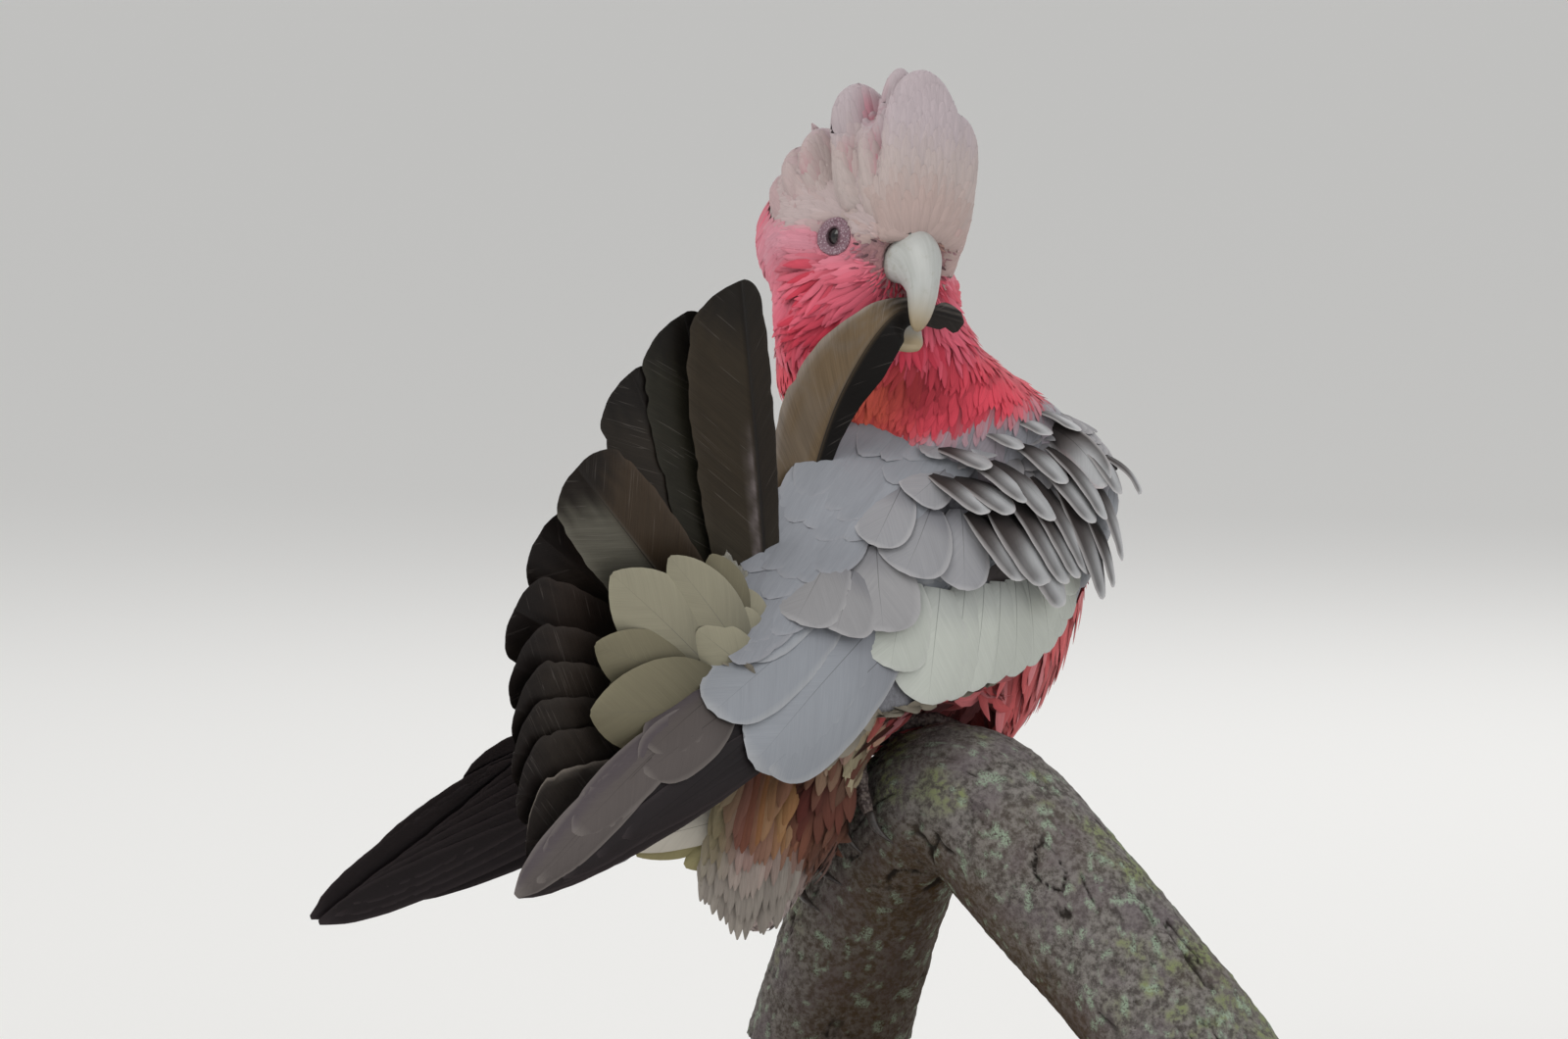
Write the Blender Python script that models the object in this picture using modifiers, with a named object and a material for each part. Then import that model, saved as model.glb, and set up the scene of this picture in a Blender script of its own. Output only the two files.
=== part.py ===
"""Life-size still model of a galah (Eolophus roseicapilla) preening a tail feather.

The bird grips a short arched length of branch, held on two rods over a flat base.
Units in the tables below are millimetres; meshes are written in metres, +Z up,
origin at the middle of the underside of the base.
"""
import math

import bmesh
import bpy
import numpy as np
from mathutils import Vector

MM = 0.001
GAP = 0.35                 # clearance left between neighbouring pieces

# ---- the bird's own axes -------------------------------------------------
HEADING = 35.0             # degrees from +X towards +Y
PITCH = 35.0               # wing line above the horizontal
CENTRE = np.array([-5.8, 20.0, 192.2])

HEAD_YAW = 24.0            # head turned back over the right shoulder
HEAD_PITCH = -8.0
HEAD_ROLL = 8.0
EYE_MID = np.array([-12.2, -5.0, 297.3])     # midway between the two eyes
EYE_HALF = 20.3            # half the distance between the eyes' surfaces
EYE_RADIUS = 4.3

TAIL_ROOT = np.array([-48.5, -9.0, 161.0])   # quill of the first tail feather
TAIL_ACROSS = np.array([-0.38, -0.07, -0.92])
TAIL_PITCH = 2.35          # spacing of the quills
TAIL_LEVEL = 1.35          # step between one feather and the next one under it

PERCH_RADIUS = 23.5
PERCH_CUT = 43.0           # height of the flat ends of the branch

BASE_SIZE = (232.0, 176.0, 14.0)
BASE_EDGE = 2.0
ROD_RADIUS = 5.0


# ---- small vector helpers ------------------------------------------------
def unit(v):
    v = np.asarray(v, float)
    return v / max(np.linalg.norm(v), 1e-9)


def axes(heading, pitch, roll=0.0):
    a, p, q = map(math.radians, (heading, pitch, roll))
    f = np.array([math.cos(p) * math.cos(a), math.cos(p) * math.sin(a), math.sin(p)])
    r = np.array([math.sin(a), -math.cos(a), 0.0])
    u = np.cross(r, f)
    return f, r * math.cos(q) + u * math.sin(q), -r * math.sin(q) + u * math.cos(q)


BF, BR, BU = axes(HEADING, PITCH)


def body(f, r, u):
    """A point given forward, to the bird's right and up along its back."""
    return CENTRE + f * BF + r * BR + u * BU


def head_axes():
    y, p, q = map(math.radians, (HEAD_YAW, HEAD_PITCH, HEAD_ROLL))
    f = np.array([math.sin(y) * math.cos(p), -math.cos(y) * math.cos(p), math.sin(p)])
    side = np.array([math.cos(y), math.sin(y), 0.0])      # the bird's left
    up = np.cross(f, side)
    return f, side * math.cos(q) - up * math.sin(q), up * math.cos(q) + side * math.sin(q)


HF, HL, HU = head_axes()


def head(a, c, b):
    """A point of the head: forward, to the bird's left, up, from EYE_MID."""
    return EYE_MID + a * HF + c * HL + b * HU


def spline(points, n):
    """n points along a smooth curve through the given ones, evenly by knot length."""
    p = np.asarray(points, float)
    k = len(p)
    knots = np.concatenate([[0], np.cumsum(np.linalg.norm(np.diff(p[:, :3], axis=0), axis=1) + 1e-9)])
    m = np.zeros_like(p)
    for i in range(k):
        lo, hi = max(i - 1, 0), min(i + 1, k - 1)
        m[i] = (p[hi] - p[lo]) / (knots[hi] - knots[lo])
    out = []
    for s in np.linspace(0, knots[-1], n):
        i = min(max(int(np.searchsorted(knots, s, side="right")) - 1, 0), k - 2)
        h = knots[i + 1] - knots[i]
        t = (s - knots[i]) / h
        out.append((2 * t**3 - 3 * t**2 + 1) * p[i] + (t**3 - 2 * t**2 + t) * h * m[i]
                   + (-2 * t**3 + 3 * t**2) * p[i + 1] + (t**3 - t**2) * h * m[i + 1])
    return np.array(out)


def table(rows, x):
    """Smooth value of a table of (station, value...) rows at x."""
    rows = np.asarray(rows, float)
    return np.array([np.interp(x, rows[:, 0], rows[:, j]) for j in range(1, rows.shape[1])])


# ---- scene helpers -------------------------------------------------------
def clear_scene():
    for ob in list(bpy.data.objects):
        bpy.data.objects.remove(ob, do_unlink=True)
    for block in (bpy.data.meshes, bpy.data.curves, bpy.data.materials):
        for item in list(block):
            block.remove(item)


def collection(name):
    coll = bpy.data.collections.new(name)
    bpy.context.scene.collection.children.link(coll)
    return coll


def material(name, colour, rough=0.7, metallic=0.0):
    mat = bpy.data.materials.new(name)
    mat.use_nodes = True
    bsdf = mat.node_tree.nodes["Principled BSDF"]
    bsdf.inputs["Base Color"].default_value = (*colour, 1.0)
    bsdf.inputs["Roughness"].default_value = rough
    bsdf.inputs["Metallic"].default_value = metallic
    return mat


def put(name, bm, coll, mat=None):
    bmesh.ops.recalc_face_normals(bm, faces=bm.faces)
    mesh = bpy.data.meshes.new(name)
    bm.to_mesh(mesh)
    bm.free()
    ob = bpy.data.objects.new(name, mesh)
    coll.objects.link(ob)
    if mat:
        mesh.materials.append(mat)
    mesh.shade_smooth()
    mesh.set_sharp_from_angle(angle=math.radians(40))
    return ob


def loft(rings):
    """Closed bmesh through rings of equal length (mm), with flat end faces."""
    bm = bmesh.new()
    loops = [[bm.verts.new(Vector(p) * MM) for p in ring] for ring in rings]
    n = len(loops[0])
    for a, b in zip(loops, loops[1:]):
        for i in range(n):
            j = (i + 1) % n
            bm.faces.new((a[i], a[j], b[j], b[i]))
    for cap in (loops[0], loops[-1]):
        face = bm.faces.new(cap)
        bmesh.ops.triangulate(bm, faces=[face])
    return bm


def ellipsoid(bm, centre, semi, dirs, seg=24, rings=16):
    made = bmesh.ops.create_uvsphere(bm, u_segments=seg, v_segments=rings, radius=1.0)["verts"]
    d = [np.asarray(v) for v in dirs]
    for v in made:
        p = np.asarray(centre) + sum(v.co[k] * semi[k] * d[k] for k in range(3))
        v.co = Vector(p) * MM
    return made


def tube(points, radii, sides=12, squash=1.0, up=(0, 0, 1)):
    pts = np.asarray(points, float)
    rings = []
    for i, p in enumerate(pts):
        t = unit(pts[min(i + 1, len(pts) - 1)] - pts[max(i - 1, 0)])
        a = unit(np.cross(up, t))
        b = np.cross(t, a)
        rings.append([p + radii[i] * (math.cos(q) * a + squash * math.sin(q) * b)
                      for q in np.linspace(0, 2 * math.pi, sides, endpoint=False)])
    return loft(rings)


def bake(ob):
    """Replace an object's mesh by its evaluated one and drop its modifiers."""
    bpy.context.view_layer.update()
    deps = bpy.context.evaluated_depsgraph_get()
    mesh = bpy.data.meshes.new_from_object(ob.evaluated_get(deps))
    old = ob.data
    ob.modifiers.clear()
    ob.data = mesh
    bpy.data.meshes.remove(old)
    mesh.shade_smooth()
    mesh.set_sharp_from_angle(angle=math.radians(40))


def tidy(ob, dist=2e-5):
    bm = bmesh.new()
    bm.from_mesh(ob.data)
    bmesh.ops.remove_doubles(bm, verts=bm.verts, dist=dist)
    bmesh.ops.dissolve_degenerate(bm, edges=bm.edges, dist=dist)
    bmesh.ops.triangulate(bm, faces=bm.faces)
    bmesh.ops.recalc_face_normals(bm, faces=bm.faces)
    # keep the largest shell only: a cut can leave a crumb behind
    seen, shells = set(), []
    for f in bm.faces:
        if f.index in seen:
            continue
        stack, shell = [f], []
        seen.add(f.index)
        while stack:
            g = stack.pop()
            shell.append(g)
            for e in g.edges:
                for h in e.link_faces:
                    if h.index not in seen:
                        seen.add(h.index)
                        stack.append(h)
        shells.append(shell)
    shells.sort(key=len, reverse=True)
    for shell in shells[1:]:
        bmesh.ops.delete(bm, geom=shell, context="FACES")
    bm.to_mesh(ob.data)
    bm.free()
    ob.data.shade_smooth()
    ob.data.set_sharp_from_angle(angle=math.radians(40))


def remesh(ob, voxel, faces=None, smooth=0):
    mod = ob.modifiers.new("remesh", "REMESH")
    mod.mode = "VOXEL"
    mod.voxel_size = voxel * MM
    if smooth:
        sm = ob.modifiers.new("smooth", "SMOOTH")
        sm.iterations = smooth
        sm.factor = 0.5
    bake(ob)
    if faces:
        n = sum(len(p.vertices) - 2 for p in ob.data.polygons)
        dec = ob.modifiers.new("decimate", "DECIMATE")
        dec.ratio = min(1.0, faces / n)
        bake(ob)


def grown(ob, amount, cutters):
    """A copy pushed out along its normals, kept as a cutter."""
    mesh = ob.data.copy()
    bm = bmesh.new()
    bm.from_mesh(mesh)
    bmesh.ops.recalc_face_normals(bm, faces=bm.faces)
    bm.normal_update()
    for v in bm.verts:
        v.co += v.normal * amount * MM
    bm.to_mesh(mesh)
    bm.free()
    cut = bpy.data.objects.new("cut_" + ob.name, mesh)
    cutters.objects.link(cut)
    cut.hide_render = True
    cut.display_type = "WIRE"
    return cut


def subtract(ob, cutter):
    mod = ob.modifiers.new("cut", "BOOLEAN")
    mod.operation = "DIFFERENCE"
    mod.solver = "EXACT"
    mod.use_self = True
    mod.object = cutter
    bake(ob)
    tidy(ob)


def clear_of(ob, others, cutters, amount=GAP):
    for other in others:
        cut = grown(other, amount, cutters)
        subtract(ob, cut)
        bpy.data.objects.remove(cut, do_unlink=True)


def keep_side(ob, point, normal):
    """Cut by a plane and keep the side the normal points to."""
    bm = bmesh.new()
    bm.from_mesh(ob.data)
    res = bmesh.ops.bisect_plane(bm, geom=bm.verts[:] + bm.edges[:] + bm.faces[:],
                                 plane_co=Vector(point) * MM, plane_no=Vector(normal),
                                 clear_inner=True)
    edges = [e for e in res["geom_cut"] if isinstance(e, bmesh.types.BMEdge)]
    bmesh.ops.holes_fill(bm, edges=edges)
    bmesh.ops.triangulate(bm, faces=bm.faces)
    bmesh.ops.recalc_face_normals(bm, faces=bm.faces)
    bm.to_mesh(ob.data)
    bm.free()
    tidy(ob)


# ---- trunk, neck and head ------------------------------------------------
# height, breast-to-back middle, half depth, half width: slices of the bird's
# body square to the vertical, measured along its heading from CENTRE
TRUNK = [
    (84.0, -57.0, 5.0, 5.0),
    (92.0, -58.0, 11.5, 10.0),
    (104.0, -56.0, 19.0, 16.0),
    (118.0, -44.0, 30.0, 22.0),
    (133.0, -22.0, 45.0, 27.0),
    (150.0, -8.0, 54.0, 30.0),
    (168.0, -1.3, 58.7, 31.5),
    (188.0, 3.8, 60.8, 32.5),
    (208.0, 8.2, 57.2, 33.0),
    (224.0, 13.2, 51.2, 33.0),
    (238.0, 17.0, 44.0, 33.5),
    (248.0, 10.0, 39.0, 34.0),
]
# height, x, y, half size in x, half size in y
NECK = [
    (256.0, -8.0, 21.0, 35.0, 33.0),
    (266.0, -17.0, 14.0, 31.0, 30.5),
    (278.0, -20.0, 9.0, 29.0, 29.0),
    (290.0, -19.0, 6.0, 27.0, 28.0),
]


def body_core(coll):
    h = np.array([math.cos(math.radians(HEADING)), math.sin(math.radians(HEADING)), 0.0])
    rings = []
    ang = np.linspace(0, 2 * math.pi, 32, endpoint=False)
    for z, mid, deep, wide in TRUNK:
        c = np.array([CENTRE[0], CENTRE[1], 0.0]) + mid * h + np.array([0, 0, z])
        rings.append([c + deep * math.cos(q) * h + wide * math.sin(q) * (-BR) for q in ang])
    start = math.radians(HEADING)
    for z, x, y, rx, ry in NECK:
        rings.append([np.array([x + rx * math.cos(q + start), y + ry * math.sin(q + start), z])
                      for q in ang])
    bm = loft(rings)
    # skull, nape and cheeks
    ellipsoid(bm, head(-6, 0, 2), (25.0, 20.5, 20.0), (HF, HL, HU))
    ellipsoid(bm, head(-20, -5, -3), (25.0, 29.0, 26.0), (HF, HL, HU))
    ellipsoid(bm, head(-6, 0, -17), (21.0, 23.0, 19.0), (HF, HL, HU))
    return put("core", bm, coll)


# ---- crest: overlapping upright petals on the crown -----------------------
# root and tip (forward, left, up), half width
PETALS = [
    ((15, 0, 9), (4, -4.5, 55.5), 13.0),
    ((5, -4, 14), (-4, -7, 55.0), 9.0),
    ((11, 7, 8), (4, 11.5, 44.0), 8.0),
    ((6, -9, 11), (-5, -16, 42.0), 9.0),
    ((-3, -9, 15), (-12, -17.5, 45.5), 10.0),
    ((-2, 5, 16), (-12, 9.5, 43.0), 10.5),
    ((-10, -2, 16), (-21, -4, 38.0), 12.0),
    ((-12, -13, 9), (-21, -25, 27.0), 10.0),
    ((-13, 8, 12), (-23, 16, 27.0), 10.0),
    ((-18, -18, 0), (-27, -32.0, 12.0), 10.5),
    ((-21, -2, 10), (-33, -4, 25.0), 12.0),
]


def crest(coll, mat):
    bm = bmesh.new()
    for root, tip, half in PETALS:
        start, end = head(*root), head(*tip)
        tall = np.linalg.norm(end - start)
        up = unit(end - start)
        side = unit(HL - np.dot(HL, up) * up)
        out = np.cross(side, up)
        base = start - 4.0 * up
        rings = []
        for s in np.linspace(0, 1, 8):
            c = base + up * (tall + 4.0) * s + out * 5.0 * s * (1 - s)
            w = half * math.sqrt(max(0.0, 1 - (max(s - 0.62, 0) / 0.385) ** 2)) * (0.75 + 0.25 * min(s / 0.5, 1))
            t = 4.2 - 2.2 * s
            rings.append([c + side * w * math.cos(q) + out * t * math.sin(q)
                          for q in np.linspace(0, 2 * math.pi, 10, endpoint=False)])
        part = loft(rings)
        tmp = bpy.data.meshes.new("petal")
        part.to_mesh(tmp)
        part.free()
        bm.from_mesh(tmp)
        bpy.data.meshes.remove(tmp)
    ob = put("crest", bm, coll, mat)
    remesh(ob, 1.5, faces=520, smooth=2)
    return ob


# ---- bill ------------------------------------------------------------------
# forward, up, half width, half depth, tilt of the section
BILL_UPPER = [
    (12.5, -3.2, 8.2, 8.8, 8),
    (17.0, -2.0, 8.5, 9.6, 0),
    (21.5, -3.0, 7.2, 9.0, -20),
    (25.2, -7.0, 5.4, 7.2, -50),
    (27.6, -12.0, 4.4, 5.2, -75),
    (28.2, -17.0, 3.5, 3.6, -90),
    (28.0, -20.8, 2.1, 1.9, -98),
    (27.8, -22.2, 0.8, 0.7, -100),
]
BILL_LOWER = [
    (8.0, -15.5, 6.4, 3.0, -20),
    (13.0, -19.5, 6.8, 3.8, -30),
    (17.0, -24.0, 6.6, 3.8, -30),
    (20.5, -27.0, 5.4, 3.0, -20),
    (22.8, -28.2, 3.2, 1.6, -15),
]


def horn(name, rows, coll, mat, count, sides=16):
    rings = []
    for a, b, w, d, tilt in spline(rows, count):
        q = math.radians(tilt)
        along = math.cos(q) * HF + math.sin(q) * HU
        up = -math.sin(q) * HF + math.cos(q) * HU
        del along
        rings.append([head(a, 0, b) + w * math.cos(t) * HL + d * math.sin(t) * up
                      for t in np.linspace(0, 2 * math.pi, sides, endpoint=False)])
    return put(name, loft(rings), coll, mat)


# ---- wings -----------------------------------------------------------------
# forward, then the lower edge (right, up) and the upper edge (forward, right, up),
# crown of the section, thickness; the outer face is on the bird's own side
WING_RIGHT = [
    # lower edge f, r, u     upper edge f, r, u     crown  thick
    ((67.0, 27.0, -12.0), (70.0, 17.0, 8.0), 2.0, 4.0),
    ((56.0, 29.0, -19.0), (64.0, 16.0, 17.0), 9.0, 9.0),
    ((38.0, 30.0, -28.0), (50.0, 15.0, 29.0), 13.0, 11.0),
    ((18.0, 33.0, -33.0), (30.0, 14.0, 38.5), 14.5, 11.0),
    ((-4.0, 38.0, -30.0), (9.0, 14.0, 48.0), 13.5, 10.0),
    ((-24.0, 42.0, -20.5), (-12.0, 16.0, 50.5), 12.0, 9.0),
    ((-40.0, 44.0, -14.5), (-30.0, 18.0, 48.5), 8.0, 7.0),
    ((-58.0, 46.0, -5.0), (-50.0, 24.0, 46.0), 7.0, 6.0),
    ((-80.0, 49.0, -4.0), (-70.0, 31.0, 42.5), 6.0, 4.5),
    ((-99.0, 51.5, 7.0), (-92.0, 39.0, 40.5), 4.5, 3.5),
    ((-112.0, 52.5, 19.5), (-112.0, 45.0, 40.2), 3.0, 3.0),
    ((-130.0, 52.5, 22.3), (-134.0, 48.5, 39.5), 2.5, 2.6),
    ((-152.0, 51.5, 25.0), (-158.0, 49.0, 39.0), 2.0, 2.2),
    ((-172.0, 49.0, 27.0), (-176.0, 47.5, 37.8), 1.5, 1.8),
    ((-187.0, 46.5, 29.5), (-188.5, 46.0, 35.5), 0.8, 1.4),
    ((-193.0, 45.0, 32.0), (-193.2, 45.0, 33.6), 0.2, 1.2),
]
WING_LEFT = [
    ((64.0, 27.0, -10.0), (66.0, 18.0, 10.0), 2.0, 4.0),
    ((52.0, 29.0, -20.0), (60.0, 16.0, 18.0), 9.0, 9.0),
    ((36.0, 30.0, -29.0), (48.0, 15.0, 29.0), 13.0, 11.0),
    ((16.0, 33.0, -34.0), (29.0, 14.0, 38.0), 14.5, 11.0),
    ((-6.0, 37.0, -34.0), (8.0, 14.0, 46.0), 13.5, 10.0),
    ((-28.0, 39.0, -34.0), (-14.0, 16.0, 48.0), 12.0, 9.0),
    ((-50.0, 41.0, -34.0), (-34.0, 19.0, 45.0), 10.0, 7.5),
    ((-72.0, 43.0, -33.0), (-56.0, 25.0, 40.0), 7.0, 6.0),
    ((-94.0, 45.0, -30.0), (-80.0, 33.0, 35.0), 6.0, 4.5),
    ((-115.0, 46.0, -23.5), (-104.0, 41.0, 30.0), 4.5, 3.5),
    ((-137.0, 47.0, -11.5), (-126.0, 45.0, 26.5), 3.5, 3.0),
    ((-165.0, 48.0, 2.8), (-150.0, 46.5, 27.0), 2.5, 2.4),
    ((-184.0, 49.0, 11.5), (-176.0, 48.0, 28.3), 1.5, 1.9),
    ((-200.0, 49.2, 18.5), (-196.0, 49.0, 29.5), 1.0, 1.6),
    ((-212.0, 49.4, 24.0), (-211.0, 49.3, 28.0), 0.4, 1.3),
]


def wing(name, rows, side, coll, mat, across=7):
    rings = []
    n = len(rows)
    low = np.array([body(f, side * r, u) for (f, r, u), _, _, _ in rows])
    top = np.array([body(f, side * r, u) for _, (f, r, u), _, _ in rows])
    mid = 0.5 * (low + top)
    for i, (_, _, crown, thick) in enumerate(rows):
        along = unit(mid[min(i + 1, n - 1)] - mid[max(i - 1, 0)])
        chord = unit(top[i] - low[i])
        out = unit(np.cross(chord, along))
        if np.dot(out, side * BR) < 0:
            out = -out
        outer, inner = [], []
        for v in np.linspace(0, 1, across):
            hump = 4 * v * (1 - v)
            p = low[i] * (1 - v) + top[i] * v + out * crown * hump
            t = thick * (0.30 + 0.70 * math.sqrt(max(hump, 0)))
            t = max(t, min(thick, 1.0))
            outer.append(p)
            inner.append(p - out * t)
        rings.append(outer + inner[::-1])
    return put(name, loft(rings), coll, mat)


# ---- tail --------------------------------------------------------------------
# tip of each feather, level over the lowest one, share of the vane on the inner
# side, roll about its shaft
TAIL = [
    (None, 6.6, 0.62, 0.0),
    ((-58.7, -69.0, 289.2), 5.6, 0.73, 9.0),
    ((-76.0, -74.0, 279.3), 4.4, 0.66, 8.0),
    ((-91.5, -82.5, 262.0), 3.1, 0.60, 5.0),
    ((-107.0, -103.0, 235.0), 4.4, 0.50, 0.0),
    ((-118.5, -101.0, 214.3), 0.0, 0.50, 0.0),
    ((-125.5, -107.0, 193.0), 1.0, 0.50, -2.0),
    ((-125.5, -108.5, 176.0), 2.0, 0.58, -4.0),
    ((-125.0, -108.5, 163.7), 3.0, 0.60, -5.0),
    ((-125.5, -107.0, 151.0), 4.0, 0.62, -6.0),
    ((-124.5, -104.0, 138.5), 5.0, 0.66, -7.0),
    ((-122.0, -100.0, 124.5), 6.0, 0.68, -8.0),
]
TAIL_FACE = [            # ventral face's direction at each feather
    (0, 0.42, -0.82, -0.38), (2, 0.54, -0.77, -0.33), (3, 0.62, -0.72, -0.30),
    (4, 0.64, -0.68, -0.36), (5, 0.72, -0.64, -0.28),
    (6, 0.76, -0.60, -0.22), (8, 0.78, -0.60, -0.14), (11, 0.79, -0.61, -0.03),
]
VANE = [                 # share of length, share of full width
    (0.0, 0.11), (0.10, 0.13), (0.17, 0.30), (0.27, 0.62), (0.40, 0.84), (0.58, 0.96),
    (0.76, 1.0), (0.88, 0.95), (0.95, 0.72), (0.985, 0.40), (1.0, 0.14),
]
FEATHER_WIDTH = 31.0
FEATHER_THICK = 0.75
PREENED = [              # path, cross direction, left and right half widths
    ((-47.0, -14.5, 158.5), (-0.83, -0.42, -0.30), 1.8, 1.6),
    ((-44.5, -18.0, 184.5), (-0.88, -0.38, -0.10), 5.0, 3.0),
    ((-41.5, -16.5, 208.0), (-0.94, -0.30, 0.10), 10.0, 5.0),
    ((-36.5, -14.0, 229.0), (-0.95, -0.15, 0.25), 12.0, 6.5),
    ((-29.5, -21.0, 247.5), (-0.86, -0.05, 0.48), 12.5, 7.5),
    ((-18.5, -28.5, 266.0), (-0.62, 0.10, 0.78), 9.0, 6.0),
    (tuple(head(21.3, -4.5, -18.3)), (-0.06, 0.26, 0.96), 4.4, 4.0),
    (tuple(head(20.6, 5.0, -16.8)), (0.02, 0.26, 0.96), 3.9, 3.9),
    (tuple(head(21.6, 17.5, -17.5)), (0.02, 0.26, 0.96), 3.6, 4.2),
]


def vane_ring(p, cross, face, left, right, thick, camber):
    """Closed section of a vane: cross points to its left edge, face to its ventral side."""
    pts_top, pts_low = [], []
    for x in (-1.0, 0.0, 1.0):
        w = left * -x if x < 0 else -right * x
        t = 0.5 * (0.55 + (thick - 0.55) * (1 - x * x))
        c = -camber * x * x
        pts_top.append(p + cross * w + face * (c + t))
        pts_low.append(p + cross * w + face * (c - t))
    return pts_top + pts_low[::-1]


def tail_feathers(coll, mat):
    made = []
    for i, (tip, level, inner, roll) in enumerate(TAIL):
        rings = []
        if tip is None:
            n = 15
            rows = spline([(*p, *c, w0, w1) for p, c, w0, w1 in PREENED], n)
            for k, row in enumerate(rows):
                d = unit(rows[min(k + 1, n - 1)][:3] - rows[max(k - 1, 0)][:3])
                c = unit(row[3:6] - np.dot(row[3:6], d) * d)
                f = np.cross(c, d)
                f = -f if f[1] > 0 else f
                rings.append(vane_ring(row[:3], c, f, row[6], row[7], FEATHER_THICK, 0.2))
        else:
            n = 11
            root = TAIL_ROOT + TAIL_ACROSS * TAIL_PITCH * i
            right_side = i < 6
            d = unit(np.array(tip) - root)
            face = unit(table(TAIL_FACE, i))
            face = unit(face - np.dot(face, d) * d)
            side = np.cross(d, face)
            if side[0] * -0.7 + side[2] * -0.7 < 0:      # towards the bird's left of the fan
                side = -side
            q = math.radians(roll)
            side, face = side * math.cos(q) + face * math.sin(q), face * math.cos(q) - side * math.sin(q)
            bow = (-1.0 if right_side else 4.0) * (0.4 + 0.6 * abs(i - 5.5) / 5.5)
            lift = np.array([0.0, -1.0, 0.0]) * level * TAIL_LEVEL / abs(face[1])
            for s in np.linspace(0, 1, n):
                full = table(VANE, s)[0] * FEATHER_WIDTH
                share = 0.5 + (inner - 0.5) * min(1.0, s / 0.2)
                left, right = (full * share, full * (1 - share)) if right_side else (full * (1 - share), full * share)
                p = root + (np.array(tip) - root) * s + side * bow * math.sin(math.pi * s) + lift
                rings.append(vane_ring(p, side, face, left, right,
                                       FEATHER_THICK + (0.3 if s < 0.2 else 0.0), 0.3 * min(1.0, full / 20)))
        made.append(put("tail_feather_%02d" % (i + 1), loft(rings), coll, mat))
    return made


def tail_coverts(name, coll, mat, over, reach, first, last, sides=8):
    """A tapering pad over the quills, on the ventral (over > 0) or dorsal side."""
    rings = []
    for s in np.linspace(0, 1, 6):
        outer, inner = [], []
        for q in np.linspace(0, 1, sides):
            i = first + (last - first) * q
            lo = int(min(max(math.floor(i), 1), 10))
            w = min(max(i - lo, 0.0), 1.0)
            tip = np.array(TAIL[lo][0]) * (1 - w) + np.array(TAIL[lo + 1][0]) * w
            root = TAIL_ROOT + TAIL_ACROSS * (TAIL_PITCH * i)
            d = unit(tip - root)
            face = unit(table(TAIL_FACE, i))
            face = unit(face - np.dot(face, d) * d)
            far = reach[0] + (reach[1] - reach[0]) * math.sin(math.pi * q) ** 0.7
            p = root + d * (2.0 + (far - 2.0) * s)
            if over > 0:
                low = 6.6 * TAIL_LEVEL + 3.1
                t = (8.0 - 6.2 * s) * (0.45 + 0.55 * math.sin(math.pi * min(max(q, 0.02), 0.98)))
                inner.append(p + face * low)
                outer.append(p + face * (low + max(t, 1.2)))
            else:
                low = -4.4
                t = (9.0 - 7.4 * s) * (0.45 + 0.55 * math.sin(math.pi * min(max(q, 0.02), 0.98)))
                inner.append(p + face * low)
                outer.append(p + face * (low - max(t, 1.2)))
        rings.append(outer + inner[::-1])
    return put(name, loft(rings), coll, mat)


def tail_room(cutters):
    """The space behind the rump that the quills and their coverts take."""
    rings = []
    for far in (-0.8, 30.0, 70.0):
        outer, inner = [], []
        for i in np.linspace(-4.0, 15.0, 9):
            k = min(max(i, 0.0), 11.0)
            lo = int(min(max(math.floor(k), 1), 10))
            w = min(max(k - lo, 0.0), 1.0)
            tip = np.array(TAIL[lo][0]) * (1 - w) + np.array(TAIL[lo + 1][0]) * w
            root = TAIL_ROOT + TAIL_ACROSS * (TAIL_PITCH * k)
            d = unit(tip - root)
            face = unit(table(TAIL_FACE, k))
            face = unit(face - np.dot(face, d) * d)
            p = root + d * far + TAIL_ACROSS * (TAIL_PITCH * (i - k))
            outer.append(p + face * 24.0)
            inner.append(p - face * 16.0)
        rings.append(outer + inner[::-1])
    cut = put("cut_tail_room", loft(rings), cutters)
    cut.hide_render = True
    cut.display_type = "WIRE"
    return cut


# ---- perch ------------------------------------------------------------------
PERCH = [                # x, y, z, radius
    (-34.5, 72.0, 30.0, 25.5), (-31.0, 62.0, 46.0, 25.0), (-24.0, 48.0, 70.5, 24.0),
    (-14.0, 30.0, 99.5, 23.5), (-6.0, 13.0, 116.0, 23.0), (4.5, -2.0, 125.0, 23.0),
    (17.0, -10.0, 121.0, 23.5), (32.5, -19.0, 106.0, 24.0), (56.5, -32.0, 79.0, 24.0),
    (79.5, -44.5, 50.0, 25.0), (90.5, -51.0, 34.0, 25.5),
]


def perch_at(s):
    """Centre, direction and radius of the branch at share s of its length."""
    path = spline(PERCH, 201)
    k = int(round(s * 200))
    t = unit(path[min(k + 1, 200)][:3] - path[max(k - 1, 0)][:3])
    return path[k][:3], t, path[k][3]


def perch(coll, mat):
    rows = spline(PERCH, 19)
    rings = []
    sides = 14
    for i, row in enumerate(rows):
        c, rad = row[:3], row[3]
        t = unit(rows[min(i + 1, len(rows) - 1)][:3] - rows[max(i - 1, 0)][:3])
        a = unit(np.cross((0.3, 1, 0.1), t))
        b = np.cross(t, a)
        ring = []
        for j in range(sides):
            q = 2 * math.pi * j / sides
            knob = 1 + 0.022 * math.sin(3 * q + 0.7 * i) + 0.016 * math.sin(2 * q - 0.45 * i)
            ring.append(c + rad * knob * (math.cos(q) * a + math.sin(q) * b))
        rings.append(ring)
    ob = put("perch_branch", loft(rings), coll, mat)
    keep_side(ob, (0, 0, PERCH_CUT), (0, 0, 1))
    return ob


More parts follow.
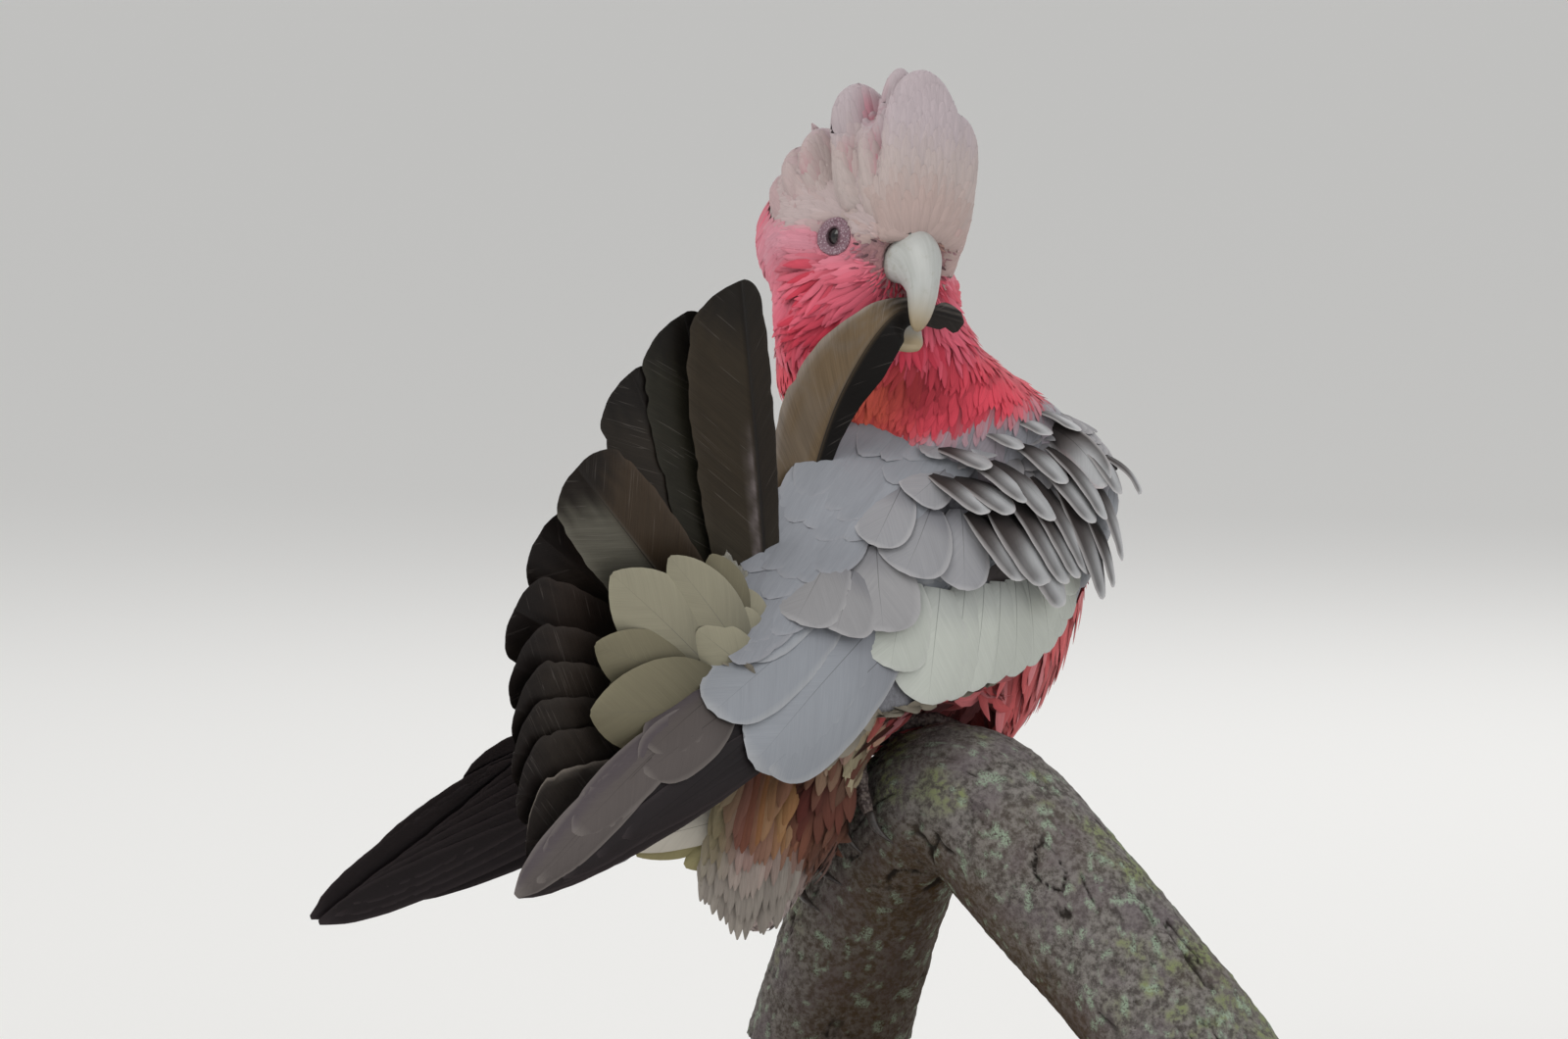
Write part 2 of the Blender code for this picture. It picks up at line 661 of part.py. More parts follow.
# ---- feet --------------------------------------------------------------------
TOE = 2.3                # radius of a toe
# share along the branch, angle of the foot from the branch's top towards the tail
FEET = {"right": (0.445, 30.0), "left": (0.315, 26.0)}
KNEE = {"right": (-9.0, 12.0, 172.0), "left": (-30.0, 28.0, 150.0)}
# turn round the branch (degrees, + towards the tail), spread along the branch
TOES = [("hind_outer", 66.0, 8.0), ("hind_inner", 58.0, -7.0),
        ("fore_outer", -72.0, 9.0), ("fore_inner", -60.0, -8.0)]


def foot_frame(side):
    s, turn = FEET[side]
    c, t, rad = perch_at(s)
    top = unit(np.array([0, 0, 1.0]) - t[2] * t)
    back = np.cross(t, top)
    if back[0] > 0:
        back = -back
    return c, t, rad, top, back, math.radians(turn)


def foot(side, coll, mat, horn_mat):
    c, t, rad, top, back, turn = foot_frame(side)

    def on(angle, spread, height):
        return c + t * spread + (rad * 1.04 + height) * (math.cos(angle) * top + math.sin(angle) * back)

    bm = bmesh.new()
    up = math.cos(turn) * top + math.sin(turn) * back
    side_dir = np.cross(t, up)
    ellipsoid(bm, on(turn, 0, TOE + 2.2), (5.0, 5.5, 3.6), (t, side_dir, up), 12, 8)
    claws = []
    for name, reach, spread in TOES:
        a0 = turn
        a1 = turn + math.radians(reach)
        pts, rr = [], []
        for k in range(7):
            w = k / 6
            a = a0 + (a1 - a0) * w
            pts.append(on(a, spread * min(1.0, w * 1.6) ** 0.8, TOE + 0.8 + 1.2 * (1 - w)))
            rr.append(TOE * (1.15 - 0.30 * w + (0.10 if k % 2 else 0)))
        part = tube(pts, rr, 10, up=t)
        tmp = bpy.data.meshes.new("toe")
        part.to_mesh(tmp)
        part.free()
        bm.from_mesh(tmp)
        bpy.data.meshes.remove(tmp)
        step = math.copysign(1.0, reach)
        tip, cr = [], []
        for k in range(5):
            w = k / 4
            a = a1 + step * math.radians(2.4 + 24.6 * w)
            tip.append(on(a, spread, 2.1 + 0.9 * math.sin(math.pi * min(w * 1.1, 1)) - 0.9 * w))
            cr.append(1.75 * (1 - 0.86 * w ** 1.3))
        claw = put("claw_%s_%s" % (side, name), tube(tip, cr, 6, up=t), coll, horn_mat)
        claws.append(claw)
    ob = put("foot_" + side, bm, coll, mat)
    remesh(ob, 0.9, faces=360, smooth=1)
    return ob, claws


def foot_room(cutters):
    """The space round the branch that the feet take, kept free of the belly."""
    pts, radii = [], []
    for s in np.linspace(FEET["left"][0] - 0.09, FEET["right"][0] + 0.09, 7):
        c, t, rad = perch_at(s)
        pts.append(c)
        radii.append(rad * 1.04 + 2 * TOE + 4.8)
    cut = put("cut_foot_room", tube(pts, radii, 20, up=(0.3, 1, 0.1)), cutters)
    cut.hide_render = True
    cut.display_type = "WIRE"
    return cut


def leg(side, coll, mat):
    c, t, rad, top, back, turn = foot_frame(side)
    up = math.cos(turn) * top + math.sin(turn) * back
    start = c + up * (rad * 1.04 + TOE + 2.2 + 3.6 + 2.9)
    end = np.array(KNEE[side])
    pts = spline([start, 0.5 * (start + end), end], 5)
    return put("leg_" + side, tube(pts, [2.9, 3.1, 3.8, 5.4, 6.2], 10, up=t), coll, mat)


# ---- stand -------------------------------------------------------------------
def base(coll, mat):
    bm = bmesh.new()
    bmesh.ops.create_cube(bm, size=1.0)
    for v in bm.verts:
        v.co = Vector((v.co.x * BASE_SIZE[0], v.co.y * BASE_SIZE[1], (v.co.z + 0.5) * BASE_SIZE[2])) * MM
    upright = [e for e in bm.edges if abs(e.verts[0].co.z - e.verts[1].co.z) > 1e-4]
    bmesh.ops.bevel(bm, geom=upright, offset=26 * MM, segments=5, affect="EDGES", profile=0.5)
    top = [e for e in bm.edges if all(v.co.z > (BASE_SIZE[2] - 0.1) * MM for v in e.verts)]
    bmesh.ops.bevel(bm, geom=top, offset=BASE_EDGE * MM, segments=2, affect="EDGES", profile=0.5)
    return put("stand_base", bm, coll, mat)


def rod(name, foot_row, coll, mat):
    x, y = foot_row
    bm = bmesh.new()
    low, high = BASE_SIZE[2] + GAP, PERCH_CUT - GAP
    bmesh.ops.create_cone(bm, cap_ends=True, segments=20, radius1=ROD_RADIUS * MM, radius2=ROD_RADIUS * MM,
                          depth=(high - low) * MM)
    for v in bm.verts:
        v.co += Vector((x, y, 0.5 * (low + high))) * MM
    return put(name, bm, coll, mat)


# ---- build ---------------------------------------------------------------------
def main():
    clear_scene()
    parts = collection("galah")
    cutters = collection("cutters")

    pink = material("plumage_pink", (0.62, 0.10, 0.16), 0.85)
    pale = material("plumage_pale", (0.70, 0.55, 0.56), 0.85)
    grey = material("plumage_grey", (0.36, 0.36, 0.42), 0.80)
    dark = material("tail_brown", (0.09, 0.075, 0.065), 0.60)
    cream = material("coverts_cream", (0.50, 0.48, 0.38), 0.85)
    bone = material("bill_horn", (0.66, 0.68, 0.60), 0.40)
    black = material("eye_dark", (0.01, 0.012, 0.02), 0.10)
    skin = material("foot_skin", (0.17, 0.15, 0.15), 0.65)
    claw_m = material("claw_horn", (0.05, 0.045, 0.045), 0.45)
    bark = material("bark", (0.17, 0.15, 0.13), 0.90)
    wood = material("stand_wood", (0.10, 0.06, 0.04), 0.50)
    steel = material("stand_steel", (0.45, 0.45, 0.46), 0.35, 1.0)

    branch = perch(parts, bark)

    core = body_core(parts)
    remesh(core, 2.6, faces=1440, smooth=6)

    upper = horn("bill_upper", BILL_UPPER, parts, bone, 10, 14)
    lower = horn("bill_lower", BILL_LOWER, parts, bone, 6, 12)
    clear_of(lower, [upper], cutters)
    top = crest(parts, pale)
    eyes = []
    for name, side in (("eye_right", -1), ("eye_left", 1)):
        bm = bmesh.new()
        ellipsoid(bm, head(0, side * (EYE_HALF - EYE_RADIUS + 0.3), 0), (EYE_RADIUS,) * 3, (HF, HU, HL), 10, 6)
        eyes.append(put(name, bm, parts, black))

    wing_r = wing("wing_right", WING_RIGHT, 1, parts, grey)
    wing_l = wing("wing_left", WING_LEFT, -1, parts, grey)
    feathers = tail_feathers(parts, dark)
    under = tail_coverts("undertail_coverts", parts, cream, 1, (46.0, 90.0), 1.6, 10.4)
    upper_c = tail_coverts("uppertail_coverts", parts, grey, -1, (32.0, 46.0), 0.0, 11.0)

    feet, claws, legs = [], [], []
    for side in ("right", "left"):
        f, c = foot(side, parts, skin, claw_m)
        g = leg(side, parts, skin)
        feet.append(f)
        claws += c
        legs.append(g)

    # head, neck and trunk parted by two thin cuts
    neck_n = unit((0.10, -0.16, 0.98))
    head_at = head(-16, 0, -31)
    base_n = unit((-0.16, 0.10, 0.98))
    base_at = np.array([-6.0, 20.0, 247.0])
    pieces = {}
    for name, cuts in (("head", [(head_at + neck_n * GAP / 2, neck_n)]),
                       ("neck", [(head_at - neck_n * GAP / 2, -neck_n), (base_at + base_n * GAP / 2, base_n)]),
                       ("trunk", [(base_at - base_n * GAP / 2, -base_n)])):
        ob = bpy.data.objects.new(name, core.data.copy())
        parts.objects.link(ob)
        for p, n in cuts:
            keep_side(ob, p, n)
        ob.data.materials.clear()
        ob.data.materials.append(pink)
        pieces[name] = ob
    bpy.data.objects.remove(core, do_unlink=True)

    # the flesh gives way to everything set in it or lying on it
    clear_of(pieces["head"], [upper, lower] + eyes, cutters)
    clear_of(top, [pieces["head"], upper], cutters)
    clear_of(pieces["neck"], [wing_r, wing_l], cutters, 2.5 * GAP)
    for room in (tail_room(cutters), foot_room(cutters)):
        subtract(pieces["trunk"], room)
    clear_of(pieces["trunk"], [wing_r, wing_l], cutters, 2.5 * GAP)
    clear_of(pieces["trunk"], [branch, feathers[0]] + legs, cutters)

    base(parts, wood)
    for name, row in (("stand_rod_back", PERCH[1]), ("stand_rod_front", PERCH[9])):
        rod(name, (row[0], row[1]), parts, steel)


main()
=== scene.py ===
"""The looks of a life-size galah (Eolophus roseicapilla) preening a fanned tail feather.

Tables are in millimetres, like the part's own; meshes are written in metres.
"""
import math

import bmesh
import bpy
import numpy as np
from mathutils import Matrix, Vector
from mathutils.bvhtree import BVHTree
from mathutils.kdtree import KDTree


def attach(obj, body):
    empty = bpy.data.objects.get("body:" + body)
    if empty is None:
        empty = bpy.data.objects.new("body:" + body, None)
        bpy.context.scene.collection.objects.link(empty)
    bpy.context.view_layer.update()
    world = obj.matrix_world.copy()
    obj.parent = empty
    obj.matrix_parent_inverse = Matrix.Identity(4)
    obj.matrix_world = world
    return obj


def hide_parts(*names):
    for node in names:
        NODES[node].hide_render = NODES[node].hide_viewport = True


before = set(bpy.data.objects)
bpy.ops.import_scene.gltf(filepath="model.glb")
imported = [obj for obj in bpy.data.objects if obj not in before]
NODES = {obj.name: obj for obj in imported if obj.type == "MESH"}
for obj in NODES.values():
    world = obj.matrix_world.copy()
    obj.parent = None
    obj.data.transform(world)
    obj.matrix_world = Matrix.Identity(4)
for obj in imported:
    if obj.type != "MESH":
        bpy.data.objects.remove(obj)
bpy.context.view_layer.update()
MM = 0.001
rng = np.random.default_rng(11)

# ---- the bird's own axes, as in the part ----------------------------------
HEADING, PITCH = 35.0, 35.0
CENTRE = np.array([-5.8, 20.0, 192.2])
HEAD_YAW, HEAD_PITCH, HEAD_ROLL = 24.0, -8.0, 8.0
EYE_MID = np.array([-12.2, -5.0, 297.3])
EYE_HALF, EYE_RADIUS = 20.3, 4.3
TAIL_ROOT = np.array([-48.5, -9.0, 161.0])
TAIL_ACROSS = np.array([-0.38, -0.07, -0.92])
TAIL_PITCH, TAIL_LEVEL = 2.35, 1.35


def unit(v):
    v = np.asarray(v, float)
    return v / np.maximum(np.linalg.norm(v, axis=-1, keepdims=True), 1e-9)


def axes(heading, pitch):
    a, p = map(math.radians, (heading, pitch))
    f = np.array([math.cos(p) * math.cos(a), math.cos(p) * math.sin(a), math.sin(p)])
    r = np.array([math.sin(a), -math.cos(a), 0.0])
    return f, r, np.cross(r, f)


BF, BR, BU = axes(HEADING, PITCH)


def body(f, r, u):
    return CENTRE + f * BF + r * BR + u * BU


def head_axes():
    y, p, q = map(math.radians, (HEAD_YAW, HEAD_PITCH, HEAD_ROLL))
    f = np.array([math.sin(y) * math.cos(p), -math.cos(y) * math.cos(p), math.sin(p)])
    side = np.array([math.cos(y), math.sin(y), 0.0])
    up = np.cross(f, side)
    return f, side * math.cos(q) - up * math.sin(q), up * math.cos(q) + side * math.sin(q)


HF, HL, HU = head_axes()
HEAD_M = np.array([HF, HL, HU])


def head(a, c, b):
    return EYE_MID + a * HF + c * HL + b * HU


def to_head(p):
    return (p - EYE_MID) @ HEAD_M.T


def to_body(p):
    return (p - CENTRE) @ np.array([BF, BR, BU]).T


def step(lo, hi, x):
    t = np.clip((np.asarray(x, float) - lo) / (hi - lo), 0.0, 1.0)
    return t * t * (3 - 2 * t)


def bump(x, mid, half):
    return np.exp(-((np.asarray(x, float) - mid) / half) ** 2)


def mix(a, b, t):
    t = np.asarray(t, float)[..., None]
    return np.asarray(a, float) * (1 - t) + np.asarray(b, float) * t


def srgb(*c):
    c = np.asarray(c, float) / 255.0
    return 0.85 * np.where(c <= 0.04045, c / 12.92, ((c + 0.055) / 1.055) ** 2.4)


def spline(points, n):
    """n points along a smooth curve through the given ones, evenly by knot length."""
    p = np.asarray(points, float)
    k = len(p)
    knots = np.concatenate([[0], np.cumsum(np.linalg.norm(np.diff(p[:, :3], axis=0), axis=1) + 1e-9)])
    m = np.zeros_like(p)
    for i in range(k):
        lo, hi = max(i - 1, 0), min(i + 1, k - 1)
        m[i] = (p[hi] - p[lo]) / (knots[hi] - knots[lo])
    at = np.linspace(0, knots[-1], n) if np.isscalar(n) else np.asarray(n) * knots[-1]
    out = []
    for s in at:
        i = min(max(int(np.searchsorted(knots, s, side="right")) - 1, 0), k - 2)
        h = knots[i + 1] - knots[i]
        t = (s - knots[i]) / h
        out.append((2 * t**3 - 3 * t**2 + 1) * p[i] + (t**3 - 2 * t**2 + t) * h * m[i]
                   + (-2 * t**3 + 3 * t**2) * p[i + 1] + (t**3 - t**2) * h * m[i + 1])
    return np.array(out)


def table(rows, x):
    rows = np.asarray(rows, float)
    x = np.asarray(x, float)
    return np.stack([np.interp(x, rows[:, 0], rows[:, j]) for j in range(1, rows.shape[1])], -1)


# ---- noise -------------------------------------------------------------------
def _lattice(ix, iy, iz, seed):
    h = (ix * 73856093) ^ (iy * 19349663) ^ (iz * 83492791) ^ (seed * 2654435761)
    h = (h ^ (h >> 13)) * 1274126177
    h = h ^ (h >> 16)
    return (h & 0xFFFFFF) / float(0xFFFFFF)


def noise(p, scale=1.0, seed=0):
    """Smooth value noise, 0 to 1; scale is the cell size in mm."""
    q = np.asarray(p, float) / scale
    i = np.floor(q).astype(np.int64)
    f = q - i
    f = f * f * (3 - 2 * f)
    out = 0.0
    for dx in (0, 1):
        for dy in (0, 1):
            for dz in (0, 1):
                w = (np.where(dx, f[..., 0], 1 - f[..., 0]) * np.where(dy, f[..., 1], 1 - f[..., 1])
                     * np.where(dz, f[..., 2], 1 - f[..., 2]))
                out = out + w * _lattice(i[..., 0] + dx, i[..., 1] + dy, i[..., 2] + dz, seed)
    return out


def fbm(p, scale=1.0, seed=0, octaves=4, gain=0.5):
    out, amp, total = 0.0, 1.0, 0.0
    for k in range(octaves):
        out = out + amp * noise(p, scale / 2**k, seed + 17 * k)
        total += amp
        amp *= gain
    return out / total


# ---- meshes ------------------------------------------------------------------
def mesh_object(name, verts, faces, mats, attrs=None, uv=None, sharp=None):
    """verts in mm; faces a list of index arrays (n, 3) or (n, 4); attrs per vertex."""
    me = bpy.data.meshes.new(name)
    verts = np.asarray(verts, float)
    loops = np.concatenate([np.asarray(f).ravel() for f in faces])
    sizes = np.concatenate([np.full(len(f), np.asarray(f).shape[1]) for f in faces])
    me.vertices.add(len(verts))
    me.vertices.foreach_set("co", (verts * MM).astype(np.float32).ravel())
    me.loops.add(len(loops))
    me.loops.foreach_set("vertex_index", loops.astype(np.int32))
    me.polygons.add(len(sizes))
    me.polygons.foreach_set("loop_start", np.concatenate([[0], np.cumsum(sizes)[:-1]]).astype(np.int32))
    me.update(calc_edges=True)
    for key, val in (attrs or {}).items():
        val = np.asarray(val, np.float32)
        if val.ndim == 2:
            a = me.attributes.new(key, "FLOAT_COLOR", "POINT")
            rgba = np.ones((len(val), 4), np.float32)
            rgba[:, :3] = val
            a.data.foreach_set("color", rgba.ravel())
        else:
            a = me.attributes.new(key, "FLOAT", "POINT")
            a.data.foreach_set("value", val.ravel())
    if uv is not None:
        layer = me.uv_layers.new(name="OFBake")
        layer.data.foreach_set("uv", np.clip(uv, 0.0005, 0.9995)[loops].astype(np.float32).ravel())
    ob = bpy.data.objects.new(name, me)
    bpy.context.scene.collection.objects.link(ob)
    for m in mats if isinstance(mats, (list, tuple)) else [mats]:
        me.materials.append(m)
    me.shade_smooth()
    if sharp:
        me.set_sharp_from_angle(angle=math.radians(sharp))
    return ob


def apply_modifiers(ob):
    bpy.context.view_layer.update()
    deps = bpy.context.evaluated_depsgraph_get()
    me = bpy.data.meshes.new_from_object(ob.evaluated_get(deps))
    old = ob.data
    ob.modifiers.clear()
    ob.data = me
    bpy.data.meshes.remove(old)
    return ob


def remesh(ob, voxel, smooth=0):
    m = ob.modifiers.new("remesh", "REMESH")
    m.mode = "VOXEL"
    m.voxel_size = voxel * MM
    if smooth:
        s = ob.modifiers.new("smooth", "SMOOTH")
        s.iterations = smooth
        s.factor = 0.5
    return apply_modifiers(ob)


def largest_shell(ob):
    bm = bmesh.new()
    bm.from_mesh(ob.data)
    bm.faces.ensure_lookup_table()
    seen, best = set(), []
    for f in bm.faces:
        if f.index in seen:
            continue
        seen.add(f.index)
        stack, shell = [f], []
        while stack:
            g = stack.pop()
            shell.append(g)
            for e in g.edges:
                for h in e.link_faces:
                    if h.index not in seen:
                        seen.add(h.index)
                        stack.append(h)
        if len(shell) > len(best):
            best = shell
    keep = set(f.index for f in best)
    bmesh.ops.delete(bm, geom=[f for f in bm.faces if f.index not in keep], context="FACES")
    bm.to_mesh(ob.data)
    bm.free()


def node_copy(names, label):
    bm = bmesh.new()
    for n in names:
        bm.from_mesh(NODES[n].data)
    bmesh.ops.remove_doubles(bm, verts=bm.verts, dist=1e-6)
    me = bpy.data.meshes.new(label)
    bm.to_mesh(me)
    bm.free()
    ob = bpy.data.objects.new(label, me)
    bpy.context.scene.collection.objects.link(ob)
    return ob


def verts_of(ob):
    co = np.zeros(len(ob.data.vertices) * 3, np.float32)
    ob.data.vertices.foreach_get("co", co)
    return co.reshape(-1, 3).astype(float) / MM


def normals_of(ob):
    no = np.zeros(len(ob.data.vertices) * 3, np.float32)
    ob.data.vertex_normals.foreach_get("vector", no)
    return no.reshape(-1, 3).astype(float)


def tri_arrays(ob):
    ob.data.calc_loop_triangles()
    t = np.zeros(len(ob.data.loop_triangles) * 3, np.int32)
    ob.data.loop_triangles.foreach_get("vertices", t)
    return t.reshape(-1, 3)


# ---- materials ------------------------------------------------------------------
class Nodes:
    """A short way to write a node tree."""

    def __init__(self, name):
        self.mat = bpy.data.materials.new(name)
        self.mat.use_nodes = True
        self.t = self.mat.node_tree
        self.t.nodes.clear()
        self.out = self.t.nodes.new("ShaderNodeOutputMaterial")
        self.b = self.t.nodes.new("ShaderNodeBsdfPrincipled")
        self.t.links.new(self.b.outputs[0], self.out.inputs[0])

    def link(self, a, b):
        self.t.links.new(a, b)

    def put(self, sock, val):
        if hasattr(val, "links"):
            self.link(val, sock)
        else:
            sock.default_value = val

    def attr(self, name, out="Fac"):
        n = self.t.nodes.new("ShaderNodeAttribute")
        n.attribute_name = name
        return n.outputs[out]

    def math(self, op, a, b=0.0, c=0.0, clamp=False):
        n = self.t.nodes.new("ShaderNodeMath")
        n.operation = op
        n.use_clamp = clamp
        for s, v in zip(n.inputs, (a, b, c)):
            self.put(s, v)
        return n.outputs[0]

    def coord(self, kind="Object"):
        return self.t.nodes.new("ShaderNodeTexCoord").outputs[kind]

    def vec(self, x, y, z):
        n = self.t.nodes.new("ShaderNodeCombineXYZ")
        for s, v in zip(n.inputs, (x, y, z)):
            self.put(s, v)
        return n.outputs[0]

    def scaled(self, v, s):
        n = self.t.nodes.new("ShaderNodeVectorMath")
        n.operation = "MULTIPLY"
        self.put(n.inputs[0], v)
        n.inputs[1].default_value = s
        return n.outputs[0]

    def noise(self, vector, scale, detail=3.0, rough=0.55, distort=0.0):
        n = self.t.nodes.new("ShaderNodeTexNoise")
        self.put(n.inputs["Vector"], vector)
        n.inputs["Scale"].default_value = scale
        n.inputs["Detail"].default_value = detail
        n.inputs["Roughness"].default_value = rough
        n.inputs["Distortion"].default_value = distort
        return n.outputs["Fac"]

    def voronoi(self, vector, scale, feature="F1", out="Distance"):
        n = self.t.nodes.new("ShaderNodeTexVoronoi")
        n.feature = feature
        self.put(n.inputs["Vector"], vector)
        n.inputs["Scale"].default_value = scale
        return n.outputs[out]

    def ramp(self, fac, lo, hi, a=0.0, b=1.0, kind="SMOOTHSTEP"):
        n = self.t.nodes.new("ShaderNodeMapRange")
        n.interpolation_type = kind
        self.put(n.inputs["Value"], fac)
        for k, v in (("From Min", lo), ("From Max", hi), ("To Min", a), ("To Max", b)):
            n.inputs[k].default_value = v
        return n.outputs["Result"]

    def mixc(self, fac, a, b, kind="MIX"):
        n = self.t.nodes.new("ShaderNodeMix")
        n.data_type = "RGBA"
        n.blend_type = kind
        self.put(n.inputs[0], fac)
        for s, v in ((n.inputs[6], a), (n.inputs[7], b)):
            if hasattr(v, "links"):
                self.link(v, s)
            else:
                s.default_value = (*v, 1.0) if len(v) == 3 else v
        return n.outputs[2]

    def grey(self, v):
        n = self.t.nodes.new("ShaderNodeCombineColor")
        for s in n.inputs:
            self.put(s, v)
        return n.outputs[0]

    def bumped(self, height, dist, strength=1.0):
        n = self.t.nodes.new("ShaderNodeBump")
        n.inputs["Strength"].default_value = strength
        n.inputs["Distance"].default_value = dist
        self.put(n.inputs["Height"], height)
        self.link(n.outputs[0], self.b.inputs["Normal"])

    def set(self, **kw):
        for k, v in kw.items():
            self.put(self.b.inputs[k.replace("_", " ")], v)
        return self.mat


def feather_material(name, rough=0.62, barbs=26.0, shaft=0.35, shaft_w=0.03, streak=0.22, sheen=0.25,
                     angle=0.55, bump_mm=0.05, gloss=0.35):
    """Barbs run out and forward from the shaft; the vertex colour carries the markings."""
    n = Nodes(name)
    col = n.attr("fcol", "Color")
    u, v, rnd = n.attr("fu"), n.attr("fv"), n.attr("frnd")
    av = n.math("ABSOLUTE", v)
    # barb lines: length along the vane, swept towards the tip away from the shaft
    q = n.math("SUBTRACT", u, n.math("MULTIPLY", av, angle))
    line = n.vec(n.math("MULTIPLY", q, barbs), n.math("MULTIPLY", v, 0.8), n.math("MULTIPLY", rnd, 37.0))
    fine = n.noise(line, 1.0, 2.0, 0.5)
    coarse = n.noise(n.scaled(line, (0.28, 0.6, 1.0)), 1.0, 2.0, 0.5)
    tone = n.math("ADD", n.ramp(fine, 0.3, 0.7, 1 - streak, 1 + streak * 0.6, "LINEAR"),
                  n.ramp(coarse, 0.3, 0.7, -0.08, 0.08, "LINEAR"))
    col = n.mixc(1.0, col, n.grey(tone), "MULTIPLY")
    if shaft > 0:
        mask = n.ramp(av, shaft_w * 0.45, shaft_w, 1.0, 0.0)
        mask = n.math("MULTIPLY", mask, n.ramp(u, 0.9, 0.99, 1.0, 0.0))
        col = n.mixc(n.math("MULTIPLY", mask, shaft), col, (0.012, 0.010, 0.010))
    n.link(col, n.b.inputs["Base Color"])
    n.bumped(fine, bump_mm * MM)
    n.set(Roughness=rough, Sheen_Weight=sheen, Sheen_Roughness=0.5, Specular_IOR_Level=gloss)
    return n.mat


# ---- markings ---------------------------------------------------------------
CAP = srgb(198, 180, 179)
STUBBLE = srgb(200, 158, 146)
EAR = srgb(224, 160, 174)
CHEEK = srgb(236, 116, 138)
NECK_PINK = srgb(224, 74, 92)
ORANGE = srgb(214, 102, 70)
MANTLE = srgb(158, 158, 166)
BELLY = srgb(200, 90, 92)
OLIVE = srgb(158, 148, 112)
VENT_PALE = srgb(196, 186, 182)
RUST = srgb(136, 62, 50)
CREAM = srgb(184, 180, 164)
RUMP = srgb(190, 188, 190)
WING_GREY = srgb(168, 168, 176)


def cap_edge(a):
    return np.interp(a, [-42, -32, -18, -9, 0, 20], [15, 9, 1.5, 0.0, 2.8, -4])


def plumage(p):
    """Colour of the coat at points on the skin (mm)."""
    h, b = to_head(p), to_body(p)
    x, z = p[:, 0], p[:, 2]
    wob = (fbm(p, 9.0, 5) - 0.5) * 6.0
    back = b[:, 2] - 10.0
    grey = step(-4, 5, back + wob * 0.6) * step(4, -6, z - 243.0 - 0.26 * x + wob)
    col = np.tile(BELLY, (len(p), 1))
    col = mix(col, NECK_PINK, step(222, 246, z))
    # painted shadow: deep red under the chin, in the fold of the throat
    col = mix(col, srgb(122, 22, 30), 0.80 * bump(x, -3, 14) * bump(z, 260, 9) * step(4, -8, p[:, 1]))
    orange = bump(x, -17, 10) * bump(z, 251, 12) * step(6, -10, p[:, 1])
    col = mix(col, ORANGE, 0.75 * orange * (0.5 + fbm(p, 7.0, 9)))
    vent = step(170, 150, z + wob * 1.5) * step(2, -14, x + wob)
    soft = fbm(p, 6.0, 21)
    vcol = np.tile(srgb(106, 76, 60), (len(p), 1))
    vcol = mix(vcol, srgb(100, 40, 34), bump(x, -40, 14) * bump(z, 136, 16) * step(0.3, 0.55, soft))
    vcol = mix(vcol, srgb(164, 122, 90), bump(x, -47, 10) * bump(z, 121, 10) * step(0.25, 0.55, fbm(p, 7.0, 31)))
    vcol = mix(vcol, OLIVE, step(-50, -60, x))
    vcol = mix(vcol, VENT_PALE, step(114, 102, z + wob * 2))
    col = mix(col, vcol, vent * 0.95)
    near = step(16, 4, p[:, 1]) * step(190, 178, z + wob)
    # painted shadow: dark red on the flank just under the wing
    col = mix(col, srgb(104, 30, 30), 0.85 * near * bump(x, 0, 8) * bump(z, 158, 24))
    col = mix(col, srgb(182, 172, 142), 0.9 * near * step(-5, -12, x + wob) * step(-36, -29, x + wob * 0.5) * step(140, 148, z) * step(0.22, 0.40, fbm(p, 7.0, 71)))
    col = mix(col, MANTLE, grey)
    col = mix(col, RUMP, step(-34, -60, b[:, 0]) * step(-2, 6, b[:, 2]))
    # head
    onhead = step(262, 272, z)
    hcol = mix(np.tile(CHEEK, (len(p), 1)), EAR, bump(h[:, 0], -13, 22) * bump(h[:, 2], -3.5, 8) * step(-28, -18, h[:, 0]) * 0.95)
    hcol = mix(hcol, srgb(224, 92, 118), step(-16, -28, h[:, 0]) * 0.9)
    gape = step(-3, -10, h[:, 2]) * step(-14, 2, h[:, 0])
    hcol = mix(hcol, srgb(208, 56, 78), gape * (0.35 + 0.6 * step(0.40, 0.62, fbm(p, 5.0, 81))))
    edge = h[:, 2] - cap_edge(h[:, 0]) + wob * 0.5
    hcol = mix(hcol, CAP, step(-2.0, 2.5, edge))
    near = np.linalg.norm(h - np.array([16.0, 0, -2.0]), axis=1)
    hcol = mix(hcol, STUBBLE, step(15, 9, near) * step(-7, -1, h[:, 2]))
    return mix(col, hcol, onhead)


# ---- feathers -----------------------------------------------------------------
def vane_topology(nu, nv):
    """Quads of a closed lens: top sheet, bottom sheet, one shared rim."""
    top = np.arange(nu * nv).reshape(nu, nv)
    low = top.copy()
    low[1:-1, 1:-1] = nu * nv + np.arange((nu - 2) * (nv - 2)).reshape(nu - 2, nv - 2)
    q = np.stack([top[:-1, :-1], top[1:, :-1], top[1:, 1:], top[:-1, 1:]], -1).reshape(-1, 4)
    r = np.stack([low[:-1, 1:], low[1:, 1:], low[1:, :-1], low[:-1, :-1]], -1).reshape(-1, 4)
    return np.concatenate([q, r])


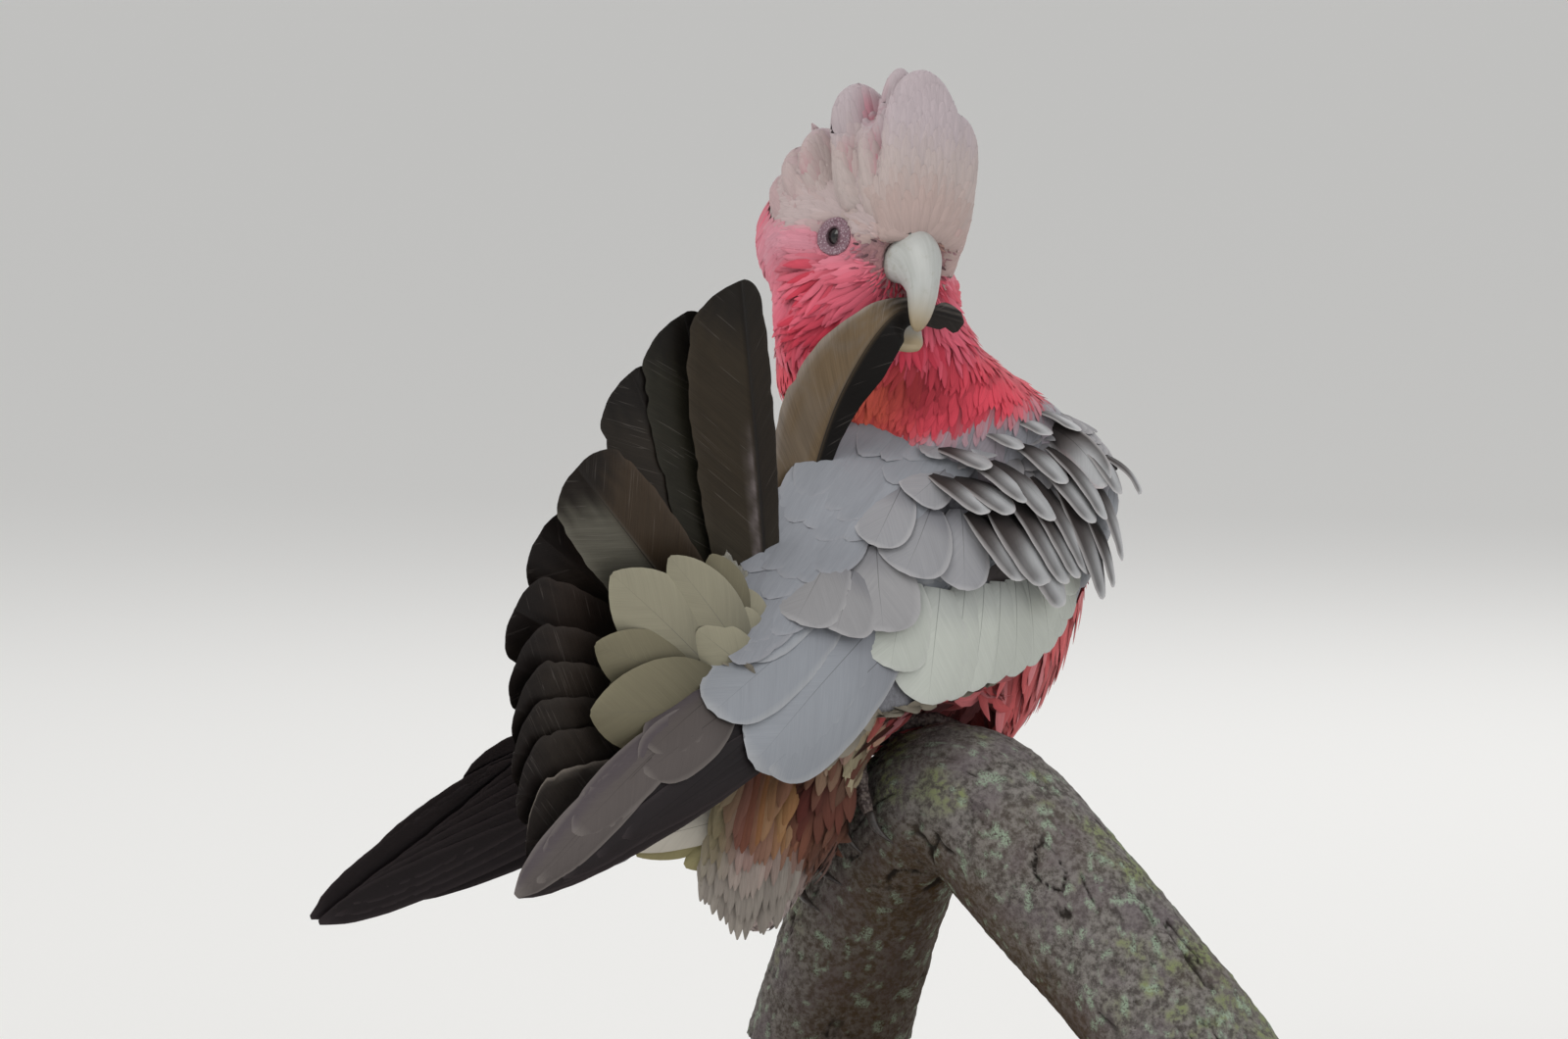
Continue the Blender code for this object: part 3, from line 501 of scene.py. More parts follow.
class Coat:
    """Gathers vanes, then writes them as pieces under the triangle limit."""

    def __init__(self, name, mat, body_name="root"):
        self.name, self.mat, self.body = name, mat, body_name
        self.v, self.q, self.a, self.uv, self.n, self.tris = [], [], {}, [], 0, []

    def add(self, P, N, half, col, fu, fv, length, width, uv0, patch=(0.003, 0.003), rnd=None):
        """P, N (F, nu, nv, 3); half, fu, fv broadcast to (F, nu, nv); col (F, nu, nv, 3)."""
        F, nu, nv = P.shape[:3]
        one = np.ones((F, nu, nv))
        half, fu, fv = half * one, fu * one, fv * one
        inner = (slice(None), slice(1, -1), slice(1, -1))
        rim = np.zeros((nu, nv), bool)
        rim[0], rim[-1], rim[:, 0], rim[:, -1] = True, True, True, True
        top = P + N * np.where(rim, 0.0, half)[..., None]
        low = (P - N * half[..., None])[inner]

        def both(x):
            y = x[inner].reshape(F, -1, *x.shape[3:])
            return np.concatenate([x.reshape(F, nu * nv, *x.shape[3:]), y], 1).reshape(F * per, *x.shape[3:])

        per = nu * nv + (nu - 2) * (nv - 2)
        verts = np.concatenate([top.reshape(F, -1, 3), low.reshape(F, -1, 3)], 1).reshape(-1, 3)
        topo = vane_topology(nu, nv)
        quads = (topo[None] + (np.arange(F) * per)[:, None, None]).reshape(-1, 4)
        rnd = rng.random(F) if rnd is None else rnd
        L = np.asarray(length, float) * np.ones(F)
        W = np.asarray(width, float) * np.ones(F)
        attrs = {"fcol": both(np.clip(col, 0.0, 1.0) * np.ones((F, nu, nv, 3))), "fu": both(fu), "fv": both(fv),
                 "fs": both(fu * L[:, None, None]), "fx": both(fv * W[:, None, None] * 0.5),
                 "frnd": np.repeat(rnd, per)}
        uu = np.stack([uv0[:, 0][:, None, None] + fv * patch[0] * 0.5,
                       uv0[:, 1][:, None, None] + (fu - 0.5) * patch[1]], -1)
        self.v.append(verts)
        self.q.append((quads, F, len(topo)))
        self.uv.append(both(uu))
        for k, x in attrs.items():
            self.a.setdefault(k, []).append(x)

    def flush(self, limit=180000):
        pieces, made = [[]], []
        count = 0
        for k, (q, F, per) in enumerate(self.q):
            tris = F * per * 2
            if count + tris > limit and pieces[-1]:
                pieces.append([])
                count = 0
            pieces[-1].append(k)
            count += tris
        for j, group in enumerate(pieces):
            if not group:
                continue
            off, quads = 0, []
            for k in group:
                quads.append(self.q[k][0] + off)
                off += len(self.v[k])
            name = self.name if len(pieces) == 1 else "%s_%d" % (self.name, j + 1)
            ob = mesh_object(name, np.concatenate([self.v[k] for k in group]), quads, self.mat,
                             {a: np.concatenate([x[k] for k in group]) for a, x in self.a.items()},
                             np.concatenate([self.uv[k] for k in group]), sharp=80)
            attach(ob, self.body)
            made.append(ob)
        return made


def nearest(bvh, pts):
    """Nearest surface points and normals, mm."""
    q, n = np.empty((len(pts), 3)), np.empty((len(pts), 3))
    for k, p in enumerate(pts * MM):
        hit, no, _, _ = bvh.find_nearest(Vector(p))
        q[k], n[k] = hit, no
    return q / MM, n


OUTLINES = {          # share of length, share of half width
    "contour": [(0, 0.30), (0.18, 0.66), (0.40, 0.94), (0.62, 1.0), (0.80, 0.90), (0.92, 0.62), (1.0, 0.12)],
    "strand": [(0, 0.55), (0.25, 0.95), (0.55, 1.0), (0.80, 0.66), (0.93, 0.34), (1.0, 0.06)],
    "plume": [(0, 0.35), (0.25, 0.80), (0.5, 1.0), (0.75, 0.86), (0.9, 0.52), (1.0, 0.10)],
    "leaf": [(0, 0.32), (0.2, 0.74), (0.42, 1.0), (0.62, 0.97), (0.80, 0.74), (0.92, 0.42), (1.0, 0.06)],
    "stub": [(0, 0.7), (0.4, 1.0), (0.7, 0.85), (1.0, 0.15)],
    "covert": [(0, 0.35), (0.2, 0.72), (0.45, 0.96), (0.70, 1.0), (0.86, 0.86), (0.95, 0.58), (1.0, 0.16)],
}
STATIONS = {4: [0, 0.36, 0.74, 1.0], 5: [0, 0.3, 0.6, 0.84, 1.0], 6: [0, 0.22, 0.46, 0.68, 0.87, 1.0],
            7: [0, 0.2, 0.4, 0.6, 0.77, 0.91, 1.0], 9: [0, 0.14, 0.3, 0.46, 0.61, 0.74, 0.85, 0.94, 1.0]}


def stations(nu):
    if nu in STATIONS:
        return np.array(STATIONS[nu])
    s = np.linspace(0, 1, nu)
    return 1 - (1 - s) ** 1.25


def lay(coat, bvh, uv_at, root, T, L, W, kind, nu=5, nv=3, lift=(0.3, 1.2), power=1.2, camber=0.16, bow=0.0,
        roll=0.0, thick=0.10, colour=None, curl=0.0, hug=0.0):
    """Lay vanes on the surface from their roots along T."""
    F = len(root)
    if F == 0:
        return
    L, W = np.asarray(L, float) * np.ones(F), np.asarray(W, float) * np.ones(F)
    q0, n0 = nearest(bvh, root)
    t = unit(T - n0 * np.sum(T * n0, 1, keepdims=True))
    q1, n1 = nearest(bvh, q0 + t * (L / 2)[:, None])
    t1 = unit(q1 - q0 - n1 * np.sum((q1 - q0) * n1, 1, keepdims=True) + t * 1e-3)
    q2, n2 = nearest(bvh, q1 + t1 * (L / 2)[:, None])
    far = np.linalg.norm(q2 - q1, axis=1) < 0.2 * L
    q2[far] = (q1 + t1 * (L / 2)[:, None])[far]
    n2[far] = n1[far]
    flip = np.sum(n2 * n1, 1) < 0.1
    n2[flip] = n1[flip]
    u = stations(nu)
    v = np.linspace(-1, 1, nv)
    l0, l1, l2 = 2 * (u - .5) * (u - 1), -4 * u * (u - 1), 2 * u * (u - .5)
    d0, d1, d2 = 4 * u - 3, 4 - 8 * u, 4 * u - 1
    sh = q0[:, None] * l0[None, :, None] + q1[:, None] * l1[None, :, None] + q2[:, None] * l2[None, :, None]
    tt = unit(q0[:, None] * d0[None, :, None] + q1[:, None] * d1[None, :, None] + q2[:, None] * d2[None, :, None])
    w0, w2 = (1 - u)[None, :, None], u[None, :, None]
    nn = unit(n0[:, None] * w0 ** 2 + n1[:, None] * (2 * w0 * w2) + n2[:, None] * w2 ** 2)
    nn = unit(nn - tt * np.sum(nn * tt, -1, keepdims=True))
    ss = np.cross(nn, tt)
    lo, hi = (np.asarray(k, float) * np.ones(F) for k in lift)
    h = lo[:, None] + (hi - lo)[:, None] * u[None] ** power
    if np.any(curl):
        h = h + (np.asarray(curl) * np.ones(F))[:, None] * L[:, None] * np.maximum(u - 0.55, 0)[None] ** 2
    bo = (np.asarray(bow, float) * np.ones(F))[:, None] * np.sin(math.pi * u)[None] * L[:, None]
    sh = sh + nn * h[..., None] + ss * bo[..., None]
    prof = np.interp(u, *np.array(OUTLINES[kind]).T)
    half = 0.5 * W[:, None] * prof[None]
    ro = (np.asarray(roll, float) * np.ones(F))[:, None, None]
    across = half[:, :, None] * v[None, None]
    P = (sh[:, :, None] + ss[:, :, None] * (across * np.cos(ro))[..., None]
         + nn[:, :, None] * (across * np.sin(ro) - camber * half[:, :, None] * v[None, None] ** 2)[..., None])
    if hug:
        flat = P.reshape(-1, 3)
        qq, qn = nearest(bvh, flat)
        gap = np.sum((flat - qq) * qn, 1)
        want = (lo[:, None, None] + (hi - lo)[:, None, None] * u[None, :, None] ** power
                - camber * half[:, :, None] * v[None, None] ** 2 + across * np.sin(ro)).reshape(-1)
        near_enough = (np.abs(gap) < 14) & (np.linalg.norm(flat - qq, axis=1) < np.abs(gap) + 1.0)
        flat = flat + qn * (np.where(near_enough, want - gap, 0) * hug)[:, None]
        P = flat.reshape(P.shape)
    NN = np.broadcast_to(nn[:, :, None], P.shape)
    th = thick * np.minimum(1.0, W / 3.0)[:, None, None] * (1 - 0.6 * u[None, :, None])
    col = colour(q0, u, v)
    coat.add(P, NN, th, col, u[None, :, None], v[None, None], L, W, uv_at(q0))


def shaded(base, u, v, dark=0.55, light=1.12, rim=0.0, vary=0.10, tip=None, root_tint=None, seed=None):
    """Base colour (F, 3) spread over a vane: darker at the root, lighter at the tip and the rim."""
    F = len(base)
    along = dark + (light - dark) * step(0.0, 0.75, u)
    g = along[None, :, None] * (1 + rim * np.abs(v)[None, None] ** 3)
    g = g * (1 + (rng.random(F) - 0.5) * 2 * vary)[:, None, None]
    col = base[:, None, None] * g[..., None]
    if root_tint is not None:
        k = (step(0.45, 0.0, u))[None, :, None] * np.ones_like(g)
        col = mix(col, root_tint, k)
    if tip is not None:
        k = step(0.70, 0.98, u)[None, :, None] * np.ones_like(g)
        col = mix(col, tip, k)
    return col


# ---- crest form: the overlapping upright lobes -----------------------------------
PETALS = [            # root, tip (forward, left, up), half width
    ((14, 0, 7), (4, -3.2, 55.6), 14.2),
    ((12, 9.6, 5.5), (5, 12.0, 43.5), 9.3),
    ((11.5, 13.0, -3.0), (8, 14.2, 20.0), 4.6),
    ((4, -5, 13), (-3, -7.0, 54.6), 8.5),
    ((-3, -9, 12), (-11, -17.3, 47.0), 12.5),
    ((0, -13, 13), (-8, -18.0, 28.0), 8.5),
    ((8, -8, 13), (-2, -12.5, 36.5), 9.5),
    ((-2, 6, 14), (-10, 9.5, 47.0), 12.0),
    ((-10, -2, 14), (-20, -3, 41.0), 13.0),
    ((-12, -12, 6), (-20, -23.5, 30.5), 11.5),
    ((-15, -15, 3), (-24, -27.8, 23.0), 11.5),
    ((-17, -17, -3), (-26, -30.0, 14.0), 11.5),
    ((-12, 11, 6), (-19, 20, 30.5), 11.5),
    ((-15, 13, 3), (-24, 25, 23.0), 11.0),
    ((-17, 15, -3), (-26, 27, 13.0), 11.0),
    ((-20, -1, 8), (-32, -3, 26.0), 13.0),
]


def petal_solid(root, tip, half, shrink):
    start, end = head(*root), head(*tip)
    tall = np.linalg.norm(end - start)
    up = unit(end - start)
    side = unit(HL - np.dot(HL, up) * up)
    out = np.cross(side, up)
    base = start - 4.0 * up
    q = np.linspace(0, 2 * math.pi, 28, endpoint=False)
    rings = []
    for s in 1 - (1 - np.linspace(0, 1, 30)) ** 1.5:
        c = base + up * ((tall + 4.0 - shrink) * s) + out * 7.0 * s * (1 - s)
        w = half * math.sqrt(max(0.0, 1 - (max(s - 0.62, 0) / 0.385) ** 2)) * (1.12 - 0.12 * min(s / 0.5, 1))
        w *= 0.84 + 0.16 * min(s / 0.28, 1)
        t = min(6.0, 0.8 * half) * (1 - 0.53 * s)
        rings.append(c + side * (max(w - shrink, 0.4) * np.cos(q))[:, None] + out * (max(t - shrink, 0.5) * np.sin(q))[:, None])
    return ring_loft(rings)


def ring_loft(rings, closed_ends=True):
    """Quads round and between the rings; the ends are fans."""
    rings = np.asarray(rings, float)
    n, m = rings.shape[:2]
    idx = np.arange(n * m).reshape(n, m)
    nxt = np.roll(idx, -1, axis=1)
    quads = np.stack([idx[:-1], nxt[:-1], nxt[1:], idx[1:]], -1).reshape(-1, 4)
    verts = rings.reshape(-1, 3)
    faces = [quads]
    if closed_ends:
        verts = np.concatenate([verts, rings[:1].mean(1), rings[-1:].mean(1)])
        a, b = n * m, n * m + 1
        faces.append(np.stack([np.full(m, a), nxt[0], idx[0]], -1))
        faces.append(np.stack([np.full(m, b), idx[-1], nxt[-1]], -1))
    return verts, faces


def crest_form(shrink):
    allv, allf, off = [], [], 0
    for root, tip, half in PETALS:
        v, f = petal_solid(root, tip, half, shrink)
        allv.append(v)
        allf += [x + off for x in f]
        off += len(v)
    return mesh_object("crest_form", np.concatenate(allv), allf, [])


form = crest_form(0.9)
remesh(form, 0.9, smooth=8)
form_co, form_no = verts_of(form), normals_of(form)
form_tris = tri_arrays(form)
form_tree = BVHTree.FromPolygons([Vector(c) for c in form_co * MM], [tuple(t) for t in form_tris])
bpy.data.objects.remove(form)

# ---- skin -------------------------------------------------------------------------
FLESH = ["head", "neck", "trunk", "crest", "wing_right", "wing_left", "leg_right", "leg_left",
         "undertail_coverts", "uppertail_coverts"]
DEPTH = {"head": 0.9, "neck": 1.6, "trunk": 2.4, "crest": 1.0, "wing_right": 1.6, "wing_left": 1.6,
         "leg_right": 1.2, "leg_left": 1.2, "undertail_coverts": 1.6, "uppertail_coverts": 1.6}
parts = []
for name in FLESH:
    ob = crest_form(0.0) if name == "crest" else node_copy([name], "flesh_" + name)
    if name.startswith("wing"):          # beyond the wrist a folded wing is feathers only
        bm = bmesh.new()
        bm.from_mesh(ob.data)
        res = bmesh.ops.bisect_plane(bm, geom=bm.verts[:] + bm.edges[:] + bm.faces[:],
                                     plane_co=Vector((CENTRE - 88.0 * BF) * MM), plane_no=Vector(-BF), clear_outer=True)
        bmesh.ops.holes_fill(bm, edges=[e for e in res["geom_cut"] if isinstance(e, bmesh.types.BMEdge)])
        bmesh.ops.triangulate(bm, faces=bm.faces[:])
        bm.to_mesh(ob.data)
        bm.free()
    no, co = normals_of(ob), verts_of(ob)
    ob.data.vertices.foreach_set("co", ((co + no * 0.35) * MM).astype(np.float32).ravel())
    parts.append(ob)
bm = bmesh.new()
for ob in parts:
    bm.from_mesh(ob.data)
joined = bpy.data.meshes.new("skin")
bm.to_mesh(joined)
bm.free()
skin = bpy.data.objects.new("skin", joined)
bpy.context.scene.collection.objects.link(skin)
for ob in parts:
    bpy.data.objects.remove(ob)
remesh(skin, 1.7, smooth=2)
largest_shell(skin)

node_bvh = {}
for name in FLESH:
    ob = node_copy([name], "tree_" + name)
    node_bvh[name] = BVHTree.FromPolygons([v.co[:] for v in ob.data.vertices],
                                          [tuple(p.vertices) for p in ob.data.polygons])
    bpy.data.objects.remove(ob)


def labels(points):
    """Index in FLESH of the node nearest to each point."""
    out = np.zeros(len(points), int)
    for k, p in enumerate(points * MM):
        best = 1e9
        for j, name in enumerate(FLESH):
            hit = node_bvh[name].find_nearest(Vector(p), best)
            if hit[0] is not None and hit[3] < best:
                best, out[k] = hit[3], j
    return out


co, no = verts_of(skin), normals_of(skin)
tree = BVHTree.FromPolygons([Vector(c) for c in co * MM], [tuple(p.vertices) for p in skin.data.polygons])
label = labels(co)
depth = np.array([DEPTH[n] for n in FLESH])[label]
fores = (to_head(co)[:, 0] > 6) & (label == 0)
depth = np.where(fores, 0.5, depth)
for k in range(len(co)):
    a, n = Vector(co[k] * MM), Vector(no[k])
    hit = tree.ray_cast(a - n * 0.0003, -n)
    if hit[0] is not None:
        depth[k] = min(depth[k] + 0.35, 0.36 * (hit[3] / MM + 0.3))
ruff = step(-24, -37, co[:, 0]) * bump(co[:, 2], 257, 18) * step(14, 2, co[:, 1])
low_ruff = step(-16, -30, co[:, 0]) * bump(co[:, 2], 251, 11) * step(48, 32, co[:, 1])
depth = depth - np.maximum(5.0 * ruff, 8.5 * low_ruff)          # feathers fluffed out at the turn of the neck
inset = co - no * depth[:, None]
for side in (-1, 1):                 # sockets, which the lids and eyeballs fill
    o = unit(side * HL + (0.46 if side < 0 else 0.12) * HF)
    rel = inset - (head(0, side * (EYE_HALF + 0.2), 0) - o * (EYE_RADIUS - 0.1))
    off = rel - np.outer(rel @ o, o)
    rho = np.linalg.norm(off, axis=1)
    sunk = (rel @ o > -2) & (rho < 6.6)
    inset = inset - np.where(sunk, 3.0 * step(6.4, 3.6, rho), 0.0)[:, None] * o
skin.data.vertices.foreach_set("co", (inset * MM).astype(np.float32).ravel())
skin.data.update()
m = skin.modifiers.new("smooth", "SMOOTH")
m.iterations, m.factor = 2, 0.5
apply_modifiers(skin)
co, no = verts_of(skin), normals_of(skin)
skin_tree = BVHTree.FromPolygons([Vector(c) for c in co * MM], [tuple(p.vertices) for p in skin.data.polygons])

bpy.ops.object.select_all(action="DESELECT")
bpy.context.view_layer.objects.active = skin
skin.select_set(True)
while skin.data.uv_layers:
    skin.data.uv_layers.remove(skin.data.uv_layers[0])
skin.data.uv_layers.new(name="OFBake")
bpy.ops.object.mode_set(mode="EDIT")
bpy.ops.mesh.select_all(action="SELECT")
bpy.ops.uv.smart_project(angle_limit=math.radians(66), island_margin=0.003, scale_to_bounds=True)
bpy.ops.object.mode_set(mode="OBJECT")
skin.select_set(False)
luv = np.zeros(len(skin.data.loops) * 2, np.float32)
skin.data.uv_layers["OFBake"].data.foreach_get("uv", luv)
lvi = np.zeros(len(skin.data.loops), np.int32)
skin.data.loops.foreach_get("vertex_index", lvi)
vert_uv = np.zeros((len(co), 2))
vert_uv[lvi] = luv.reshape(-1, 2)
vert_tree = KDTree(len(co))
for k, c in enumerate(co):
    vert_tree.insert(c, k)
vert_tree.balance()


def skin_uv(p):
    return np.array([vert_uv[vert_tree.find(c)[1]] for c in p]).reshape(-1, 2)


skin_attr = skin.data.attributes.new("fcol", "FLOAT_COLOR", "POINT")
under = plumage(co)
wings = np.isin(label, [4, 5])
b_at = to_body(co)
# the skin shows only in the gaps between the feathers; it carries the coat's colours painted darker, as painted shade
# in those gaps
under = np.where(wings[:, None], WING_GREY * 0.6, under * np.array([0.80, 0.68, 0.70]))
under = np.where(((label == 0) | (label == 1))[:, None], plumage(co) * np.array([0.92, 0.82, 0.84]), under)
under = np.where(((label == 0) & (to_head(co)[:, 2] > 4))[:, None], plumage(co) * 0.93, under)
under = np.where(np.isin(label, [8])[:, None], CREAM * 0.6, under)
under = np.where((label == 9)[:, None], RUMP * 0.7, under)
under = np.where((label == 3)[:, None], CAP * 0.96, under)
near_bill = np.linalg.norm(to_head(co) - np.array([14.0, 0, -2.0]), axis=1)
under = np.where(((near_bill < 16) & (label == 0))[:, None], mix(under, srgb(158, 122, 124), 0.85), under)
rgba = np.ones((len(co), 4), np.float32)
rgba[:, :3] = np.clip(under, 0, 1)
skin_attr.data.foreach_set("color", rgba.ravel())

n = Nodes("skin_down")
pos = n.coord()
grain = n.noise(pos, 900.0, 4.0, 0.6)
col = n.mixc(1.0, n.attr("fcol", "Color"), n.grey(n.ramp(grain, 0.3, 0.7, 0.75, 1.15, "LINEAR")), "MULTIPLY")
n.link(col, n.b.inputs["Base Color"])
n.bumped(n.noise(n.scaled(pos, (1.0, 1.0, 0.35)), 1400.0, 3.0, 0.6), 0.0004, 0.8)
n.set(Roughness=0.8, Sheen_Weight=0.3, Specular_IOR_Level=0.25)
skin.data.materials.clear()
skin.data.materials.append(n.mat)
skin.data.shade_smooth()
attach(skin, "root")
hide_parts(*FLESH)

# candidate roots over the whole skin
tris = tri_arrays(skin)
ta, tb, tc = co[tris[:, 0]], co[tris[:, 1]], co[tris[:, 2]]
area = 0.5 * np.linalg.norm(np.cross(tb - ta, tc - ta), axis=1)
N_CAND = 260000
pick = rng.choice(len(tris), N_CAND, p=area / area.sum())
r1, r2 = np.sqrt(rng.random(N_CAND)), rng.random(N_CAND)
CAND = ta[pick] * (1 - r1)[:, None] + tb[pick] * (r1 * (1 - r2))[:, None] + tc[pick] * (r1 * r2)[:, None]
CAND_N = unit(no[tris[pick, 0]] + no[tris[pick, 1]] + no[tris[pick, 2]])
CAND_L = label[tris[pick, 0]]
CAND_H, CAND_B = to_head(CAND), to_body(CAND)


def scatter(mask, spacing):
    """Indices of candidates kept so that none is nearer than its spacing to another."""
    idx = np.nonzero(mask)[0]
    sp = (spacing if np.isscalar(spacing) else spacing[idx]) * np.ones(len(idx))
    if len(idx) == 0:
        return idx
    cell = float(sp.max())
    keys = np.floor(CAND[idx] / cell).astype(int)
    grid, keep = {}, []
    for k, i in enumerate(idx):
        kx, ky, kz = keys[k]
        p, s2 = CAND[i], sp[k] ** 2
        ok = True
        for dx in (-1, 0, 1):
            for dy in (-1, 0, 1):
                for dz in (-1, 0, 1):
                    for q in grid.get((kx + dx, ky + dy, kz + dz), ()):
                        if (q[0] - p[0]) ** 2 + (q[1] - p[1]) ** 2 + (q[2] - p[2]) ** 2 < s2:
                            ok = False
                            break
                    if not ok:
                        break
                if not ok:
                    break
            if not ok:
                break
        if ok:
            grid.setdefault((kx, ky, kz), []).append((p[0], p[1], p[2]))
            keep.append(i)
    return np.array(keep, int)


def flow(p, n):
    """Which way the coat lies."""
    h, b = to_head(p), to_body(p)
    z = p[:, 2]
    radial = unit(p - head(22, 0, -2))
    down = np.tile(np.array([-0.1, -0.12, -1.0]), (len(p), 1))
    radial = unit(radial + down * (0.25 + 0.9 * step(-6, -26, h[:, 0]) + 0.3 * step(-8, -22, h[:, 2]))[:, None])
    neck = unit(np.tile(np.array([-0.12, -0.15, -1.0]), (len(p), 1)))
    belly = unit(np.tile(np.array([-0.30, -0.20, -0.93]), (len(p), 1)))
    mantle = unit(np.tile(-BF, (len(p), 1)) + 0.25 * down)
    bodyflow = unit(mix(belly, mantle, step(-2, 18, b[:, 2])))
    k = step(248, 232, z)[:, None]
    out = neck * (1 - k) + bodyflow * k
    k = step(262, 276, z)[:, None]
    out = out * (1 - k) + radial * k
    return unit(out - n * np.sum(out * n, 1, keepdims=True))


HEMI = unit(rng.normal(size=(14, 3)))


def cavity(p, n, reach=9.0):
    """Share of the sky near each point that other parts of the coat close off."""
    out = np.zeros(len(p))
    for k in range(len(p)):
        o = Vector((p[k] + n[k] * 0.7) * MM)
        seen = 0
        for d in HEMI:
            d = d if np.dot(d, n[k]) > 0 else -d
            d = unit(d + n[k] * 0.35)
            if skin_tree.ray_cast(o, Vector(d), reach * MM)[0] is not None:
                seen += 1
        out[k] = seen / len(HEMI)
    return out


EYES = [head(1.4, s * (EYE_HALF - 0.6), -0.2) for s in (-1, 1)]


def clear_of_eyes(p, T, L, r=6.4):
    """Lengths cut so that no vane reaches the bare ring round an eye."""
    L = L.copy()
    for e in EYES:
        d = e - p
        t = np.sum(d * T, 1)
        miss = np.linalg.norm(d - T * t[:, None], axis=1)
        hit = (t > 0) & (miss < r)
        room = t - np.sqrt(np.maximum(r * r - miss ** 2, 0))
        L = np.where(hit, np.minimum(L, np.maximum(room, 1.6)), L)
    return L


def covered(p, n, reach=16.0):
    """How far above each point a wing lies over it (mm)."""
    out = np.full(len(p), 99.0)
    for k in range(len(p)):
        for w in ("wing_right", "wing_left"):
            hit = node_bvh[w].ray_cast(Vector((p[k] - n[k] * 0.5) * MM), Vector(n[k]), reach * MM)
            if hit[0] is not None:
                out[k] = min(out[k], hit[3] / MM)
    return out


# ---- the coat ---------------------------------------------------------------------
def silk_material(name, rough=0.7, streak=0.14, sheen=0.3, strands=2.6, gloss=0.2, bump_mm=0.05):
    """Soft, loose barbs that run along the feather like hair."""
    n = Nodes(name)
    s, x, rnd = n.attr("fs"), n.attr("fx"), n.attr("frnd")
    seed = n.math("MULTIPLY", rnd, 53.0)
    fine = n.noise(n.vec(n.math("MULTIPLY", x, strands), n.math("MULTIPLY", s, 0.16), seed), 1.0, 3.0, 0.65)
    coarse = n.noise(n.vec(n.math("MULTIPLY", x, 0.7), n.math("MULTIPLY", s, 0.08), seed), 1.0, 2.0, 0.5)
    tone = n.math("ADD", n.ramp(fine, 0.3, 0.7, 1 - streak, 1 + streak, "LINEAR"),
                  n.ramp(coarse, 0.3, 0.7, -0.04, 0.04, "LINEAR"))
    n.link(n.mixc(1.0, n.attr("fcol", "Color"), n.grey(tone), "MULTIPLY"), n.b.inputs["Base Color"])
    n.bumped(fine, bump_mm * MM)
    n.set(Roughness=rough, Sheen_Weight=0.5 * sheen, Sheen_Roughness=0.5, Specular_IOR_Level=gloss)
    return n.mat


silk = silk_material("feather_silk", streak=0.07, strands=3.0, bump_mm=0.03)
downy = silk_material("feather_downy", streak=0.14, strands=2.6, bump_mm=0.05)
vaned = feather_material("feather_vaned", rough=0.60, barbs=22.0, shaft=0.25, shaft_w=0.05, streak=0.10, sheen=0.2)


def jitter(T, n, amount):
    r = rng.normal(size=T.shape) * amount
    T = T + r
    return unit(T - n * np.sum(T * n, 1, keepdims=True))


def clump(p, T, n, scale, amount, seed):
    """Bend neighbouring directions together, so that the coat parts into locks."""
    side = np.cross(n, T)
    k = (fbm(p, scale, seed, 2) - 0.5) * 2 * np.asarray(amount)
    return unit(T + side * k[:, None])


LAB = {n: i for i, n in enumerate(FLESH)}
is_head, is_neck, is_trunk = (CAND_L == LAB[k] for k in ("head", "neck", "trunk"))
a_, c_, b_ = CAND_H.T
from_bill = np.linalg.norm(CAND_H - np.array([15.5, 0, -3.0]), axis=1)
eye_d = np.minimum(*(np.linalg.norm(CAND - e, axis=1) for e in EYES))
lore = (a_ > 3) & (b_ > -5) & (b_ < 3.0) & (from_bill < 21)
clear = eye_d > 6.9
cap = b_ > cap_edge(a_)

head_coat = Coat("coat_head", silk)
# bristly skin round the bill and the lores
i = scatter(is_head & (eye_d > 6.0) & ((from_bill < 15.5) | lore) & (b_ < 9), np.where(lore, 1.7, 1.05))
p, nn = CAND[i], CAND_N[i]
T = jitter(flow(p, nn), nn, 0.25)
L = clear_of_eyes(p, T, np.where(lore[i], 1.6, 3.2) + rng.random(len(i)) * 1.3)


def stub_colour(q, u, v):
    base = plumage(q)
    h = to_head(q)
    inlore = step(3, 6, h[:, 0]) * step(-6, -3, h[:, 2]) * step(4.0, 1.5, h[:, 2])
    base = mix(base, srgb(150, 112, 120), inlore * 0.9)
    base = np.where((rng.random(len(q)) < 0.16)[:, None], base * 0.38, base)
    return shaded(base, u, v, 0.75, 1.1, vary=0.12)


lay(head_coat, skin_tree, skin_uv, p, T, L, 0.85, "stub", 4, 3, (0.0, 0.7), 1.0, colour=stub_colour)
# forehead and crown
i = scatter(is_head & clear & cap & (from_bill >= 13) & ~lore, 1.5)
p, nn = CAND[i], CAND_N[i]
T = jitter(flow(p, nn), nn, 0.10)
L = clear_of_eyes(p, T, 6.5 + rng.random(len(i)) * 3)
lay(head_coat, skin_tree, skin_uv, p, T, L, 2.7, "plume",
    5, 3, (0.1, 0.5), 1.0, hug=0.8, colour=lambda q, u, v: shaded(plumage(q), u, v, 0.94, 1.02, vary=0.03))
# face: silky over the ear, parting into locks towards the gape and throat
face = is_head & clear & ~cap & (from_bill >= 12) & ~lore
i = scatter(face, 1.38)
p, nn = CAND[i], CAND_N[i]
h = to_head(p)
locks = step(-4, -10, h[:, 2]) * step(-16, -3, h[:, 0])
T = clump(p, flow(p, nn), nn, 6.0, 0.15 + 0.9 * locks, 3)
T = jitter(T, nn, 0.07)
L = clear_of_eyes(p, T, 8.0 + rng.random(len(i)) * 3 + 3.5 * locks)
lockn = fbm(p, 4.5, 77, 2)


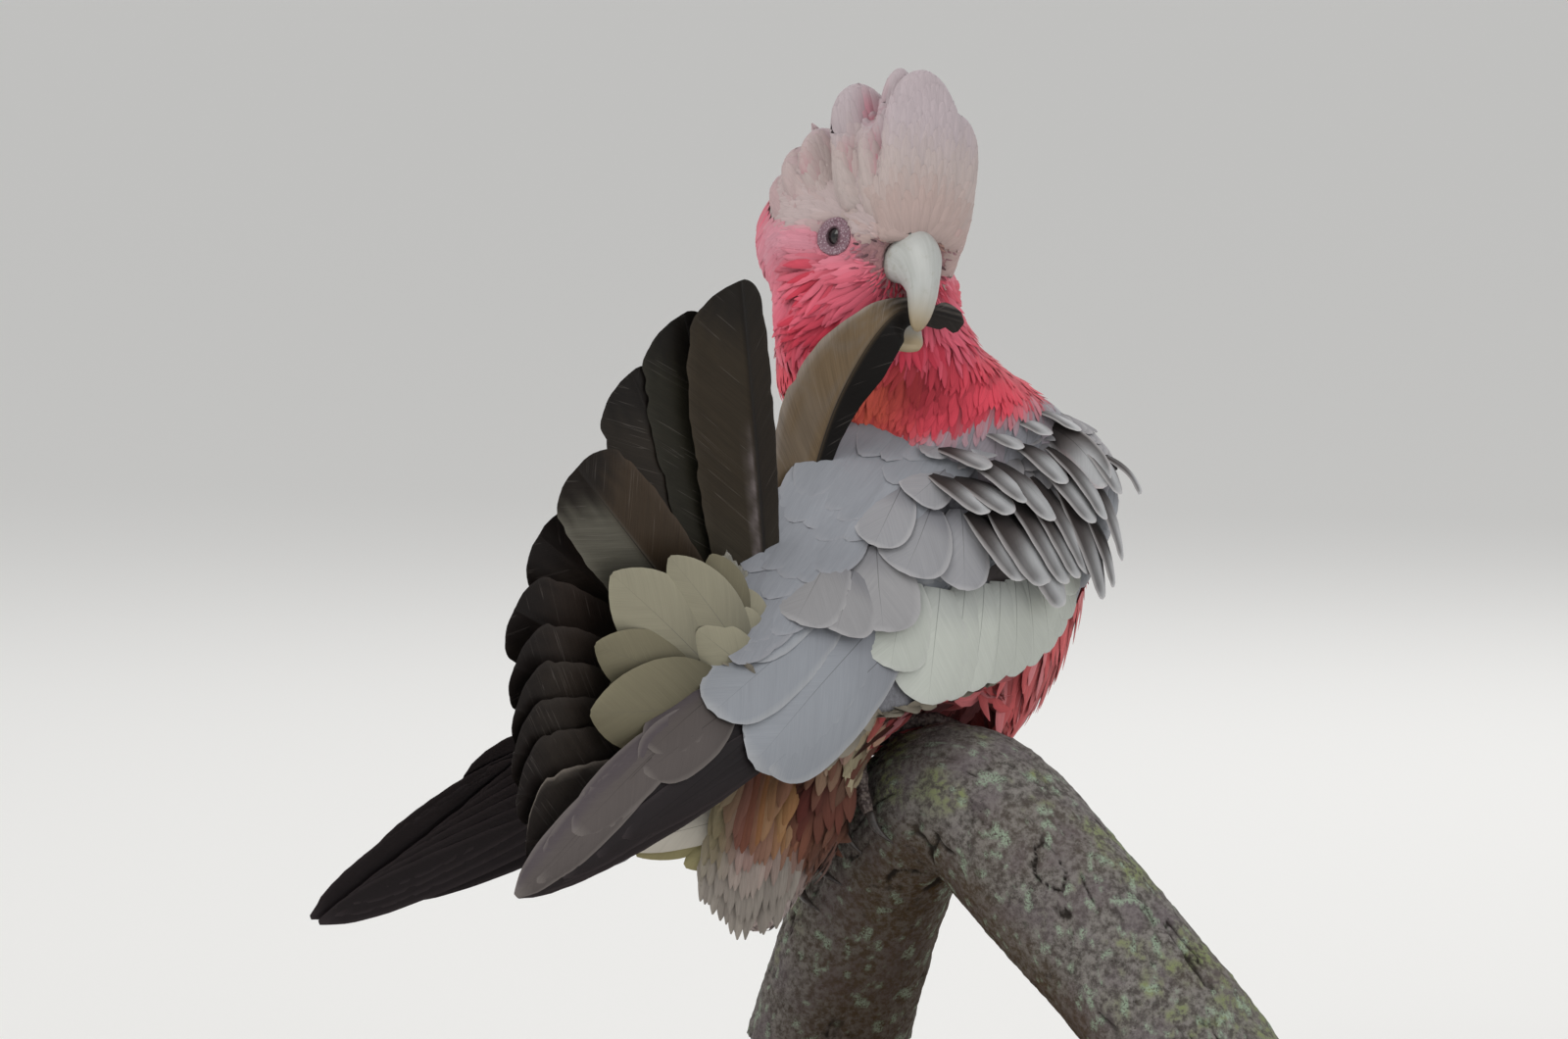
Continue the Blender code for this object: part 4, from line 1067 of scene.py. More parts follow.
def face_colour(q, u, v):
    base = plumage(q)
    k = locks[:, None, None]
    # painted shade and highlights: each lock is darker at its root and sides and lighter towards its lifted tip, with
    # deep red painted shade at the roots between the locks
    dark = 0.92 - 0.30 * k * step(0.62, 0.40, lockn)[:, None, None]
    light = 1.03 + 0.16 * k * step(0.45, 0.65, lockn)[:, None, None]
    g = dark + (light - dark) * step(0.05, 0.75, u)[None, :, None]
    g = g * (1 - 0.10 * k * np.abs(v)[None, None] ** 2) * (1 + (rng.random(len(q)) - .5) * 0.10)[:, None, None]
    col = base[:, None, None] * g[..., None]
    deep = k * step(0.5, 0.1, u)[None, :, None] * step(0.60, 0.42, lockn)[:, None, None] * np.ones(g.shape)
    return mix(col, srgb(150, 26, 50), deep * 0.45)


puff = step(-8, -22, h[:, 0]) * step(-26, -6, h[:, 2])
lay(head_coat, skin_tree, skin_uv, p, T, L + 2 * puff, (3.4 - 1.2 * locks) * (0.9 + 0.3 * rng.random(len(i))), "plume", 6, 3,
    (0.1 + 1.0 * puff, 0.5 + 2.0 * puff + locks * (0.2 + 1.8 * np.maximum(lockn - 0.40, 0) / 0.3)), 1.1, camber=0.2 + 0.1 * 0,
    bow=(rng.random(len(i)) - .5) * (0.03 + 0.08 * locks), colour=face_colour, hug=0.6)
head_coat.flush()

neck_coat = Coat("coat_neck", downy)
pinkish = CAND[:, 2] - 243.0 - 0.26 * CAND[:, 0] > -4
i = scatter(is_neck | (is_trunk & (CAND[:, 2] > 236) & ((CAND_B[:, 2] < 10) | pinkish)), 1.75)
p, nn = CAND[i], CAND_N[i]
front = step(10, -12, p[:, 1]) * step(246, 258, p[:, 2])
T = clump(p, flow(p, nn), nn, 9.0, 0.25 + 0.35 * front, 13)
L = 8.0 + rng.random(len(i)) * 2.5 + 2 * front
fold = fbm(p * np.array([1.0, 1.0, 1.6]), 8.0, 91, 2)
side = step(-14, -24, p[:, 0]) * step(240, 262, p[:, 2])


def neck_colour(q, u, v):
    # painted shade: the coat is darker in the troughs of the folds and lighter where a fold lifts the feathers
    base = plumage(q) * (0.84 + 0.26 * step(0.35, 0.62, fold))[:, None]
    return shaded(base, u, v, 0.93, 1.03, vary=0.05)


lay(neck_coat, skin_tree, skin_uv, p, jitter(T, nn, 0.08), L, 3.0 - 1.0 * front * rng.random(len(i)), "plume", 6, 3,
    (0.2 + 0.3 * side, 0.6 + 0.3 * front * rng.random(len(i)) + 0.9 * step(0.45, 0.62, fold) + 0.4 * side), 1.1,
    camber=0.15, colour=neck_colour, hug=0.6)
neck_coat.flush()

mantle_coat = Coat("coat_mantle", vaned)
on_back = is_trunk & (CAND_B[:, 2] > 8) & (CAND[:, 2] > 120) & ~(pinkish & (CAND[:, 2] > 236))
i = scatter(on_back, 6.2)
i = i[covered(CAND[i], CAND_N[i]) > 5.0]
p, nn = CAND[i], CAND_N[i]
over = covered(p, nn)
lay(mantle_coat, skin_tree, skin_uv, p, jitter(flow(p, nn), nn, 0.08), np.where(over < 16, 14, 25) + rng.random(len(i)) * 5, 17, "covert",
    9, 5, (0.3, 2.2), 1.0, camber=0.15, hug=0.8,
    colour=lambda q, u, v: shaded(plumage(q), u, v, 0.80, 1.03, rim=0.10, vary=0.05))
mantle_coat.flush()

belly_coat = Coat("coat_belly", downy)
low_front = is_trunk & ~on_back & (CAND[:, 2] > 118) & (CAND[:, 2] < 238)
i = scatter(low_front, 3.1)
i = i[covered(CAND[i], CAND_N[i]) > 3.5]
i = i[~((np.abs(CAND[i, 0]) < 12) & (CAND[i, 2] > 176) & (CAND[i, 2] < 216) & (CAND[i, 1] < 0))]
p, nn = CAND[i], CAND_N[i]
T = clump(p, flow(p, nn), nn, 12.0, 0.5, 23)
lock = fbm(p, 6.0, 29, 2)


def belly_colour(q, u, v):
    # painted shade and highlights: darker between the lifted locks and lighter on them, a few tufts with painted pale
    # highlights, and deep red painted shade at the roots
    base = plumage(q) * (0.72 + 0.40 * step(0.35, 0.65, lock))[:, None]
    base = mix(base, srgb(226, 160, 166), step(0.7, 1.0, rng.random(len(q))) * 0.5 * step(140, 160, q[:, 2]))
    col = shaded(base, u, v, 0.50, 1.08, rim=-0.06, vary=0.12)
    k = step(0.4, 0.0, u)[None, :, None] * np.ones(col.shape[:3])
    return mix(col, col * np.array([0.75, 0.45, 0.5]), k * 0.8)


lay(belly_coat, skin_tree, skin_uv, p, jitter(T, nn, 0.07), (24 + rng.random(len(i)) * 8) * (1 - 0.4 * step(-8, -20, p[:, 0]) * step(180, 160, p[:, 2])),
    3.0 + rng.random(len(i)) * 2.8, "plume", 7, 3, (0.2, 1.8 + 1.6 * step(0.4, 0.7, lock)), 1.2, camber=0.3,
    bow=(rng.random(len(i)) - .5) * 0.06, colour=belly_colour)
# legs and vent
legs = np.isin(CAND_L, [LAB["leg_right"], LAB["leg_left"]])
i = scatter(legs | (is_trunk & (CAND[:, 2] <= 121)), 2.3)
p, nn = CAND[i], CAND_N[i]
T = clump(p, flow(p, nn), nn, 10.0, 0.8, 33)


def vent_colour(q, u, v):
    base = plumage(q)
    base = base * (0.8 + 0.4 * fbm(q, 5.0, 41))[:, None]
    return shaded(base, u, v, 0.55, 1.12, vary=0.15)


lay(belly_coat, skin_tree, skin_uv, p, jitter(T, nn, 0.14), 9 + rng.random(len(i)) * 7 * step(96, 112, p[:, 2]),
    2.6 + rng.random(len(i)) * 2.4, "strand", 6, 3, (0.2, 1.8), 1.3, camber=0.25, bow=(rng.random(len(i)) - .5) * 0.2,
    colour=vent_colour)
belly_coat.flush()

# ---- crest -------------------------------------------------------------------------
PETAL_A = np.array([head(*r) for r, _, _ in PETALS])
PETAL_D = np.array([head(*t) for _, t, _ in PETALS]) - PETAL_A
PETAL_L = np.linalg.norm(PETAL_D, axis=1)
PETAL_D = PETAL_D / PETAL_L[:, None]
PETAL_W = np.array([w for _, _, w in PETALS])


def petal_flow(p):
    """Direction of the nearest crest feather, and how far up it each point lies."""
    rel = p[:, None] - PETAL_A[None]
    s = np.sum(rel * PETAL_D[None], -1)
    sc = np.clip(s, 0, PETAL_L[None] * 0.9)
    off = np.linalg.norm(rel - PETAL_D[None] * sc[..., None], axis=-1) / PETAL_W[None]
    w = np.exp(-(off * 2.2) ** 2) + 1e-9
    w = w / w.sum(1, keepdims=True)
    best = np.argmax(w, axis=1)
    fan = np.take_along_axis(rel - PETAL_D[None] * s[..., None], best[:, None, None], 1)[:, 0] * 0.012
    up = s[np.arange(len(p)), best] / PETAL_L[best]
    return unit((w[..., None] * PETAL_D[None]).sum(1) + fan * (1 - 1.6 * np.clip(up, 0, 1))[:, None]), up, PETAL_L[best]


crest_coat = Coat("coat_crest", silk)
ta_, tb_, tc_ = (form_co[form_tris[:, k]] for k in range(3))
farea = 0.5 * np.linalg.norm(np.cross(tb_ - ta_, tc_ - ta_), axis=1)
fpick = rng.choice(len(form_tris), 60000, p=farea / farea.sum())
f1, f2 = np.sqrt(rng.random(60000)), rng.random(60000)
form_p = ta_[fpick] * (1 - f1)[:, None] + tb_[fpick] * (f1 * (1 - f2))[:, None] + tc_[fpick] * (f1 * f2)[:, None]
form_n = unit(form_no[form_tris[fpick, 0]] + form_no[form_tris[fpick, 1]] + form_no[form_tris[fpick, 2]])
crown_zone = is_head & cap & (b_ > 7) & (from_bill > 14) & clear
KEEP = (CAND, CAND_N)
CAND = np.concatenate([form_p, CAND])
CAND_N = np.concatenate([form_n, CAND_N])
i = scatter(np.concatenate([np.ones(60000, bool), crown_zone]), 2.1)
p, nn = CAND[i], CAND_N[i]
on_form = i < 60000
CAND, CAND_N = KEEP


class BothTrees:
    """Nearest point on the crest's form or on the skin, whichever is nearer."""

    @staticmethod
    def find_nearest(v):
        a, b = form_tree.find_nearest(v), skin_tree.find_nearest(v)
        return a if a[3] < b[3] else b


T, up, tall = petal_flow(p)
fore = step(12, 20, to_head(p)[:, 2])[:, None]
radial = unit(unit(p - head(22, 0, -2)) + 0.8 * HU)
T = radial * (1 - fore) + T * fore
T = unit(T - nn * np.sum(T * nn, 1, keepdims=True))
L = np.clip((1.0 - up) * tall * 0.85 + 2.5, 3.2, 10.0 + rng.random(len(i)) * 3)
L = clear_of_eyes(p, T, L)


HOLLOWS = [(-6.0, 37.0, 3.0, 7.0), (-13.2, 23.8, 3.4, 3.6), (-23.5, 17.2, 3.2, 3.8), (-5.5, 28.0, 2.0, 7.0)]


def crest_colour(q, u, v):
    h = to_head(q)
    base = mix(np.tile(srgb(216, 201, 206), (len(q), 1)), srgb(217, 200, 194), step(34, 16, h[:, 2]) * 0.8)
    base = mix(base, srgb(216, 178, 188), 0.40 * step(-6, -24, h[:, 0]))
    base = mix(base, srgb(216, 164, 172), 0.35 * step(8, 0, h[:, 2] - cap_edge(h[:, 0])))
    base = mix(base, srgb(206, 176, 168), 0.60 * step(23, 11, np.linalg.norm(h - np.array([16.0, 0, -2.0]), axis=1)))
    x, z = q[:, 0] - EYE_MID[0], q[:, 2] - EYE_MID[2]
    blush = np.zeros(len(q))
    for x0, z0, rx, rz in HOLLOWS:
        near = np.exp(-((x - x0) / rx) ** 2 - ((z - z0) / rz) ** 2) * (h[:, 0] > -14)
        blush = np.maximum(blush, near)
    base = base * (0.93 + 0.09 * fbm(q, 6.0, 53))[:, None]
    col = shaded(base * 0.82, u, v, 0.95, 1.01, vary=0.02)
    k = blush[:, None, None] * (0.25 + 0.75 * step(0.85, 0.2, u))[None, :, None] * np.ones(col.shape[:3])
    return mix(col, srgb(212, 120, 140), k * 0.75)


lay(crest_coat, BothTrees, skin_uv, p, jitter(T, nn, 0.04), L, 4.6 + rng.random(len(i)) * 1.6, "plume", 6, 5,
    (0.05, 0.42), 1.0, camber=0.18, bow=(rng.random(len(i)) - .5) * 0.04, thick=0.07, colour=crest_colour, hug=0.95)
crest_coat.flush()


# ---- stiff feathers -----------------------------------------------------------------
def stiff_material(name, shaft=(0.02, 0.017, 0.015), shaft_r=0.42, rough=0.5, streak=0.16, split=0.0, pitch=2.1,
                   sweep=1.25, gloss=0.18, bump_mm=0.06, bands=0.10):
    """Flight, tail and large covert feathers: parallel barbs, a raised shaft, a few opened barbs."""
    n = Nodes(name)
    s, x, u, v, rnd = (n.attr(k) for k in ("fs", "fx", "fu", "fv", "frnd"))
    ax, av = n.math("ABSOLUTE", x), n.math("ABSOLUTE", v)
    q = n.math("SUBTRACT", s, n.math("MULTIPLY", ax, sweep))
    seed = n.math("MULTIPLY", rnd, 61.0)
    sign = n.math("MULTIPLY", n.math("SIGN", x), 9.0)
    fine = n.noise(n.vec(n.math("MULTIPLY", q, pitch), n.math("MULTIPLY", x, 0.12), n.math("ADD", seed, sign)),
                   1.0, 2.0, 0.6)
    coarse = n.noise(n.vec(n.math("MULTIPLY", q, 0.28), n.math("MULTIPLY", x, 0.05), n.math("ADD", seed, sign)),
                     1.0, 3.0, 0.6)
    tone = n.math("ADD", n.ramp(fine, 0.3, 0.7, 1 - streak, 1 + streak, "LINEAR"),
                  n.ramp(coarse, 0.3, 0.7, -bands, bands, "LINEAR"))
    col = n.mixc(1.0, n.attr("fcol", "Color"), n.grey(tone), "MULTIPLY")
    if split > 0:
        gapline = n.noise(n.vec(n.math("MULTIPLY", q, 0.62), n.math("MULTIPLY", x, 0.03),
                                n.math("ADD", seed, n.math("MULTIPLY", sign, 1.7))), 1.0, 1.0, 0.5)
        line = n.math("MULTIPLY", n.ramp(gapline, 0.655, 0.675), n.ramp(gapline, 0.70, 0.685))
        line = n.math("MULTIPLY", line, n.ramp(av, 0.10, 0.22))
        line = n.math("MULTIPLY", line, n.ramp(av, 0.98, 0.80))
        line = n.math("MULTIPLY", line, n.ramp(u, 0.2, 0.45))
        col = n.mixc(n.math("MULTIPLY", line, split), col, (0.42, 0.37, 0.34))
    r = n.math("MULTIPLY", n.math("SUBTRACT", 1.12, u), shaft_r)
    mask = n.ramp(n.math("SUBTRACT", ax, r), 0.05, -0.10)
    if shaft is None:
        col = n.mixc(n.math("MULTIPLY", mask, 0.85), col, n.mixc(1.0, col, (0.5, 0.5, 0.5), "MULTIPLY"))
    else:
        col = n.mixc(n.math("MULTIPLY", mask, 0.85), col, shaft)
    n.link(col, n.b.inputs["Base Color"])
    n.bumped(n.math("ADD", fine, n.math("MULTIPLY", coarse, 1.5)), bump_mm * MM)
    n.set(Roughness=rough, Specular_IOR_Level=gloss, Sheen_Weight=0.02)
    return n.mat


TAIL_MAT = stiff_material("feather_tail", split=0.09, rough=0.50, gloss=0.14, streak=0.12)
WING_MAT = stiff_material("feather_wing", shaft=None, shaft_r=0.18, rough=0.62, streak=0.05, gloss=0.2, bands=0.03,
                          pitch=2.6, bump_mm=0.035)
COVERT_MAT = stiff_material("feather_covert", shaft=(0.13, 0.12, 0.10), shaft_r=0.16, rough=0.66, streak=0.05, bands=0.04,
                            pitch=2.6, bump_mm=0.03)

TAIL = [
    (None, 6.6, 0.62, 0.0),
    ((-58.7, -69.0, 289.2), 5.6, 0.73, 9.0),
    ((-76.0, -74.0, 279.3), 4.4, 0.66, 8.0),
    ((-91.5, -82.5, 262.0), 3.1, 0.60, 5.0),
    ((-107.0, -103.0, 235.0), 4.4, 0.50, 0.0),
    ((-118.5, -101.0, 214.3), 0.0, 0.50, 0.0),
    ((-125.5, -107.0, 193.0), 1.0, 0.50, -2.0),
    ((-125.5, -108.5, 176.0), 2.0, 0.58, -4.0),
    ((-125.0, -108.5, 163.7), 3.0, 0.60, -5.0),
    ((-125.5, -107.0, 151.0), 4.0, 0.62, -6.0),
    ((-124.5, -104.0, 138.5), 5.0, 0.66, -7.0),
    ((-122.0, -100.0, 124.5), 6.0, 0.68, -8.0),
]
TAIL_FACE = [
    (0, 0.42, -0.82, -0.38), (2, 0.54, -0.77, -0.33), (3, 0.62, -0.72, -0.30),
    (4, 0.64, -0.68, -0.36), (5, 0.72, -0.64, -0.28),
    (6, 0.76, -0.60, -0.22), (8, 0.78, -0.60, -0.14), (11, 0.79, -0.61, -0.03),
]
VANE = [
    (0.0, 0.11), (0.10, 0.13), (0.17, 0.30), (0.27, 0.62), (0.40, 0.84), (0.58, 0.96),
    (0.76, 1.0), (0.88, 0.95), (0.95, 0.72), (0.985, 0.40), (1.0, 0.10),
]
FEATHER_WIDTH = 31.0
PREENED = [
    ((-47.0, -14.5, 158.5), (-0.83, -0.42, -0.30), 1.8, 1.6),
    ((-44.5, -18.0, 184.5), (-0.88, -0.38, -0.10), 5.0, 2.6),
    ((-41.0, -16.5, 208.0), (-0.94, -0.30, 0.10), 11.0, 3.4),
    ((-36.0, -15.5, 229.0), (-0.95, -0.15, 0.25), 14.0, 4.4),
    ((-30.0, -21.5, 247.5), (-0.86, -0.05, 0.48), 15.6, 6.4),
    ((-22.6, -27.5, 262.5), (-0.66, 0.05, 0.74), 13.0, 9.0),
    ((-15.0, -29.0, 273.6), (-0.40, 0.10, 0.90), 8.0, 8.0),
    (tuple(head(22.0, -3.5, -17.6)), (-0.12, 0.26, 0.96), 4.6, 5.2),
    (tuple(head(20.6, 5.0, -16.8)), (0.02, 0.26, 0.96), 3.9, 4.4),
    (tuple(head(21.6, 18.5, -18.5)), (0.06, 0.26, 0.96), 4.8, 5.0),
]
COLS = np.array([-1, -.93, -.82, -.68, -.53, -.39, -.26, -.15, -.07, -.03, 0, .03, .07, .15, .26, .39, .53, .68, .82, .93, 1.0])


def big_vane(name, shaft, across, face, left, right, colour, mat, cell, cad_node=None, ridge=0.45, thick=0.33,
             camber=0.4, ripple=0.25, splits=(), body_name="root", seed=0):
    """One large feather from its shaft line (n, 3); across points to the left edge."""
    n = len(shaft)
    d = unit(np.gradient(shaft, axis=0))
    across = unit(across - d * np.sum(across * d, 1, keepdims=True))
    N = np.cross(across, d)
    turn = np.sum(N * face, 1) < 0
    N[turn] = -N[turn]
    cols = COLS.copy()
    s = np.concatenate([[0], np.cumsum(np.linalg.norm(np.diff(shaft, axis=0), axis=1))])
    u = s / s[-1]
    w = np.where(cols[None] < 0, left[:, None], right[:, None]) * np.abs(cols)[None]
    for u0, side, deep, wide in splits:
        notch = deep * np.exp(-((u - u0) / wide) ** 2)
        w = np.where(np.sign(cols)[None] == side, w * (1 - notch[:, None] * np.abs(cols)[None] ** 2), w)
    # the rim is a little uneven, as barbs end unevenly
    rim = 1 + 0.010 * np.sin(s * 0.35 + seed) + 0.006 * np.sin(s * 0.8 + 2 * seed)
    w = w * np.where(np.abs(cols)[None] > 0.9, rim[:, None], 1.0)
    x = w * np.sign(cols)[None]
    # the vane spreads square to the shaft; the barbs' forward sweep shows only in the ripple below
    P = shaft[:, None] - across[:, None] * x[..., None]
    half_w = np.maximum(left, right)[:, None] + 0.1
    lift = -camber * (x / half_w) ** 2 * np.minimum(1, half_w / 8)
    lift = lift + ridge * np.exp(-(x / 0.55) ** 2) * (1 - 0.75 * u)[:, None]
    q = s[:, None] - 1.2 * np.abs(x)
    lift = lift + ripple * (np.sin(q * 0.55 + seed) * 0.5 + np.sin(q * 1.3 + 1.7 * seed) * 0.25) * np.abs(cols)[None] ** 1.5
    P = P + N[:, None] * lift[..., None]
    if np.dot(np.cross(N[n // 2], d[n // 2]), -across[n // 2]) < 0:      # keep v along N x d
        P, x, cols = P[:, ::-1], x[:, ::-1], -cols[::-1]
        cols = -cols
        x = x
    half = thick * (1 - 0.55 * u)[:, None] * (1 - 0.45 * np.abs(x) / half_w) + 0.25 * np.exp(-(x / 0.6) ** 2)
    half = np.minimum(half, 0.06 + 0.6 * np.abs(w if cols[0] == COLS[0] else w[:, ::-1]).max(1)[:, None])
    coat = Coat(name, mat, body_name)
    fv = x / half_w
    col = colour(u, x, half_w)
    cx, cy, cw, ch = cell
    coat.add(P[None], np.broadcast_to(N[:, None], P.shape)[None], half[None], col[None], u[None, :, None], fv[None],
             s[-1], 1.0, np.array([[cx + cw / 2, cy + ch / 2]]), (cw * 0.92, ch * 0.94))
    coat.a["fx"] = [np.concatenate([x.reshape(-1), x[1:-1, 1:-1].reshape(-1)]).astype(np.float32)]
    ob = coat.flush()[0]
    if cad_node:
        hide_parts(cad_node)
    return ob


TAIL_TONES = [        # left vane, right vane, tip
    (srgb(116, 98, 76), srgb(24, 20, 18), srgb(50, 44, 40)),
    (srgb(70, 59, 44), srgb(50, 41, 32), srgb(38, 32, 26)),
    (srgb(56, 53, 42), srgb(44, 39, 30), srgb(32, 28, 24)),
    (srgb(66, 58, 50), srgb(54, 46, 41), srgb(36, 31, 28)),
    (srgb(96, 93, 83), srgb(66, 53, 40), srgb(38, 30, 24)),
    (srgb(62, 52, 46), srgb(56, 45, 40), srgb(34, 27, 25)),
    (srgb(66, 56, 49), srgb(59, 48, 42), srgb(35, 28, 26)),
    (srgb(68, 59, 52), srgb(60, 50, 44), srgb(37, 30, 28)),
    (srgb(69, 61, 54), srgb(62, 53, 46), srgb(39, 32, 29)),
    (srgb(68, 60, 54), srgb(61, 53, 47), srgb(40, 33, 30)),
    (srgb(66, 59, 53), srgb(60, 52, 46), srgb(41, 34, 32)),
    (srgb(64, 58, 52), srgb(57, 50, 45), srgb(45, 38, 35)),
]


TAIL_TONES = [(lt * (1.0 if k in (0, 4) else 0.55), rt * (0.9 if k == 4 else 0.6), tip * 0.65)
              for k, (lt, rt, tip) in enumerate(TAIL_TONES)]


def tail_colour(k):
    lt, rt, tip = TAIL_TONES[k]
    base = srgb(70, 65, 54)

    def f(u, x, half):
        left_share = step(1.2, -1.2, x)
        col = mix(np.broadcast_to(rt, (*x.shape, 3)), np.broadcast_to(lt, (*x.shape, 3)), left_share)
        q = (u[:, None] * 130 - np.abs(x) * 0.8) / 130
        col = mix(col, base, step(0.5, 0.12, q) * 0.7)
        col = mix(col, tip, step(0.78, 0.93, q + 0.02 * np.sin(x * 1.3 + k)))
        if k == 1:      # a worn, pale strip beside the shaft: split barbs, with a painted sheen
            # painted sheen over split barbs in the pale strip beside the shaft
            strip = bump(x, -2.0, 1.0) * step(0.12, 0.25, u)[:, None] * step(0.70, 0.52, u)[:, None]
            col = mix(col, srgb(22, 18, 15), bump(x, 0.35, 0.75) * 0.9)
            rag = 0.5 + 0.5 * np.sin(u[:, None] * 90 + np.sin(x * 2) * 2)
            col = mix(col, srgb(160, 148, 150), strip * 0.65 * (0.35 + 0.65 * rag))
        if k == 0:
            col = mix(col, srgb(150, 140, 132), bump(x / half, -0.95, 0.12) * 0.7 * step(0.1, 0.3, u)[:, None])
            late = step(0.80, 0.88, u)[:, None]
            col = mix(col, srgb(34, 30, 29), late * step(1.5, -0.5, x) * 0.9)
            streak = 0.5 + 0.5 * np.sin(x * 3.1 + u[:, None] * 14)
            col = mix(col, srgb(128, 120, 116), late * step(-1.5, -3.6, x) * 0.7 * streak)
            col = mix(col, srgb(120, 112, 104), 0.35 * streak ** 4 * step(0.2, 0.5, u)[:, None] * step(0.5, -0.5, x))
        if k == 11:
            col = mix(col, srgb(150, 140, 130), step(0.90, 0.99, np.abs(x) / half) * 0.6)
        edge = step(0.86, 1.0, np.abs(x) / half)
        return mix(col, col * 1.35 + 0.01, edge * 0.6)
    return f


fine_u = np.linspace(0, 1, 401)
fine_w = np.interp(fine_u, *np.array(VANE).T)
kern = np.hanning(31)
pad = np.concatenate([np.full(15, fine_w[0]), fine_w, np.full(15, 0.0)])
smooth_w = np.convolve(pad, kern / kern.sum(), "valid")
blend = step(0.985, 0.93, fine_u)
round_tip = np.sqrt(np.clip(1 - ((fine_u - 0.90) / 0.1) ** 2, 0, 1)) * 0.93
fine_w = np.where(fine_u < 0.90, smooth_w, np.minimum(round_tip + 0.02, smooth_w[360]))

for k, (tip, level, inner, roll) in enumerate(TAIL):
    nrow = 84
    cell = (0.02 + 0.0 * k, 0.02, 0.96, 0.96)
    if tip is None:
        rows = spline([(*p, *c, w0, w1) for p, c, w0, w1 in PREENED], 110)
        shaft, cross = rows[:, :3], rows[:, 3:6]
        d = unit(np.gradient(shaft, axis=0))
        cross = unit(cross - d * np.sum(cross * d, 1, keepdims=True))
        face = np.cross(cross, d)
        face = np.where((face[:, 1] > 0)[:, None], -face, face)
        left, right = rows[:, 6].copy(), rows[:, 7].copy()
        u = np.linspace(0, 1, 110)
        end = np.sqrt(np.clip(1 - ((u - 0.965) / 0.035) ** 2, 0.01, 1))
        end = np.where(u < 0.965, 1.0, end)
        rag = 1 + 0.08 * np.sin(u * 120) * step(0.86, 0.95, u)
        big_vane("feather_preened", shaft, cross, face, left * end * rag, right * end, tail_colour(0), TAIL_MAT, cell,
                 "tail_feather_01", camber=0.5, ripple=0.18,
                 splits=[(0.93, -1, 0.35, 0.010), (0.965, 1, 0.35, 0.010), (0.62, -1, 0.06, 0.012)],
                 seed=1)
        continue
    root, tip = TAIL_ROOT + TAIL_ACROSS * TAIL_PITCH * k, np.array(tip)
    right_side = k < 6
    d = unit(tip - root)
    face = unit(table(TAIL_FACE, k))
    face = unit(face - np.dot(face, d) * d)
    side = np.cross(d, face)
    if side[0] * -0.7 + side[2] * -0.7 < 0:
        side = -side
    q = math.radians(roll)
    side, face = side * math.cos(q) + face * math.sin(q), face * math.cos(q) - side * math.sin(q)
    bow = (-1.0 if right_side else 4.0) * (0.4 + 0.6 * abs(k - 5.5) / 5.5)
    lift = np.array([0.0, -1.0, 0.0]) * level * TAIL_LEVEL / abs(face[1])
    s = 1 - (1 - np.linspace(0, 1, nrow)) ** 1.35
    full = np.interp(s, fine_u, fine_w) * FEATHER_WIDTH
    share = 0.5 + (inner - 0.5) * np.minimum(1.0, s / 0.2)
    left, right = (full * share, full * (1 - share)) if right_side else (full * (1 - share), full * share)
    shaft = root + (tip - root) * s[:, None] + side * (bow * np.sin(math.pi * s))[:, None] + lift
    splits = []
    if k == 3:
        splits = [(x, -1, 0.07, 0.016) for x in (0.52, 0.63, 0.73, 0.83)]
    elif k == 1:
        splits = [(0.62, -1, 0.06, 0.014), (0.72, 1, 0.07, 0.014)]
    elif k == 2:
        splits = [(0.86, -1, 0.06, 0.014), (0.66, -1, 0.05, 0.014)]
    big_vane("feather_tail_%02d" % (k + 1), shaft, np.tile(side, (nrow, 1)), np.tile(face, (nrow, 1)), left, right,
             tail_colour(k), TAIL_MAT, cell, "tail_feather_%02d" % (k + 1), splits=splits, seed=k * 2.3, ripple=0.22)


# ---- soft coverts above and below the tail --------------------------------------
def leaves(coat, rows, N, kind="contour", tone=None, nu=16, nv=9, camber=0.22, arch=0.08, roll=0.0, thick=0.3,
           cells=None):
    """Free vanes given by root, tip and width."""
    for j, (A, B, W, base) in enumerate(rows):
        A, B = np.asarray(A, float), np.asarray(B, float)
        L = np.linalg.norm(B - A)
        T = (B - A) / L
        n0 = unit(np.asarray(N, float) if np.ndim(N) == 1 else np.asarray(N[j], float))
        n0 = unit(n0 - np.dot(n0, T) * T)
        S = np.cross(n0, T)
        u, v = stations(nu), np.linspace(-1, 1, nv)
        prof = np.interp(u, *np.array(OUTLINES[kind]).T)
        kern = np.array([0.25, 0.5, 0.25])
        prof[1:-1] = np.convolve(prof, kern, "valid")
        sh = A + T * (L * u)[:, None] + n0 * (arch * L * np.sin(math.pi * u))[:, None]
        x = 0.5 * W * prof[:, None] * v[None]
        P = sh[:, None] + S * x[..., None] + n0 * (-camber * 0.5 * W * prof[:, None] * v[None] ** 2 + x * roll
                                                   + 0.3 * np.exp(-(x / 0.5) ** 2) * (1 - u)[:, None])[..., None]
        col = tone(np.asarray(base), u, v)
        uv0, patch = skin_uv(A[None]), (0.003, 0.003)
        if cells is not None:
            cx, cy, cw, ch = cells(j)
            uv0, patch = np.array([[cx + cw / 2, cy + ch / 2]]), (cw * 0.9, ch * 0.94)
        coat.add(P[None], np.broadcast_to(n0, P[None].shape), thick * (1 - 0.6 * u)[None, :, None], col[None],
                 u[None, :, None], (x / (0.5 * W))[None], L, W, uv0, patch)


